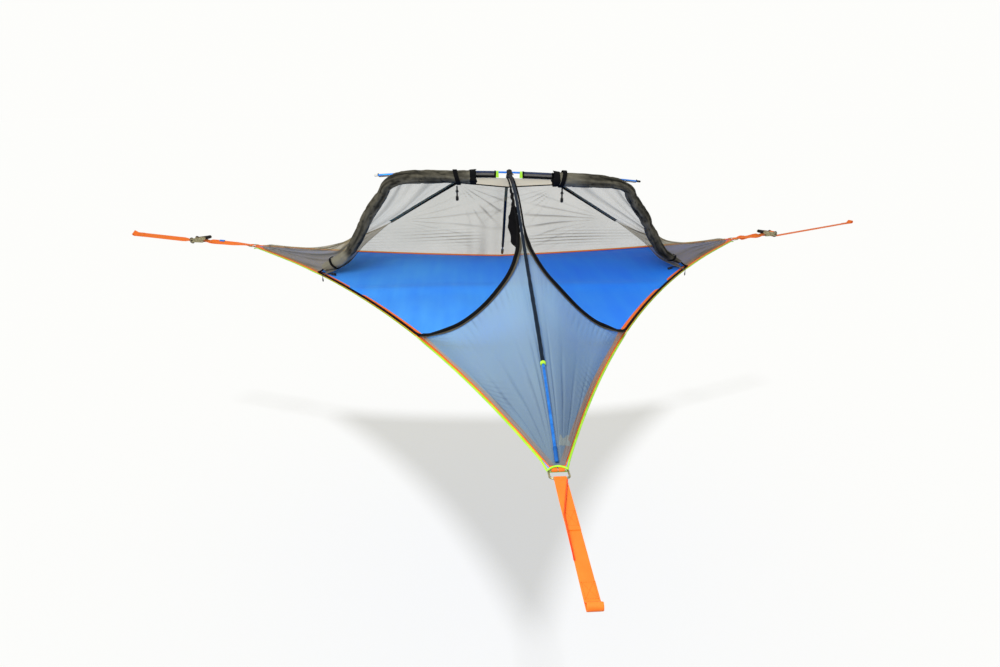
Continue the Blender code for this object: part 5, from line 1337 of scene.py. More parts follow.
def make_edges():
    """Orange webbing on the floor's edges with its stitches, and the lime piping with its flange."""
    seams = []
    for name, edge in EDGES.items():
        start = edge.turn * (CORNER_HALF - WEBBING_SPACING)
        near = edge.turn * WEBBING_SPACING
        loop = edge.turn * LOOP_HALF
        tip_first = (edge.first.place(-CORNER_SETBACK, start, LAYER),
                     edge.first.place(-CORNER_SETBACK, near, LAYER), UP)
        tip_second = (edge.second.place(-CORNER_SETBACK, -start, LAYER),
                      edge.second.place(-CORNER_SETBACK, -near, LAYER), UP)
        run = edge_webbing(edge)
        stations = [*reversed(corner_loop(edge.first, loop, near)), tip_first, *run, tip_second,
                    *corner_loop(edge.second, -loop, -near)]
        obj = strap("floor_webbing_" + name, stations, WEBBING_THICKNESS, SOFT_ORANGE)
        worn_by(obj, "edge_webbing_" + name, slot="orange_webbing")
        seams += rows_on_strap(run, (0.12, 0.88), WEBBING_THICKNESS / 2)
    obj = along_paths("floor_webbing_stitches", seams, EDGE_STITCH, ORANGE_THREAD)
    worn_by(obj, slot="orange_webbing")

    path = []
    sizes = []
    outside = -(EDGE_CORD_DIAMETER / 2 + SEAM_GAP)
    flange = []
    zip_from, zip_to = sorted((FOOT_SHARE, ZIP_START_SHARE))
    for name, backwards in ROUND_THE_FLOOR:
        edge = EDGES[name]
        tuck = CORD_TUCK_LENGTH / edge.length()
        ends = [tuck * part / 4 for part in range(5)]
        shares = sorted({*ends, *edge_shares()[1:-1], *(1 - end for end in ends)}, reverse=backwards)
        run = []
        for share in shares:
            near = min(share, 1 - share) / tuck
            ease = max(0.0, 1 - near)
            path.append(edge.point(share, outside, -CORD_TUCK * eased(ease)))
            zipped = name != "back" and zip_from < share < zip_to
            sizes.append(PIPING_HIDDEN if zipped else PIPING_RADIUS)
            if near >= 1:
                run.append((edge.point(share, outside / 2, FLOOR_THICKNESS / 2 + SEAM_GAP),
                            edge.point(share, EDGE_WEBBING_INSET / 4, FLOOR_THICKNESS / 2 + SEAM_GAP), UP))
        flange.append((name, run))
    count = len(path)
    rings = []
    for i, point in enumerate(path):
        along = (path[(i + 1) % count] - path[i - 1]).normalized()
        side = along.cross(UP).normalized()
        size = (sizes[i - 1] + sizes[i] + sizes[(i + 1) % count]) / 3
        rings.append(round_ring(point, side, side.cross(along), size, 14))
    cord = loft("lime_edge_piping", rings, LIME, closed=True)
    worn_by(cord, "edge_cord", slot="lime_piping")
    for name, run in flange:
        obj = strap("piping_flange_" + name, run, FLANGE_THICKNESS, LIME)
        worn_by(obj, slot="lime_piping")
    front = CORNERS["front"]
    across = [front.place(-CORNER_SETBACK + CORNER_END_INSET + CORNER_END_BOW * s * s, CORNER_HALF * s,
                          WEBBING_TOP + CORNER_END_RISE) for s in (-1.15, -0.9, -0.5, 0.0, 0.5, 0.9, 1.15)]
    obj = tube("lime_corner_end", smooth_path(across, 24), PIPING_RADIUS, 12, LIME, rounded=FINE_ROUND)
    worn_by(obj, slot="lime_piping")


def make_patch():
    """A small bare patch sewn to the floor near the front corner."""
    middle = Vector(PATCH_PLACE)
    half_x = PATCH_WIDTH / 2
    half_y = PATCH_LENGTH / 2
    turn = radians(PATCH_TURN)
    rows = 8
    grid = []
    for i in range(rows + 1):
        line = []
        for j in range(rows + 1):
            x = (2 * i / rows - 1) * half_x
            y = (2 * j / rows - 1) * half_y
            place = middle + Vector((x * cos(turn) - y * sin(turn),
                                     x * sin(turn) + y * cos(turn), 0))
            wave = PATCH_WAVE * sin(3 * i / rows) * cos(2.4 * j / rows)
            place.z = floor_height(place) + PATCH_LIFT + wave
            line.append(place)
        grid.append(line)
    obj = cloth_panel("bare_floor_patch", grid, taut(0),
                      PATCH, leaning=False, border=1)
    worn_by(obj, slot="gusset_fabric")


# Poles

def ridge_path():
    """The ridge pole's axis, from the front corner over the crossing to the middle of the back edge."""
    back = EDGES["back"].point(0.5)
    foot = back.y + EDGE_CORD_DIAMETER + 2 * SEAM_GAP + POCKET_RADIUS
    front = Vector((0, -ANCHOR_RADIUS + CORNER_SETBACK + POCKET_LENGTH / 2 - POCKET_RADIUS,
                    WEBBING_TOP + SEAM_GAP + POCKET_RADIUS))
    points = [front]
    for y, z in RIDGE_SHARES:
        reach = y * ANCHOR_RADIUS
        points.append(Vector((FOOT_SHIFT * max(0.0, reach) / foot, reach, z * CANOPY_HEIGHT)))
    points.append(Vector((FOOT_SHIFT, foot, back.z + POCKET_LIFT)))
    return smooth_path(points, RIDGE_STEPS)


RIDGE = ridge_path()


def ridge_point(y):
    for first, second in zip(RIDGE, RIDGE[1:]):
        if first.y <= y <= second.y:
            return first.lerp(second, (y - first.y) / (second.y - first.y))
    return (RIDGE[0] if y < RIDGE[0].y else RIDGE[-1]).copy()


def below_ridge(y, drop):
    slope = (ridge_point(y + POCKET_LENGTH) - ridge_point(y - POCKET_LENGTH)).normalized()
    return ridge_point(y) - UP * drop / slope.y


def spreader_height(x):
    return SPREADER_RISE - SPREADER_BOW * (2 * x / SPREADER_LENGTH) ** 2


def spreader_point(x):
    return Vector((x, 0, spreader_height(x)))


def make_poles():
    """The two shock-corded poles: blue tube sections, a bare ferrule, plugged ends."""
    at = RIDGE_FERRULE_STEP
    before = (RIDGE[at - 1] - RIDGE[at]).normalized()
    after = (RIDGE[at + 1] - RIDGE[at]).normalized()
    half_gap = POLE_JOINT_GAP / 2
    front = smooth_path([*RIDGE[:at], RIDGE[at] + before * half_gap], 110)
    rear = smooth_path([RIDGE[at] + after * half_gap, *RIDGE[at + 1:]], 50)
    spread_path = [spreader_point(SPREADER_LENGTH * (i / 60 - 0.5)) for i in range(61)]
    for node, path, leaning in (("ridge_pole_front", front, False), ("ridge_pole_rear", rear, False),
                                ("spreader_pole", spread_path, True)):
        obj = tube(node + "_tube", path, POLE_DIAMETER / 2, TUBE_SIDES, BLUE_POLE, leaning=leaning)
        worn_by(obj, node, slot="blue_anodised_pole")
    for name, side in SIDES.items():
        tip = [spreader_point(side * (SPREADER_LENGTH / 2 + x)) for x in TIP_PLACES]
        obj = tube("spreader_tip_" + name, tip, POLE_DIAMETER / 2 + TIP_WALL, TUBE_SIDES,
                   PALE_TIP if side < 0 else PLASTIC, rounded=TIP_ROUND, leaning=True)
        worn_by(obj, slot="black_plastic")


def make_pocket(name, end, inwards, wide, material):
    """A cup of folded cloth that holds a pole's end, with a turned mouth."""
    floor = end - inwards * (SEAM_GAP + POCKET_FLOOR)
    side = (X_WAY - inwards * X_WAY.dot(inwards)).normalized()
    rise = inwards.cross(side)
    rings = []
    for share, size in POCKET_SHARES:
        point = floor + inwards * POCKET_LENGTH * share
        ring = []
        for turn in turns_of(24):
            pleat = 1 + 0.04 * sin(5 * turn + 9 * share)
            ring.append(point + wide * size * pleat * (side * cos(turn) + rise * sin(turn)))
        rings.append(ring)
    for share in (1.0, 0.5, 0.12):
        rings.append(round_ring(floor + inwards * POCKET_LENGTH * share, side, rise, POLE_BORE, 24))
    worn_by(loft("pocket_" + name, rings, material), "pole_pocket_" + name)


def sleeve_share(share, least):
    """How wide the sleeve is along it, as a share of its width. It widens steeply towards the peak."""
    return least + 0.70 * share**10


def make_sleeve():
    """The dark mesh sleeve that laces the canopy to the long pole, with a wide black mouth at the peak."""
    start = RIDGE[SLEEVE_START_STEP].lerp(RIDGE[SLEEVE_START_STEP + 1], SLEEVE_START_SHARE)
    path = smooth_path([start, *RIDGE[SLEEVE_START_STEP + 1:SLEEVE_END_STEP + 1]], 260)
    total = lengths_along(path)
    frames = frames_along(path, X_WAY)
    rings = []
    seams = [[], []]
    for i, (point, side, rise) in enumerate(frames):
        share = i / (len(path) - 1)
        pucker = SLEEVE_PUCKER * rough(total[i] * 34, 0.3, 0.0)
        wide = SLEEVE_WIDTH / 2 * sleeve_share(share, 0.72) + pucker
        tall = SLEEVE_HEIGHT / 2 * (0.90 + 0.35 * share**14)
        ring = []
        for turn in turns_of(SLEEVE_SIDES):
            way = Vector((total[i] * 26, cos(turn) * 2.1, sin(turn) * 2.1))
            wrinkle = SLEEVE_WRINKLE * noise.noise(way)
            ring.append(point + side * (wide * cos(turn) + wrinkle * cos(turn))
                        + rise * (tall * sin(turn) + wrinkle))
        rings.append(ring)
        for line, way in zip(seams, (-1, 1)):
            out = side * way * SLEEVE_WIDTH / 2 * sleeve_share(share, 0.66)
            line.append(point + out + rise * SLEEVE_SEAM_RISE)
    inner = [round_ring(p, s, r, POLE_BORE, SLEEVE_SIDES) for p, s, r in frames]
    split = round(0.86 * len(path))
    obj = loft("long_pole_sleeve", [*rings[:split], *reversed(inner[:split])], SLEEVE, closed=True)
    worn_by(obj, "ridge_sleeve")
    mouth = [*rings[split - 1:], *reversed(inner[split - 1:])]
    worn_by(loft("long_pole_sleeve_mouth", mouth, HOOD, closed=True))
    seams = [(line, [UP] * len(line)) for line in seams]
    worn_by(along_paths("sleeve_stitches", seams, SLEEVE_STITCH, THREAD))
    down = (path[0] - path[1]).normalized()
    rise = down.cross(X_WAY)
    near = path[0] + down * SEAM_GAP
    profile = [*SLEEVE_RING_WALLS, (1.0, 0.0), (0.5, 0.0), (0.0, 0.0)]
    rings = [round_ring(near + down * SLEEVE_RING_LENGTH * share, X_WAY, rise, POLE_BORE + wall, 24)
             for share, wall in profile]
    worn_by(loft("lime_sleeve_ring", rings, LIME, closed=True), "sleeve_ring", slot="lime_piping")


def make_rear_sleeve():
    """The same dark mesh over the rear pole, outside the back wall, and its seam's strip."""
    frames = frames_along(smooth_path(RIDGE[RIDGE_FERRULE_STEP - 3:-1], 90), X_WAY)
    outer = []
    inner = []
    seam = []
    for i, (point, side, rise) in enumerate(frames):
        reach = REAR_SLEEVE_RADIUS + REAR_SLEEVE_WRINKLE * rough(i * 0.4, 1.7, 0)
        outer.append(round_ring(point, side, rise, reach, 16))
        inner.append(round_ring(point, side, rise, POLE_BORE + FERRULE_WALL, 16))
        inwards = -rise if rise.z > 0 else rise
        centre = point + inwards * REAR_SEAM_DEPTH
        half = side * (REAR_SEAM_WIDTH / 2 * (1 - 0.5 * i / (len(frames) - 1)))
        seam.append((centre - half, centre + half, inwards))
    worn_by(loft("rear_pole_sleeve", [*outer, *reversed(inner)], SLEEVE, closed=True))
    worn_by(strap("rear_pole_seam", seam[4:-3], REAR_SEAM_THICKNESS, SLEEVE, leaning=True))


# Zips

def zip_path(side):
    """The zip's middle line: along the floor edge, round and up to the peak."""
    edge = front_edge(side)
    span = FOOT_SHARE - ZIP_START_SHARE
    floor = [edge.point(ZIP_START_SHARE + span * i / ZIP_FLOOR_STEPS, ZIP_INSET, ZIP_RISE)
             for i in range(ZIP_FLOOR_STEPS + 1)]
    curve = [floor[-2], floor[-1], *(shares_to_point(s, side) for s in ZIP_SHARES)]
    beside = SLEEVE_WIDTH / 2 + SEAM_GAP + ZIP_WIDTH / 2
    top = []
    for share in ZIP_TOP_SHARES:
        place = below_ridge(share * ANCHOR_RADIUS, HEM_DROP)
        top.append(place + Vector((side * beside, 0, 0)))
    rising = smooth_path(curve[1:] + top, ZIP_FINE_STEPS)
    turn = min(range(ZIP_FINE_STEPS), key=lambda i: (rising[i] - curve[-1]).length)
    path = floor[:-1] + resample(rising[:turn + 1], ZIP_CURVE_STEPS)
    path += resample(rising[turn:], ZIP_TOP_STEPS)[1:]
    lean_in = Vector((side * 0.655, -0.266, 0.708))
    over = Vector((side * 0.25, -0.28, 0.93))
    faces = []
    for i in range(len(path)):
        rise = i - ZIP_FLOOR_STEPS
        if rise <= 0:
            faces.append(UP.copy())
        elif rise < ZIP_CURVE_STEPS / 2:
            faces.append(UP.lerp(lean_in, 2 * rise / ZIP_CURVE_STEPS).normalized())
        else:
            share = (rise - ZIP_CURVE_STEPS / 2) / (ZIP_TOP_STEPS + ZIP_CURVE_STEPS / 2)
            faces.append(lean_in.lerp(over, min(1.0, 2 * share)).normalized())
    return path, faces


def zip_frames(side, path=None, faces=None):
    """Each point of the zip with its way across, away from the door, and its face."""
    if path is None:
        path, faces = zip_path(side)
    stations = []
    for point, along, face in zip(path, tangents(path), faces):
        away = side * face.cross(along)
        away = (away - along * away.dot(along)).normalized()
        up = along.cross(away).normalized()
        stations.append((point, away, up if up.z > 0 else -up))
    return stations


def make_zip(name, side):
    """Black zip tape, its coil, and the grey binding that holds the mesh beside it."""
    path, faces = zip_path(side)
    steps = 5 * (len(path) - 1)
    fine = smooth_path(path, steps)
    foot = min(range(len(fine)), key=lambda i: (fine[i] - path[ZIP_FLOOR_STEPS]).length)
    apex = min(range(foot, len(fine)), key=lambda i: abs(fine[i].y - ZIP_TOP_SHARES[0] * ANCHOR_RADIUS))
    total = lengths_along(fine)
    start = min(range(len(fine)), key=lambda i: abs(total[i] - total[foot] + ZIP_FOOT_ROUND))
    stop = min(range(len(fine)), key=lambda i: abs(total[i] - total[foot] - 1.6 * ZIP_FOOT_ROUND))
    for i in range(start + 1, stop):
        share = (i - start) / (stop - start)
        fine[i] = (fine[start].lerp(fine[foot], share)).lerp(fine[foot].lerp(fine[stop], share), share)
    edge = front_edge(side)
    ways = []
    for i, point in enumerate(fine):
        place = i / steps * (len(faces) - 1)
        k = min(int(place), len(faces) - 2)
        way = faces[k].lerp(faces[k + 1], place - k)
        out = (edge.centre - point).to_2d().normalized()
        rolled = UP + ZIP_ROLL * Vector((out.x, out.y, 0))
        rise = held((i - foot) / 20)
        ways.append(rolled.lerp(way + Vector(ZIP_TURN), rise).normalized())
    frames = zip_frames(side, fine, ways)
    tape = []
    binding = []
    teeth = []
    for i, (point, away, up) in enumerate(frames):
        tuck = held((i - apex) / 12)
        beside = held((foot - i) / 6)
        inner = ZIP_TAPE_INNER * (1 - 0.55 * tuck) - ZIP_EDGE_INNER * beside
        outer = ZIP_TAPE_OUTER * (1 - 0.3 * tuck) + ZIP_EDGE_OUTER * beside
        point = point + away * (ZIP_PEAK_SHIFT * tuck)
        tape.append((point - away * inner, point + away * outer, up))
        teeth.append((leant(point + away * (outer - inner) / 2 + up * (ZIP_THICKNESS + ZIP_COIL) / 2), away))
        if foot <= i <= apex + 6:
            ease = min(1.0, (i - foot + 1) / 6) * min(1.0, (apex + 7 - i) / 12)
            swell = ZIP_BINDING_SWELL * rough(i * 0.5, side, 0)
            near = point + away * ZIP_TAPE_OUTER * 0.9 + up * (ZIP_BINDING_LIFT + swell)
            far = near + away * ZIP_BINDING_WIDTH * ease + up * ZIP_BINDING_RISE * ease
            binding.append((near, far, up))
    obj = strap("zip_tape_" + name, tape, ZIP_THICKNESS, BLACK, leaning=True)
    worn_by(obj, "zip_track_" + name)
    teeth = [([place for place, _ in teeth], [way for _, way in teeth])]
    worn_by(along_paths("zip_coil_" + name, teeth, COIL_TOOTH, COIL))
    obj = strap("zip_binding_" + name, binding, ZIP_BINDING_THICKNESS, ZIP_BINDING, leaning=True)
    worn_by(obj, slot="door_fabric")
    rows = leant_rows(rows_on_strap(binding, (0.2, 0.85), ZIP_SEAM_LIFT))
    worn_by(along_paths("zip_binding_stitches_" + name, rows, FINE_STITCH, THREAD))


# Canopy panels

def front_border(side):
    """The front mesh's upper border, just outside the zip, from the floor edge up to the sleeve."""
    stations = zip_frames(side)
    reach = ZIP_WIDTH / 2 + MESH_CLEARANCE - FRONT_BORDER_TUCK
    first = ZIP_FLOOR_STEPS + 1
    last = min(range(first, len(stations)),
               key=lambda i: abs(stations[i][0].y - ZIP_TOP_SHARES[0] * ANCHOR_RADIUS))
    border = [point + away * reach for point, away, _ in stations[first:last + 1]]
    for point in border:
        point.z = min(point.z, below_ridge(point.y, HEM_DROP + SEAM_GAP).z)
    return border


def front_folds(cloth):
    """Short pulls square to the zips, folds beside the pole, and long soft folds towards the corner."""
    rows, columns = cloth.shape[:2]
    u = np.linspace(0, 1, rows)[:, None] + np.zeros((1, columns))
    v = np.linspace(-1, 1, columns)[None, :] + np.zeros((rows, 1))
    soft = wander(cloth, 2.2, 3) * held((1 - u) / 0.15)
    broken = held(0.40 + 1.1 * wander(cloth, 9.0, 4))
    pulls = creased(v * 24 + 0.9 * wander(cloth, 4.0, 6), 7.0) * bell(1, u, 0.16) * broken
    beside = bell(np.abs(v), 0.10, 0.12) * held((u - 0.25) / 0.3)
    pleats = creased(v * 17 + 0.6 * wander(cloth, 2.5, 7), 6.0) * beside * broken
    rays = creased(v * 6.5 + 0.8 * wander(cloth, 1.8, 5), 9.0) * bell(u, 0.36, 0.22)
    spots = held(0.1 + 1.4 * wander(cloth, 4.0, 13))
    slant = creased(u * 26 + v * 9.0 + 1.2 * wander(cloth, 2.5, 12), 5.0)
    slant = slant * bell(np.abs(v), 0.80, 0.12) * spots
    lift = FRONT_SOFT_HEIGHT * soft + FRONT_PULL_HEIGHT * pulls + FRONT_PLEAT_HEIGHT * pleats
    lift += FRONT_RAY_HEIGHT * rays + FRONT_SLANT_HEIGHT * slant
    tip = held((0.80 - u) / 0.80)
    crease = 0.60 * pulls + 0.50 * pleats + 0.45 * rays * broken + 0.65 * slant + 0.20 * held(soft)
    return lift, held(crease + 0.75 * tip)


def make_front_mesh():
    """One panel of mesh from the left floor edge under the long pole to the right floor edge."""
    steps_u = 170
    steps_v = 110
    halves = []
    for side in (-1, 1):
        edge = front_edge(side)
        border = resample(front_border(side), steps_v)
        low_share = FRONT_START_SHARE
        high_share = (edge.angle_of(border[0]) - edge.start_angle) / edge.sweep
        rail = [edge.point(low_share + (high_share - low_share) * i / steps_u, FRONT_RAIL_INSET, HEM_HEIGHT)
                for i in range(steps_u + 1)]
        drift = border[0] - rail[-1]
        rail = [point + drift * (i / steps_u) ** 3 for i, point in enumerate(rail)]
        last = border[-1]
        start_y = rail[0].y
        spine = []
        for i in range(steps_u + 1):
            y = start_y + (last.y - start_y) * i / steps_u
            place = below_ridge(y, HEM_DROP + SEAM_GAP)
            place.x = last.x * i / steps_u
            place.z = max(place.z, HEM_HEIGHT)
            spine.append(place)
        spine[-1] = last
        spine[0] = Vector((0, start_y, HEM_HEIGHT))
        start = resample([rail[0], spine[0]], steps_v)
        halves.append(coons(rail, spine, start, border, steps_u, steps_v))
    left, right = halves
    grid = []
    for i in range(steps_u + 1):
        middle = (left[i][-1] + right[i][-1]) / 2
        grid.append([*left[i][:-1], middle, *reversed(right[i][:-1])])
    obj = cloth_panel("front_mesh_panel", grid, front_folds, FRONT_MESH)
    worn_by(obj, "front_mesh", slot="insect_mesh")


def ridge_line(side, steps):
    """The fold between the wing and the back wall, from the back corner up to the peak's side."""
    corner = CORNERS["right" if side > 0 else "left"]
    low = corner.out * (RIDGE_LOW_RADIUS_SHARE * ANCHOR_RADIUS) + UP * RIDGE_LOW_HEIGHT
    points = [low, *(shares_to_point(s, side) for s in RIDGE_LINE_SHARES)]
    points.append(shares_to_point(PEAK_SIDE_SHARES, side))
    line = smooth_path(points, steps)
    for i, point in enumerate(line):
        share = i / steps
        point.z += FOLD_RAISE * min(1.0, share / 0.05) * exp(-(share / 0.30) ** 2)
    return line


def roll_path(side, steps=ROLL_STEPS):
    return smooth_path([shares_to_point(s, side) for s in ROLL_SHARES], steps)


def roll_radius(share):
    """The rolled door flares at its inner end, and is drawn in by its two ties."""
    flare = ROLL_FLARE * max(0.0, 1 - share / TIE_TOP_SHARE)
    swell = ROLL_SWELL * sin(pi * share) * cos(5 * pi * share) ** 2
    return ROLL_RADIUS + flare + swell


def wing_folds(cloth):
    """Folds that run down the wing towards the back corner, where the mesh is drawn together."""
    x, y = np.abs(cloth[..., 0]), cloth[..., 1]
    corner = CORNERS["right"].anchor
    turn = np.arctan2(corner.y - y, corner.x - x)
    reach = np.hypot(corner.x - x, corner.y - y)
    sway = 0.9 * wander(cloth, 1.6, 8)
    rays = creased(turn * 11.0 + sway, 6.0) * held(reach / 0.2)
    fine = creased(turn * 25.0 + 1.4 * sway, 4.0) * held(0.6 + wander(cloth, 4.0, 18))
    drawn = eased(held((x - 0.70) / 0.22))
    lift = WING_FOLD_HEIGHT * (rays + wander(cloth, 3.0, 9))
    return lift, held(0.35 * rays + 0.25 * fine + (0.35 + 0.35 * fine) * drawn)


def make_wing(name, side):
    scale = 5
    corner = round(ROLL_CORNER_SHARE * ROLL_STEPS)
    steps_u = 9 * scale
    steps_v = (ROLL_STEPS - corner) * scale
    edge = front_edge(side)
    span = WING_END_SHARE - HINGE_SHARE
    bottom = [edge.point(HINGE_SHARE + span * i / steps_u, HEM_INSET, HEM_HEIGHT) for i in range(steps_u + 1)]
    fold = ridge_line(side, steps_v)
    lateral = edge.second.across * (-edge.turn)
    fold = [point + lateral * (RIDGE_LOW_SPREAD if i == 0 else SEAM_INSET)
            - UP * SEAM_INSET / 2 for i, point in enumerate(fold)]
    fold[0].z = HEM_HEIGHT
    bottom[-1] = fold[0]
    roll = roll_path(side)
    hinge = [bottom[0]]
    for i in range(ROLL_STEPS - 1, corner - 1, -1):
        share = 1 - (i - corner) / (ROLL_STEPS - corner)
        along = (roll[i + 1] - roll[i - 1]).normalized()
        way = at_share(fold, share) - roll[i]
        way = (way - along * way.dot(along)).normalized()
        clear = ROLL_CLEARANCE + ROLL_END_CLEARANCE * (i / ROLL_STEPS) ** 6
        hinge.append(roll[i] + way * (roll_radius(i / ROLL_STEPS) + clear - WING_TUCK))
    hinge = smooth_path(hinge, steps_v)
    under = POLE_DIAMETER / 2 + MESH_CLEARANCE
    start = abs(hinge[-1].x)
    inner = abs(fold[-1].x)
    top = [hinge[-1]]
    for share in (0.3, 0.55, 0.8):
        x = side * (start + (inner - start) * share)
        top.append(Vector((x, POLE_DIAMETER, spreader_height(x) - under)))
    top.append(fold[-1])
    top = smooth_path(top, steps_u)
    grid = coons(bottom, top, hinge, fold, steps_u, steps_v)
    obj = cloth_panel("wing_panel_" + name, grid, wing_folds, WING_MESH)
    worn_by(obj, "wing_mesh_" + name, slot="insect_mesh")
    make_wing_margin(name, side)


def make_wing_margin(name, side):
    """The wing's own margin, which hangs on under the roll from the band's end to the floor's edge."""
    steps = 48
    fold = ridge_line(side, 140)
    upper = smooth_path([fold[round(140 * s)] for s in (0.68, 0.64, 0.58, 0.52, 0.46)], steps)
    low = [Vector((side * x, y, z)) for x, y, z in MARGIN_POINTS]
    lower = smooth_path([fold[round(140 * 0.68)], *low], steps)
    rows = 22
    grid = [[a.lerp(b, j / rows) for j in range(rows + 1)] for a, b in zip(upper, lower)]

    def folds(cloth):
        u = np.linspace(0, 1, cloth.shape[0])[:, None]
        v = np.linspace(0, 1, cloth.shape[1])[None, :]
        waves = creased(v * 3.5 + 0.8 * wander(cloth, 3.0, 31), 4.0)
        return MARGIN_FOLD_HEIGHT * waves * u, held(0.35 + 0.4 * waves + 0.5 * (v > 0.9))

    obj = cloth_panel("wing_margin_" + name, grid, folds, WING_MESH,
                      border=2)
    worn_by(obj, slot="insect_mesh")


def seam_point(share):
    """The back wall's top seam between the peak's two sides; share runs from the right to the left."""
    x, y, z = PEAK_SIDE_SHARES
    mid_y, mid_z = SEAM_MIDDLE_SHARES
    off = abs(2 * share - 1)
    return Vector(((1 - 2 * share) * x * ANCHOR_RADIUS,
                   (mid_y + (y - mid_y) * off) * ANCHOR_RADIUS,
                   (mid_z + (z - mid_z) * off) * CANOPY_HEIGHT))


def seen_from(x, z, place, side):
    """How far points of the back wall are from a place on one of its sides, and on which turn below it."""
    across = x - side * place[0]
    down = place[1] - z
    return np.hypot(across, down), np.arctan2(down, -side * across)


def wall_folds(cloth):
    """Creases that fan from the peak's sides and from the band's ends, and flat folds along the floor."""
    x, z = cloth[..., 0], cloth[..., 2]
    soft = wander(cloth, 2.4, 10)
    lift = WALL_SOFT_HEIGHT * soft
    crease = 0.10 * held(soft + 0.2)
    broken = held(0.45 + 1.2 * wander(cloth, 6.5, 21))
    for side, rich in ((-1, 0.45), (1, 1.0)):
        reach, turn = seen_from(x, z, WALL_PEAK_FAN, side)
        sway = 0.5 * wander(cloth, 2.0, 11 + side) + 0.25 * reach
        slanted = bell(turn, 0.75, 0.40)
        rays = creased(turn * 4.6 + sway, 14.0) * slanted
        fade = rising(reach, *PEAK_FAN_START) * bell(reach, *PEAK_FAN_REACH)
        lift = lift + WALL_FOLD_HEIGHT * rays * fade
        crease = crease + 1.0 * rays * fade * broken
        reach, turn = seen_from(x, z, WALL_BAND_FAN, side)
        sway = 0.35 * wander(cloth, 2.4, 31 + side) + 0.4 * reach
        spread_out = bell(turn, 0.12, 0.42) * rising(reach, *BAND_FAN_START)
        fan = creased(turn * 5.5 + sway, 11.0) * spread_out * np.exp(-(reach / BAND_FAN_REACH) ** 4)
        lift = lift + WALL_FOLD_HEIGHT * fan * rich
        crease = crease + 0.9 * fan * rich * held(broken + 0.25)
    away = rising(np.abs(x), *WALL_FLATS_INNER) * held((WALL_FLATS_OUTER - np.abs(x)) / WALL_FLATS_FADE)
    low = bell(z, *WALL_FLATS_HEIGHT) * away
    slope = np.where(x > 0, -0.055 * x, -0.02 * x)
    phase = (z + slope) / WALL_FLOOR_PITCH + 0.7 * wander(cloth * np.array([1.0, 1.0, 0.2]), 1.7, 15)
    flats = creased(phase, 7.0) * low
    strength = held(0.55 + 1.1 * wander(cloth * np.array([1.0, 1.0, 3.0]), 2.6, 16))
    lift = lift + WALL_FOLD_HEIGHT * flats * strength
    crease = crease + 1.1 * flats * strength
    tall = bell(np.abs(x - WALL_BAND_SHIFT), *WALL_TALL_PLACE)
    bands = sum(bell(x, place, width) * strong for place, width, strong in WALL_BANDS)
    lift = lift + WALL_BAND_HEIGHT * tall * creased(x / WALL_TALL_PITCH, 2.0)
    return lift, held(crease + 0.12 * tall + bands * held(1 - z / 0.4))


def make_back_wall():
    side_steps = 180
    seam_steps = 60
    rows = 110
    right = ridge_line(1, side_steps)
    left = ridge_line(-1, side_steps)
    for fold, corner, turn in ((right, CORNERS["right"], 1), (left, CORNERS["left"], -1)):
        for i, point in enumerate(fold):
            spread_by = RIDGE_LOW_SPREAD if i == 0 else SEAM_INSET
            point += corner.across * turn * spread_by - UP * SEAM_INSET / 2
        fold[0].z = HEM_HEIGHT + RIDGE_LOW_HEIGHT
    seam = [seam_point(i / seam_steps) - UP * SEAM_INSET for i in range(1, seam_steps)]
    top = [*right, *seam, *reversed(left)]
    edge = EDGES["back"]
    span = 1 - 2 * WALL_END_SHARE
    total = lengths_along([Vector((p.x, 0, 0)) for p in top])
    bottom = [edge.point(WALL_END_SHARE + span * t / total[-1], HEM_INSET, HEM_HEIGHT) for t in total]
    middle = len(top) // 2
    bottom[middle] = edge.point(0.5, HEM_INSET, HEM_HEIGHT)
    spine = [top[middle]]
    for y, z in SPINE_SHARES:
        spine.append(Vector((0, y * ANCHOR_RADIUS, z * CANOPY_HEIGHT)))
    spine.append(bottom[middle])
    spine = list(reversed(smooth_path(spine, rows)))
    foot_y = RIDGE[-1].y
    grid = []
    for low, high in zip(bottom, top):
        column = []
        weight = max(0.0, 1 - abs(high.x) / SPINE_REACH) ** 2
        for j in range(rows + 1):
            v = j / rows
            bulge = spine[j] - bottom[middle].lerp(top[middle], v)
            place = low.lerp(high, v) + bulge * weight
            place.x += FOOT_SHIFT * weight * max(0.0, place.y) / foot_y * (1 - v) * 4 * v
            column.append(place)
        grid.append(column)
    obj = cloth_panel("back_wall_panel", grid, wall_folds, WALL_MESH)
    worn_by(obj, "back_wall_mesh", slot="insect_mesh")


def make_gusset():
    columns = 80
    rows = 14
    x_peak = PEAK_SIDE_SHARES[0] * ANCHOR_RADIUS
    under = SPREADER_SLEEVE_DROP + SEAM_GAP + MESH_THICKNESS / 2
    grid = []
    for i in range(columns + 1):
        x = GUSSET_HALF * (1 - 2 * i / columns)
        low = seam_point((1 - x / x_peak) / 2) + UP * SEAM_INSET
        high = Vector((x, 0, spreader_height(x) - under))
        grid.append([low.lerp(high, j / rows) for j in range(rows + 1)])

    def gathers(cloth):
        waves = wander(cloth * np.array([1.0, 0.4, 0.4]), 26.0, 20)
        return GATHER_HEIGHT * waves, held(waves)

    obj = cloth_panel("peak_gusset", grid, gathers, GUSSET, border=3)
    worn_by(obj, "roof_gusset", slot="gusset_fabric")
    seam = [leant(seam_point(i / 40) + Vector(GUSSET_TAPE_SHIFT)) for i in range(41)]
    low, high = (Vector(offset) for offset in GUSSET_TAPE_EDGES)
    stations = [(point + low, point + high, Vector((0, -0.6, 0.8))) for point in seam]
    worn_by(strap("gusset_seam_tape", stations, TAPE_THICKNESS, BLACK))


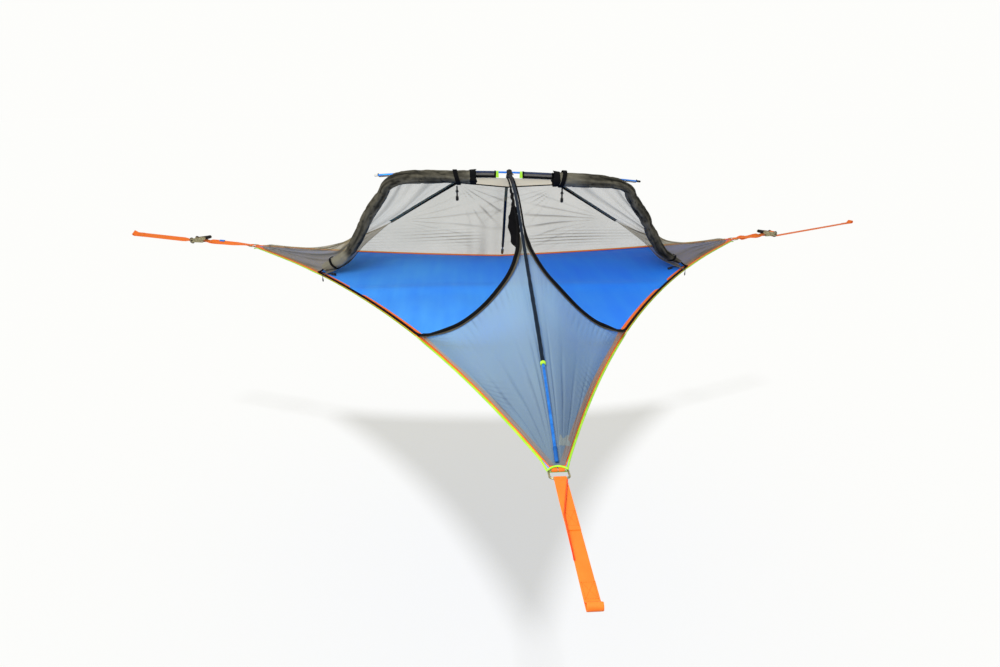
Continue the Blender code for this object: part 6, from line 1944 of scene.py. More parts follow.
def make_ridge_band(name, side):
    """The wide black band that takes the pull from the peak's side down the fold."""
    steps = 70
    fold = ridge_line(side, 2 * steps)
    path = fold[round(BAND_START_SHARE * 2 * steps):]
    lift = MESH_THICKNESS + SEAM_INSET + WEBBING_THICKNESS
    stations = []
    for i, (point, along) in enumerate(zip(path, tangents(path))):
        flat = along.cross(UP).normalized()
        face = flat.cross(along).normalized()
        face = face if face.z > 0 else -face
        face = (face + Vector((0, 0.25, 0))).normalized()
        across = along.cross(face).normalized()
        half = across * BAND_WIDTH / 2
        middle = point + face * (lift + BAND_WANDER * rough(i * 0.3, side, 0))
        stations.append((middle - half, middle + half, face))
    obj = strap("fold_band_" + name, stations, WEBBING_THICKNESS, BAND, leaning=True)
    worn_by(obj, "ridge_band_" + name)
    rows = leant_rows(rows_on_strap(stations, (0.1, 0.9), BAND_SEAM_LIFT))
    worn_by(along_paths("fold_band_stitches_" + name, rows, FINE_STITCH, THREAD))
    inner = []
    for i, (point, along) in enumerate(zip(path, tangents(path))):
        face = Vector((0, -1, 0.1))
        face = (face - along * face.dot(along)).normalized()
        half = along.cross(face).normalized() * INNER_BAND_WIDTH * (0.38 + 0.12 * i / len(path))
        middle = point + face * INNER_BAND_DEPTH
        inner.append((middle - half, middle + half, face))
    worn_by(strap("fold_binding_" + name, inner, INNER_BAND_THICKNESS, BAND, leaning=True))


# Rolled doors and what holds them

def on_table(table, share):
    """The value at a share between a table's rows."""
    for (low, first), (high, second) in zip(table, table[1:]):
        if share <= high:
            ease = max(0.0, (share - low) / (high - low))
            return first + (second - first) * eased(ease)
    return table[-1][1]


def dressed_roll(name, side):
    """The roll's middle line as it lies, lifted a little along the spreader."""
    path = roll_path(side, ROLL_FINE)
    edge = front_edge(side)
    foot = edge.point(HINGE_SHARE, ROLL_FOOT_INSET, ROLL_FOOT_HEIGHT)
    end = path[-1].copy()
    for i, point in enumerate(path):
        share = i / ROLL_FINE
        point.z += ROLL_LIFTS[name] * max(0.0, 1 - share / 0.42) ** 0.5
        point += (foot - end) * ROLL_REACHES[name] * max(0.0, (share - 0.88) / 0.12) ** 2
    return path


def roll_crumple(share, turn, length, side):
    """How far the rolled mesh stands out of its round shape: long folds, dents and sharp creases."""
    ways = Vector((0, cos(turn), sin(turn)))
    long_folds = noise.noise(Vector((length * 4.6 + 0.4 * sin(turn), 4 * side, 0)) + 1.9 * ways)
    dents = noise.noise(Vector((length * 17.0, 9 * side, 3)) + 3.0 * ways)
    # A crease is a groove where this noise crosses nought. It runs slantwise round the roll.
    slant = noise.noise(Vector((length * 9.0 + 0.55 * turn, 2 * side, 7)) + 1.4 * ways)
    groove = max(0.0, 1 - abs(slant) / 0.10)
    tied = min(1.0, abs(share - TIE_TOP_SHARE) / 0.05, abs(share - TIE_LOW_SHARE) / 0.05)
    loose = 1.0 + 1.0 * max(0.0, (share - 0.84) / 0.16)
    stand = ROLL_FOLD_HEIGHT * long_folds + ROLL_DENT_HEIGHT * dents - ROLL_GROOVE_DEPTH * groove
    return stand * (0.25 + 0.75 * tied) * loose


def make_roll(name, side):
    """The door, rolled up as one long sheet of mesh wound about itself."""
    first = round(ROLL_INNER[name] * ROLL_FINE)
    path = dressed_roll(name, side)[first:]
    total = lengths_along(path)
    frames = frames_along(path)
    columns = ROLL_TURNS * ROLL_TURN_STEPS
    grid = np.zeros((len(path), columns + 1, 3))
    # crease holds the painted shade of each point of the roll.
    crease = np.zeros((len(path), columns + 1))
    slackness = np.zeros((len(path), columns + 1))
    for i, (point, across, rise) in enumerate(frames):
        share = (i + first) / ROLL_FINE
        outer = on_table(ROLL_RADII[name], share)
        slack = 0.35 * sin(5.2 * share + side)
        for k in range(columns + 1):
            turn = 2 * pi * k / ROLL_TURN_STEPS + slack
            wound = k / columns
            core = min(ROLL_CORE, 0.4 * outer)
            radius = core + (outer - core) * wound
            stand = roll_crumple(share, turn, total[i], side)
            radius += stand * radius / outer
            lip = max(0.0, wound - 0.97) / 0.03
            radius += ROLL_LIP_HEIGHT * lip * (0.6 + 0.8 * rough(total[i] * 9, side, 2.0))
            place = point + radius * (across * cos(turn) + rise * sin(turn) * 0.97)
            grid[i, k] = place
            # Painted shade: the further a spot is pushed in, the darker it is drawn.
            crease[i, k] = held(0.18 - stand / ROLL_SHADE_DEPTH)
        slackness[i, :] = on_table(ROLL_SLACK[name], share)
    widths = lengths_of(grid, 1)
    faces, uvs = grid_faces(total, widths)
    obj = piece("rolled_mesh_door_" + name, [Vector(p) for p in grid.reshape(-1, 3)], faces, uvs, ROLLED,
                leaning=True, fold=crease.reshape(-1), slack=slackness.reshape(-1))
    worn_by(obj, "rolled_door_" + name, slot="door_fabric")
    hem = []
    along = (path[1] - path[0]).normalized()
    for k in range(ROLL_TURN_STEPS + 1):
        edge = Vector(grid[0, columns - ROLL_TURN_STEPS + k])
        out = (edge - path[0]).normalized()
        ragged = 0.5 + 0.9 * rough(k * 0.45, side * 3.0, 5.0)
        inner = edge + out * (ROLL_HEM_LIFT + ROLL_HEM_RISE * ragged)
        inner -= along * (ROLL_HEM_HALF + ROLL_HEM_RAGGED_IN * ragged)
        outer = edge + out * ROLL_HEM_LIFT + along * (ROLL_HEM_HALF + ROLL_HEM_RAGGED_OUT * ragged)
        hem.append((inner, outer, out))
    worn_by(strap("roll_end_binding_" + name, hem, ROLL_HEM_THICKNESS, BLACK, leaning=True))


def make_tie(label, name, side, share, wide):
    """A band of black webbing drawn round the rolled door, crossed and tucked."""
    path = dressed_roll(name, side)
    total = lengths_along(path)
    frames = frames_along(path)
    at = round(share * ROLL_FINE)
    point, across, rise = frames[at]
    along = tangents(path)[at]
    reach = on_table(ROLL_RADII[name], share) + TIE_LIFT
    stations = []
    for k in range(TIE_STEPS + 7):
        turn = 2 * pi * k / TIE_STEPS - 0.6
        way = across * cos(turn) + rise * sin(turn)
        lift = reach + TIE_WALL * max(0.0, (k - TIE_STEPS + 4) / 6)
        lift += 0.9 * roll_crumple(share, turn, total[at], side)
        skew = along * TIE_SKEW * sin(turn) * side
        half = along * wide / 2
        stations.append((point + way * lift - half + skew, point + way * lift + half + skew, way))
    obj = strap(f"tie_{label}_{name}", stations, TIE_THICKNESS, BAND, leaning=True)
    worn_by(obj, f"roll_tie_{label}_{name}")


def make_foot_ties(name, side):
    """Short black ties and a toggle where the roll meets the floor's edge."""
    path = dressed_roll(name, side)
    end = path[-1]
    foot = front_edge(side).point(HINGE_SHARE, FOOT_CORD_INSET, WEBBING_TOP + FOOT_CORD_INSET)
    sag = end.lerp(foot, 0.5) + Vector(FOOT_CORD_SAG)
    inside = end - (end - path[-12]).normalized() * FOOT_CORD_INSIDE
    line = smooth_path([inside, end, sag, foot], 24)
    worn_by(tube("foot_cord_" + name, line, FOOT_CORD_RADIUS, 12, BLACK, rounded=FOOT_CORD_ROUND,
                 leaning=True))
    start, stop = (Vector((side * x, y, FOOT_TOGGLE_HEIGHT)) for x, y in FOOT_TOGGLES[name])
    ends = smooth_path([foot, start, start.lerp(stop, 0.5) + UP * FOOT_TOGGLE_BOW, stop], 24)
    worn_by(tube("foot_toggle_cord_" + name, ends, FOOT_TOGGLE_CORD, 10, BLACK, rounded=FINE_ROUND))
    along = (stop - start).normalized()
    across = along.cross(UP).normalized()
    up = across.cross(along)
    rings = [round_ring(stop - along * (FOOT_TOGGLE_LENGTH - reach), across, up, radius, 16)
             for reach, radius in FOOT_TOGGLE_PROFILE]
    worn_by(loft("foot_toggle_" + name, rings, PLASTIC), slot="black_plastic")


def make_door_tape():
    """The left door's own zip tape with its gathered flap, hanging in a loose bight by the pole."""
    path = smooth_path([Vector(place) for place in TAPE_PLACES], 130)
    rows = 22
    grid = []
    for i, (point, along) in enumerate(zip(path, tangents(path))):
        share = i / (len(path) - 1)
        face = Vector((0.25, -1, 0.1))
        face = (face - along * face.dot(along)).normalized()
        half = along.cross(face).normalized() * on_table(TAPE_WIDTHS, share) / 2
        line = []
        for j in range(rows + 1):
            across = 2 * j / rows - 1
            ruffle = DOOR_TAPE_RUFFLE * sin(i * 0.30 + 3.1 * across) * (0.5 + 0.5 * abs(across))
            ragged = 1 + 0.55 * rough(i * 0.07, 2.0 * across, 4.0)
            line.append(point + half * across * ragged + face * ruffle)
        grid.append(line)
    obj = cloth_panel("hanging_door_tape", grid, taut(1), BLACK, border=1)
    thicken(obj, DOOR_TAPE_THICKNESS)
    worn_by(obj, "door_zip_tape")


# Top of the canopy

def round_the_pole(share, reach, narrowing, wave=0.0):
    """A spot on cloth that goes over the short pole and hangs on both sides, and the way it faces there."""
    if abs(share) < SLEEVE_TOP_SHARE:
        turn = pi / 2 * share / SLEEVE_TOP_SHARE
        return Vector((0, reach * sin(turn), reach * cos(turn))), Vector((0, sin(turn), cos(turn)))
    fall = (abs(share) - SLEEVE_TOP_SHARE) / (1 - SLEEVE_TOP_SHARE)
    way = 1 if share > 0 else -1
    out = way * (reach * (1 - narrowing * fall)) + wave
    return Vector((0, out, -SPREADER_SLEEVE_DROP * fall)), Vector((0, way, 0))


def make_spreader_sleeve(name, side):
    """A see-through sleeve over the short pole, bound in black at its hem and ends."""
    reach = POLE_BORE * SLEEVE_TOP_LOOSE
    span = SPREADER_SLEEVE_END - SPREADER_SLEEVE_START
    steps = 44
    profile = 26
    grid = []
    hem = []
    for i in range(steps + 1):
        x = SPREADER_SLEEVE_START + span * i / steps
        centre = spreader_point(side * x)
        line = []
        for j in range(profile + 1):
            share = 2 * j / profile - 1
            wave = SLEEVE_SIDE_WAVE * rough(x * 55, share * 2, side)
            line.append(centre + round_the_pole(share, reach, 0.35, wave)[0])
        grid.append(line)
        low = centre - UP * (SPREADER_SLEEVE_DROP - SLEEVE_HEM_TUCK)
        hem.append((low - UP * SLEEVE_HEM_TUCK, low + UP * SLEEVE_HEM_RISE, Vector((0, -1, 0))))
    crease = np.zeros((steps + 1, profile + 1))
    crease[:, :4] = 1
    crease[:, -4:] = 1
    flat = np.zeros_like(crease)
    obj = cloth_panel("short_pole_sleeve_" + name, grid, lambda cloth: (flat, crease), SLEEVE_MESH,
                      border=1)
    worn_by(obj, "spreader_sleeve_" + name)
    worn_by(strap("short_pole_sleeve_hem_" + name, hem, SLEEVE_HEM_THICKNESS, BLACK, leaning=True))
    half = X_WAY * CUFF_HALF
    for k, x in enumerate((SPREADER_SLEEVE_START, SPREADER_SLEEVE_END)):
        centre = spreader_point(side * x)
        cuff = []
        for i in range(25):
            spot, way = round_the_pole(2 * i / 24 - 1, reach + CUFF_LIFT, 0.3)
            cuff.append((centre + spot - half, centre + spot + half, way))
        worn_by(strap(f"short_pole_sleeve_cuff_{k}_{name}", cuff, TAPE_THICKNESS, BLACK, leaning=True))


def make_lime_tab(name, side):
    gap = SEAM_GAP + WEBBING_THICKNESS / 2
    reach = POLE_DIAMETER / 2 + gap
    centre = spreader_point(side * TAB_PLACE)
    half = Vector((TAB_WIDTH / 2, 0, 0))
    stations = []
    for way in (-1, 1):
        low = centre + Vector((0, way * reach * 0.8, -TAB_DROP))
        stations.append((low - half * 1.25, low + half * 1.25, Vector((0, way, 0))))
    arc = []
    for i in range(15):
        turn = pi - pi * i / 14
        way = Vector((0, cos(turn), sin(turn)))
        arc.append((centre + way * reach - half, centre + way * reach + half, way))
    run = finer([stations[0], *arc, stations[1]], TAB_STEP)
    worn_by(strap("lime_pole_tab_" + name, run, WEBBING_THICKNESS, LIME, leaning=True),
            "lime_tab_" + name, slot="lime_piping")


def make_tip_elastic(name, side):
    radius = ELASTIC_DIAMETER / 2
    hold = POLE_DIAMETER / 2 + SEAM_GAP + radius
    x_tip = SPREADER_LENGTH / 2 - ELASTIC_TIP_INSET
    under = UP * (hold + SEAM_GAP)
    path = [spreader_point(side * x) - under for x in
            (ELASTIC_START, (ELASTIC_START + x_tip) / 2, x_tip - 2 * ELASTIC_DIAMETER)]
    tip = spreader_point(side * x_tip)
    for i in range(2, 11):
        turn = -pi / 2 + 2 * pi * i / 14
        drift = Vector((side * ELASTIC_DIAMETER * (i - 10) / 14, 0, 0))
        path.append(tip + drift + hold * Vector((0, cos(turn), sin(turn))))
    cord = smooth_path(path, 50)
    obj = tube("tip_elastic_cord_" + name, cord, radius, 12, BLACK, rounded=ELASTIC_ROUND, leaning=True)
    worn_by(obj, "tip_elastic_" + name)


def make_peak_cap():
    """The black cover over the crossing, with turned edges and two rows of stitches."""
    lift = CAP_LIFT + CAP_THICKNESS / 2
    crossing = SPREADER_RISE + POLE_DIAMETER / 2 + lift
    front = ridge_point(-CAP_HALF_LENGTH).z + SLEEVE_HEIGHT / 2 + lift
    shoulder = ridge_point(-CAP_SHOULDER).z + SLEEVE_HEIGHT / 2 + lift + SEAM_GAP
    back_shoulder = (crossing + ridge_point(CAP_SHOULDER).z + SLEEVE_HEIGHT / 2 + lift) / 2
    back = ridge_point(CAP_HALF_LENGTH).z + POLE_DIAMETER / 2 + 2 * lift
    points = [Vector((0, -CAP_HALF_LENGTH, front)), Vector((0, -CAP_SHOULDER, (shoulder + crossing) / 2)),
              Vector((0, 0, crossing)), Vector((0, CAP_SHOULDER, back_shoulder)),
              Vector((0, CAP_HALF_LENGTH, back))]
    points[2].z += CAP_HUMP
    points[1].z += 0.4 * CAP_HUMP
    points[3].z += 0.5 * CAP_HUMP
    path = smooth_path(points, 40)
    stations = []
    for i, (point, along) in enumerate(zip(path, tangents(path))):
        up = X_WAY.cross(along)
        narrow = 1 - 0.30 * sin(pi * i / 40)
        half = Vector((CAP_WIDTH / 2 * narrow * (1 + 0.05 * sin(i * 0.7)), 0, 0))
        stations.append((point - half, point + half, up if up.z > 0 else -up))
    grid = [[first.lerp(second, j / 12) - up * CAP_ROUND * (j / 6 - 1) ** 2 for j in range(13)]
            for first, second, up in stations]
    obj = cloth_panel("peak_cover", grid, taut(1), HOOD,
                      leaning=False, border=1)
    thicken(obj, CAP_THICKNESS)
    worn_by(obj, "peak_cap")
    rows = rows_on_strap(stations, (0.16, 0.84), CAP_THICKNESS / 2 - CAP_ROUND * 0.46)
    worn_by(along_paths("peak_cover_stitches", rows, FINE_STITCH, THREAD))


def turned(profile, centre):
    """Rings of a shape turned about a line that hangs straight down; profile gives depth and radius."""
    y_way = Vector((0, 1, 0))
    return [round_ring(centre - UP * depth, X_WAY, y_way, radius, 24) for depth, radius in profile]


def make_toggle(name, side):
    """A toggle that hangs from the tie: a cord, a bead and a ribbed barrel."""
    path = roll_path(side)
    place = at_share(path, TIE_TOP_SHARE)
    radius = roll_radius(TIE_TOP_SHARE) + SEAM_GAP + TIE_WALL
    pivot = leant(place - UP * (radius + TOGGLE_GAP)) - UP * TOGGLE_BALL_RADIUS
    ball = TOGGLE_BALL_RADIUS
    profile = [(ball * -cos(turn), max(TOGGLE_NECK, ball * sin(turn)))
               for turn in (0.15, 0.5, 0.9, 1.3, 1.6)]
    cord = TOGGLE_CORD_SHOWN
    profile.append((ball * 0.9, cord))
    neck, bulge = TOGGLE_BEAD
    groove, rib = TOGGLE_RIBS
    steps = [(0.10, cord * 0.9), (0.27, cord)]
    steps += [(0.35 - 0.085 * cos(turn), neck + bulge * sin(turn))
              for turn in (0.3, 0.8, 1.2, 1.57, 2.0, 2.5, 2.9)]
    steps += [(0.44, cord), (0.66, cord)]
    for start in (0.70, 0.75, 0.80, 0.85, 0.90):
        steps += [(start, groove), (start + 0.012, rib), (start + 0.036, rib)]
    profile += [(share * TOGGLE_LENGTH, radius) for share, radius in (*steps, *TOGGLE_END)]
    worn_by(loft("hanging_toggle_" + name, turned(profile, pivot), PLASTIC),
            "door_toggle_" + name, slot="black_plastic", body="toggle_" + name)


def slider_frame(side):
    edge = front_edge(side)
    point = edge.point(SLIDER_SHARE)
    outward_way = edge.centre - point
    outward_way.z = 0
    outward_way.normalize()
    return point, UP.cross(outward_way), outward_way


def make_pull(name, side):
    """The zip pull: a loop of cord through the slider's arm, ending in a moulded grip."""
    point, along, out = slider_frame(side)
    reach = EDGE_CORD_DIAMETER + 2 * SEAM_GAP + PULL_THICKNESS / 2 + SEAM_INSET
    slider_low = ZIP_RISE + ZIP_THICKNESS / 2 + ZIP_COIL + SEAM_GAP
    height = slider_low + SLIDER_HEIGHT - ARM_HEIGHT - SEAM_GAP - PULL_TOP_RADIUS
    pivot = point + out * reach + UP * height
    rings = []
    shape = ((-0.062, 0.35, 0.7), (-0.03, 0.8, 1.4), (0.05, 1.0, 1.55), (0.12, 0.55, 1.0), (0.30, 0.40, 0.8),
             (0.46, 0.40, 0.8), (0.52, 0.75, 0.95), (0.60, 1.0, 1.0), (0.72, 0.92, 0.8), (0.88, 1.0, 1.0),
             (0.97, 0.85, 0.85), (1.0, 0.5, 0.5))
    for depth, wide, thick in shape:
        centre = pivot - UP * depth * PULL_LENGTH
        swell = 1.0 + (PULL_SWELL - 1.0) * held((depth - 0.12) / 0.4)
        ring = []
        for k in range(16):
            turn = 2 * pi * k / 16
            ring.append(centre + along * PULL_WIDTH / 2 * wide * swell * cos(turn)
                        + out * PULL_THICKNESS / 2 * thick * swell * sin(turn))
        rings.append(ring)
    worn_by(loft("zip_pull_grip_" + name, rings, PLASTIC), "zip_pull_" + name, body="pull_" + name)


# Corner rings and straps

def make_corner_ring(name, corner):
    """A bent and welded steel ring, round-cornered."""
    bends = ((1, 1), (-1, 1), (-1, -1), (1, -1))
    path = []
    per_bend = 8
    for k, (out, side) in enumerate(bends):
        for i in range(per_bend + 1):
            turn = pi / 2 * (k + i / per_bend)
            path.append(corner.place(
                out * (RING_HALF_LENGTH - RING_BEND) + RING_BEND * cos(turn),
                side * (RING_HALF_WIDTH - RING_BEND) + RING_BEND * sin(turn)))
    rings = []
    count = len(path)
    for i, point in enumerate(path):
        along = (path[(i + 1) % count] - path[i - 1]).normalized()
        rings.append(round_ring(point, along.cross(UP), UP, RING_WIRE / 2, 18))
    worn_by(loft("steel_ring_" + name, rings, STEEL, closed=True),
            "corner_ring_" + name, slot="zinc_plated_steel")


class Strap:
    """A strap's course from a corner ring: straight out for a little, then turned towards its tree."""

    def __init__(self, corner, degrees):
        self.corner = corner
        turn = radians(degrees)
        self.out = Vector((cos(turn), sin(turn), 0))
        self.across = Vector((-sin(turn), cos(turn), 0))
        self.bend = corner.place(STRAP_STRAIGHT)
        self.rolls = ((0.0, 0.0), (10.0, 0.0))

    def rolled(self, reach, *points):
        """The points turned about the strap's middle line by the roll at this reach."""
        turn = radians(on_table(self.rolls, reach))
        if turn == 0:
            return points
        centre, _ = self.frame(reach)
        spin = Matrix.Rotation(turn, 3, self.out)
        return [centre + spin @ (point - centre) for point in points]

    def frame(self, reach):
        if reach < STRAP_STRAIGHT:
            return self.corner.place(reach), self.corner.across
        middle = (self.across + self.corner.across).normalized()
        across = middle if reach == STRAP_STRAIGHT else self.across
        return self.bend + self.out * (reach - STRAP_STRAIGHT), across

    def station(self, reach, height, up=UP):
        centre, across = self.frame(reach)
        half = across * STRAP_WIDTH / 2
        first, second, tip = self.rolled(reach, centre - half + UP * height, centre + half + UP * height,
                                         centre + up)
        return first, second, tip - centre

    def turn_station(self, reach, radius, turn, height=0.0):
        centre, across = self.frame(reach)
        out = across.cross(UP).normalized()
        way = out * cos(turn) + UP * sin(turn)
        half = across * STRAP_WIDTH / 2
        place = centre + way * radius + UP * height
        first, second, tip = self.rolled(reach, place - half, place + half, centre + way)
        return first, second, tip - centre


def bar_bend(course, reach, radius, start, sweep, steps=LOOP_STEPS, height=0.0):
    return [course.turn_station(reach, radius, start + sweep * i / steps, height) for i in range(steps + 1)]


def tree_eye(course, reach, layer):
    """The strap's far end, turned back on itself over a small eye and sewn down."""
    radius = EYE_RADIUS
    centre = reach - radius
    stations = [course.station(reach - 2 * radius - EYE_SEWN, 0.0), course.station(centre - 2 * radius, 0.0)]
    for i in range(LOOP_STEPS + 1):
        turn = -pi / 2 + pi * i / LOOP_STEPS
        first, second, way = course.turn_station(centre, radius, turn, radius)
        stations.append((first, second, -way))
    stations.append(course.station(centre - 2 * radius, layer, -UP))
    stations.append(course.station(reach - 2 * radius - EYE_SEWN, layer, -UP))
    return stations


def strap_run(course, start, end, first, second, up, steps=14):
    """Stations between two reaches, whose height goes from the first to the second."""
    return [course.station(start + (end - start) * i / steps, first + (second - first) * i / steps, up)
            for i in range(steps + 1)]


def finish_strap(name, stations, node):
    obj = strap(name, finer(stations, STRAP_STEP), WEBBING_THICKNESS, ORANGE)
    worn_by(obj, node, slot="orange_webbing")


def sewn_end(course, length):
    """The box of stitches beside the eye round the tree."""
    end = [course.station(length - SEWN_END + SEWN_STEP * i, STRAP_LAYER) for i in range(7)]
    return sewn_box(end, *SEWN_LENGTH, WEBBING_THICKNESS / 2)


def make_front_strap(course):
    high = RING_HOLD / 2 + STRAP_LAYER / 2
    stations = [course.station(FRONT_RETURN, high),
                course.station(RING_HALF_LENGTH + 3 * RING_WIRE, high),
                course.station(RING_HALF_LENGTH, RING_HOLD)]
    stations += bar_bend(course, RING_HALF_LENGTH, RING_HOLD, pi / 2, pi)[1:]
    low = RING_HOLD / 2 - STRAP_LAYER / 2
    stations += [course.station(RING_HALF_LENGTH + 3 * RING_WIRE, low, -UP)]
    stations += [course.station(FRONT_RETURN, low, -UP)]
    eye = tree_eye(course, FRONT_STRAP_LENGTH, STRAP_LAYER)
    stations += [(first, second, -up) for first, second, up in eye]
    finish_strap("front_tree_strap", stations, "tree_strap_front")
    layer = []
    hem = []
    steps = 30
    for i in range(steps + 1):
        share = i / steps
        first, second, up = course.station(LAYER_START + (LAYER_END - LAYER_START) * share, high)
        rise = up * (WEBBING_THICKNESS + LAYER_PUFF * sin(pi * share) ** 0.5)
        width = second - first
        end = max(0.10 * (1 - share), 1.0 - 1.9 * share)
        left = first - width * (0.07 * sin(pi * min(1.0, share + 0.15)))
        right = first + width * end
        layer.append((left + rise, right + rise * 1.6, up))
        # The fold's turned edge, drawn in a deeper red-orange as painted shade.
        hem.append((right + rise * 1.8 - width * 0.06, right + rise * 0.9 + width * 0.06, up))
    worn_by(strap("front_strap_layer", layer, WEBBING_THICKNESS, ORANGE), slot="orange_webbing")
    worn_by(strap("front_strap_fold_shade", hem, WEBBING_THICKNESS, FOLD_SHADE_ORANGE), slot="orange_webbing")
    top = [course.station(TOP_SEWN_START + 2 * SEWN_STEP * i, high) for i in range(10)]
    return sewn_box(top, *TOP_SEWN_LENGTH, WEBBING_THICKNESS / 2) + sewn_end(course, FRONT_STRAP_LENGTH)


def make_short_strap(name, course, place):
    bolt_reach = place - FRAME_BACK + BOLT_INSET
    bolt_hold = BOLT_DIAMETER / 2 + SEAM_GAP + WEBBING_THICKNESS / 2
    span = bolt_reach - RING_HALF_LENGTH
    high = STRAP_LAYER / 2
    stations = [course.station(RING_HALF_LENGTH + span * STRAP_RETURN_SHARE, high),
                course.station(STRAP_STRAIGHT, high),
                course.station(RING_HALF_LENGTH, RING_HOLD)]
    stations += bar_bend(course, RING_HALF_LENGTH, RING_HOLD, pi / 2, pi)[1:]
    stations += strap_run(course, STRAP_STRAIGHT, bolt_reach - 4 * BOLT_DIAMETER, -high, -high, -UP)
    stations += bar_bend(course, bolt_reach, bolt_hold, -pi / 2, pi)
    stations += [course.station(bolt_reach - 4 * BOLT_DIAMETER, high, UP)]
    stations += [course.station(bolt_reach - span * STRAP_RETURN_SHARE, high, UP)]
    finish_strap("ring_strap_" + name, stations, "short_strap_" + name)
    boxes = []
    for start in (STRAP_STRAIGHT + SEWN_INSET, bolt_reach - span * STRAP_RETURN_SHARE + 2 * SEWN_INSET):
        box = [course.station(start + SEWN_STEP * i, high) for i in range(6)]
        boxes += sewn_box(box, *SHORT_SEWN_LENGTH, WEBBING_THICKNESS / 2)
    return boxes


def winding_radius(turns):
    return SPOOL_DIAMETER / 2 + SEAM_GAP + WEBBING_THICKNESS / 2 + WINDING_PITCH * turns


def make_tree_strap(name, course, place, length, wound):
    eye = tree_eye(course, length, STRAP_LAYER)
    if wound:
        low = -winding_radius(WINDING_TURNS) - WINDING_PITCH
        stations = [course.station(place, low, -UP)]
        begin = low
    else:
        hold = winding_radius(0)
        sweep = radians(LEFT_WRAP_DEGREES)
        stations = bar_bend(course, place, hold, -pi / 2 - sweep, sweep, 2 * LOOP_STEPS)
        begin = -hold
    sewn_from = length - 2 * EYE_RADIUS - EYE_SEWN - SEWN_STEP
    stations += strap_run(course, place + 2 * FRAME_FRONT, sewn_from, begin, 0.0, -UP)
    stations += [(first, second, -up) for first, second, up in eye]
    finish_strap("tree_strap_run_" + name, stations, "tree_strap_" + name)
    return sewn_end(course, length)


def make_tag(course, place):
    centre = RING_HALF_LENGTH + (place - FRAME_BACK - RING_HALF_LENGTH) * TAG_PLACE_SHARE
    gap = SEAM_GAP + WEBBING_THICKNESS / 2
    over = STRAP_WIDTH / 2
    middle, across = course.frame(centre)
    along = course.out * TAG_LENGTH * 0.7
    low = -STRAP_LAYER / 2 - WEBBING_THICKNESS / 2 - gap
    high = -low
    stations = []
    for lateral, height, up in ((-over / 3, high, UP), (-over - gap, high, (UP - across).normalized()),
                                (-over - gap, low, (-UP - across).normalized()),
                                (-over + gap, low - TAG_DROP / 6, -UP), (over / 3, low - TAG_DROP / 6, -UP)):
        point = middle + across * lateral + UP * height
        first, second, tip = course.rolled(centre, point - along, point + along, middle + up)
        stations.append((first, second, tip - middle))
    obj = strap("plain_blue_tag", finer(stations, TAG_STEP), TAG_THICKNESS, TAG)
    worn_by(obj, "strap_tag", slot="tag_blue")


def ratchet_place(course, reach):
    centre, across = course.frame(reach)
    out = course.out
    return Matrix((
        (out.x, across.x, 0, centre.x),
        (out.y, across.y, 0, centre.y),
        (0, 0, 1, 0),
        (0, 0, 0, 1),
    ))


def cross_bar(name, x, z, profile, place, material, sides=28):
    """A turned piece across the ratchet; profile gives places across it and radii."""
    rings = [[place @ Vector((x + radius * cos(turn), y, z + radius * sin(turn)))
              for turn in turns_of(sides)] for y, radius in profile]
    return loft(name, rings, material)


def make_winding(place):
    """The spare webbing wound on the spool, one unbroken strip."""
    half = STRAP_WIDTH / 2
    stations = []
    total = WINDING_TURNS * WINDING_STEPS
    for i in range(total + 1):
        turns = i / WINDING_STEPS
        turn = pi / 2 + 2 * pi * (WINDING_TURNS - turns)
        way = Vector((cos(turn), 0, -sin(turn)))
        centre = way * (winding_radius(turns) + WINDING_ROUGH * rough(turns * 4, 0, 0))
        drift = Vector((0, WINDING_DRIFT * sin(turns * 2.1), 0))
        spin = place.to_3x3()
        stations.append((place @ (centre - Vector((0, half, 0)) + drift),
                         place @ (centre + Vector((0, half, 0)) + drift), spin @ way))
    worn_by(strap("wound_webbing_right", stations, WEBBING_THICKNESS, ORANGE),
            "strap_winding_right", slot="orange_webbing", body="spool_right")


def make_ratchet_trim(name, place):
    """Better metal on the ratchet's CAD pieces, and its grip, washers and bolt heads."""
    nodes = frame["nodes"]
    finishes = {"ratchet_frame_": STEEL, "ratchet_handle_": STEEL, "ratchet_spool_": DARK_STEEL,
                "ratchet_pawl_": DARK_STEEL, "zip_slider_": DARK_STEEL}
    for node, finish in finishes.items():
        mesh = nodes[node + name].data
        mesh.materials.clear()
        mesh.materials.append(finish)
    inner = FRAME_INNER_WIDTH / 2
    outer = inner + FRAME_PLATE
    handle_far = outer + SPOOL_CLEARANCE * 2 + GEAR_THICKNESS + HANDLE_PLATE
    raised = place @ Matrix.Rotation(radians(HANDLE_REST), 4, "Y")
    reach = handle_far - HANDLE_PLATE - GRIP_RUBBER
    radius = GRIP_DIAMETER / 2
    grip = [(-reach, radius + GRIP_RUBBER)]
    ribs = 9
    for k in range(ribs):
        start = -reach + 2 * reach * (k + 0.12) / ribs
        end = -reach + 2 * reach * (k + 0.88) / ribs
        grip += [(start, radius + GRIP_GROOVE), (start + GRIP_GROOVE, radius + GRIP_RIB),
                 (end - GRIP_GROOVE, radius + GRIP_RIB), (end, radius + GRIP_GROOVE)]
    grip.append((reach, radius + GRIP_RUBBER))
    worn_by(cross_bar("ratchet_grip_" + name, -HANDLE_LENGTH, 0, grip, raised, RUBBER),
            slot="black_plastic", body="handle_" + name)
    for way, label in ((-1, "near"), (1, "far")):
        head = [(way * (outer + BOLT_HEAD_GAP + step), radius) for step, radius in BOLT_HEAD]
        worn_by(cross_bar(f"bolt_head_{label}_{name}", -FRAME_BACK + BOLT_INSET, 0, head, place, STEEL, 24),
                slot="zinc_plated_steel")


# Camera, light and stage

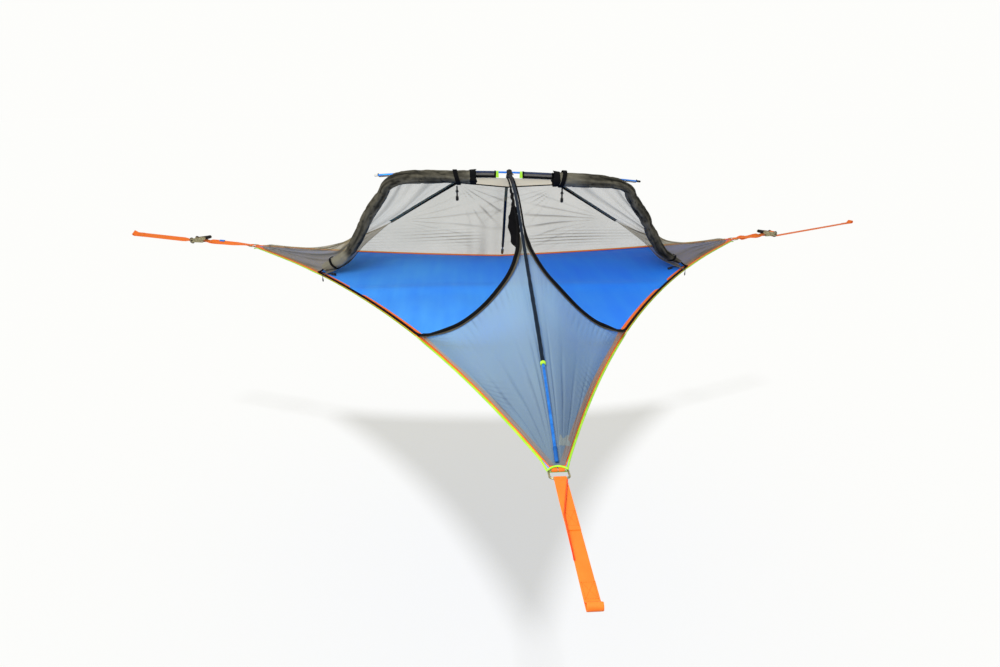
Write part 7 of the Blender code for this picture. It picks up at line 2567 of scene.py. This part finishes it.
def make_stage():
    """A plain pale floor below the hanging tent, which keeps the tent's soft shadow."""
    mesh = bpy.data.meshes.new("studio_floor")
    r = STAGE_REACH
    z = STAGE_HEIGHT
    mesh.from_pydata([(-r, -r, z), (r, -r, z), (r, r, z), (-r, r, z)], [], [(0, 1, 2, 3)])
    material = bpy.data.materials.new("studio_floor_paint")
    material.use_nodes = True
    tree = material.node_tree
    tree.nodes.clear()
    # The floor's own glow makes up what the lamps leave, so that it ends without a line.
    lit = WORLD_LIGHT + SHADE_LIGHT * cos(radians(LAMP_LEAN)) / pi
    glow_colour = [shown - paint * lit for shown, paint in zip(SHOWN, STAGE_PAINT)]
    seen = seen_directly(tree)
    paint = put(tree, "BsdfDiffuse", {"Color": (*STAGE_PAINT, 1.0)})
    glow = put(tree, "Emission", {"Color": (*glow_colour, 1.0), "Strength": seen})
    put(tree, "OutputMaterial", [put(tree, "AddShader", (paint, glow))])
    mesh.materials.append(material)
    obj = bpy.data.objects.new("studio_floor", mesh)
    bpy.context.scene.collection.objects.link(obj)
    only_stage = bpy.data.collections.new("lit_by_shade_lamp")
    only_stage.objects.link(obj)
    bpy.data.objects["shade_lamp"].light_linking.receiver_collection = only_stage
    all_else = bpy.data.collections.new("not_lit_by_soft_lamp")
    all_else.objects.link(obj)
    all_else.collection_objects[0].light_linking.link_state = "EXCLUDE"
    bpy.data.objects["soft_lamp"].light_linking.receiver_collection = all_else


def seen_directly(tree):
    """One for rays that show a thing to the eye, straight on, mirrored or through cloth."""
    ray = put(tree, "LightPath", out=None).outputs
    seen = put(tree, "Math", (ray["Is Camera Ray"], ray["Is Glossy Ray"]), operation="MAXIMUM")
    return put(tree, "Math", (seen, ray["Is Transmission Ray"]), operation="MAXIMUM")


def make_light():
    """A pale world all round, a wide soft lamp to the left, and a lamp that casts the shade below."""
    world = bpy.data.worlds.new("studio_world")
    bpy.context.scene.world = world
    world.use_nodes = True
    tree = world.node_tree
    tree.nodes.clear()
    seen = seen_directly(tree)
    fill = put(tree, "Background", {"Color": "#FFFFFF", "Strength": WORLD_LIGHT})
    shown = put(tree, "Background", {"Color": (*SHOWN, 1.0), "Strength": 1.0})
    put(tree, "OutputWorld", [put(tree, "MixShader", (seen, fill, shown))])
    lean = radians(LAMP_LEAN)
    down = Vector((sin(radians(SHADE_SIDE)), sin(lean), -cos(lean)))
    shade = bpy.data.lights.new("shade_lamp", "SUN")
    shade.energy = SHADE_LIGHT
    shade.angle = radians(SHADE_SPREAD)
    soft = bpy.data.lights.new("soft_lamp", "AREA")
    soft.shape = "SQUARE"
    soft.size = LAMP_SIZE
    soft.energy = LAMP_LIGHT
    soft.color = (1.0, 0.985, 0.955)
    place = Vector(LAMP_PLACE)
    for name, lamp, at, way in (("shade_lamp", shade, (0, -3.0, 4.5), down),
                                ("soft_lamp", soft, LAMP_PLACE, Vector(LAMP_TARGET) - place)):
        obj = bpy.data.objects.new(name, lamp)
        obj.rotation_mode = "QUATERNION"
        obj.rotation_quaternion = way.to_track_quat("-Z", "Y")
        obj.location = at
        bpy.context.scene.collection.objects.link(obj)


def make_camera():
    data = bpy.data.cameras.new("photo_camera")
    data.sensor_width = 36
    data.sensor_fit = "HORIZONTAL"
    data.lens = CAMERA_LENS
    data.clip_start = CAMERA_NEAR
    data.clip_end = 200
    obj = bpy.data.objects.new("photo_camera", data)
    obj.location = CAMERA_PLACE
    forward = Vector((sin(CAMERA_YAW) * cos(CAMERA_PITCH),
                      cos(CAMERA_YAW) * cos(CAMERA_PITCH), -sin(CAMERA_PITCH)))
    obj.rotation_mode = "QUATERNION"
    obj.rotation_quaternion = forward.to_track_quat("-Z", "Y")
    bpy.context.scene.collection.objects.link(obj)
    bpy.context.scene.camera = obj
    bpy.context.scene.view_settings.view_transform = "Standard"


def main():
    make_camera()
    make_floor()
    make_edges()
    make_patch()
    make_poles()
    make_pocket("front", RIDGE[0], (RIDGE[1] - RIDGE[0]).normalized(), 0.68 * POCKET_RADIUS, POCKET_BLUE)
    make_pocket("back", RIDGE[-1], (RIDGE[-2] - RIDGE[-1]).normalized(), POCKET_RADIUS, BLACK)
    make_sleeve()
    make_rear_sleeve()
    make_peak_cap()
    make_front_mesh()
    make_back_wall()
    make_gusset()
    make_door_tape()
    for name, side in SIDES.items():
        make_wing(name, side)
        make_zip(name, side)
        make_ridge_band(name, side)
        make_roll(name, side)
        make_tie("top", name, side, TIE_TOP_SHARE, TIE_WIDTH)
        make_tie("low", name, side, TIE_LOW_SHARE, 0.65 * TIE_WIDTH)
        make_foot_ties(name, side)
        make_spreader_sleeve(name, side)
        make_lime_tab(name, side)
        make_tip_elastic(name, side)
        make_toggle(name, side)
        make_pull(name, side)
    for name, corner in CORNERS.items():
        make_corner_ring(name, corner)
    front = Strap(CORNERS["front"], -90)
    left = Strap(CORNERS["left"], 180 - STRAP_TURN)
    right = Strap(CORNERS["right"], STRAP_TURN)
    near = LEFT_RATCHET_PLACE - FRAME_BACK
    far = LEFT_RATCHET_PLACE + 2 * FRAME_FRONT
    left.rolls = (
        (0.0, 0.0), (STRAP_STRAIGHT, 0.0), (0.5 * near, -30.0), (near - TWIST_BEFORE, -42.0),
        (near - TWIST_OUT, 0.0), (far, 0.0), (far + LEFT_TWIST_AFTER, -36.0), (STRAP_FAR, -36.0),
    )
    near = RIGHT_RATCHET_PLACE - FRAME_BACK
    right.rolls = (
        (0.0, 0.0), (STRAP_STRAIGHT, 0.0), (STRAP_STRAIGHT + RIGHT_TWIST_AFTER, 48.0), (0.5 * near, 14.0),
        (near - TWIST_BEFORE, 46.0), (near - TWIST_OUT, 0.0), (STRAP_FAR, 0.0),
    )
    seams = make_front_strap(front)
    seams += make_short_strap("left", left, LEFT_RATCHET_PLACE)
    seams += make_short_strap("right", right, RIGHT_RATCHET_PLACE)
    seams += make_tree_strap("left", left, LEFT_RATCHET_PLACE, LEFT_STRAP_LENGTH, False)
    seams += make_tree_strap("right", right, RIGHT_RATCHET_PLACE, RIGHT_STRAP_LENGTH, True)
    worn_by(along_paths("strap_box_stitches", seams, BOX_STITCH, ORANGE_THREAD),
            slot="orange_webbing")
    make_tag(left, LEFT_RATCHET_PLACE)
    make_ratchet_trim("left", ratchet_place(left, LEFT_RATCHET_PLACE))
    right_place = ratchet_place(right, RIGHT_RATCHET_PLACE)
    make_ratchet_trim("right", right_place)
    make_winding(right_place)
    ferrule = frame["nodes"]["ridge_ferrule"].data
    ferrule.materials.clear()
    ferrule.materials.append(ALLOY)
    make_light()
    make_stage()


main()
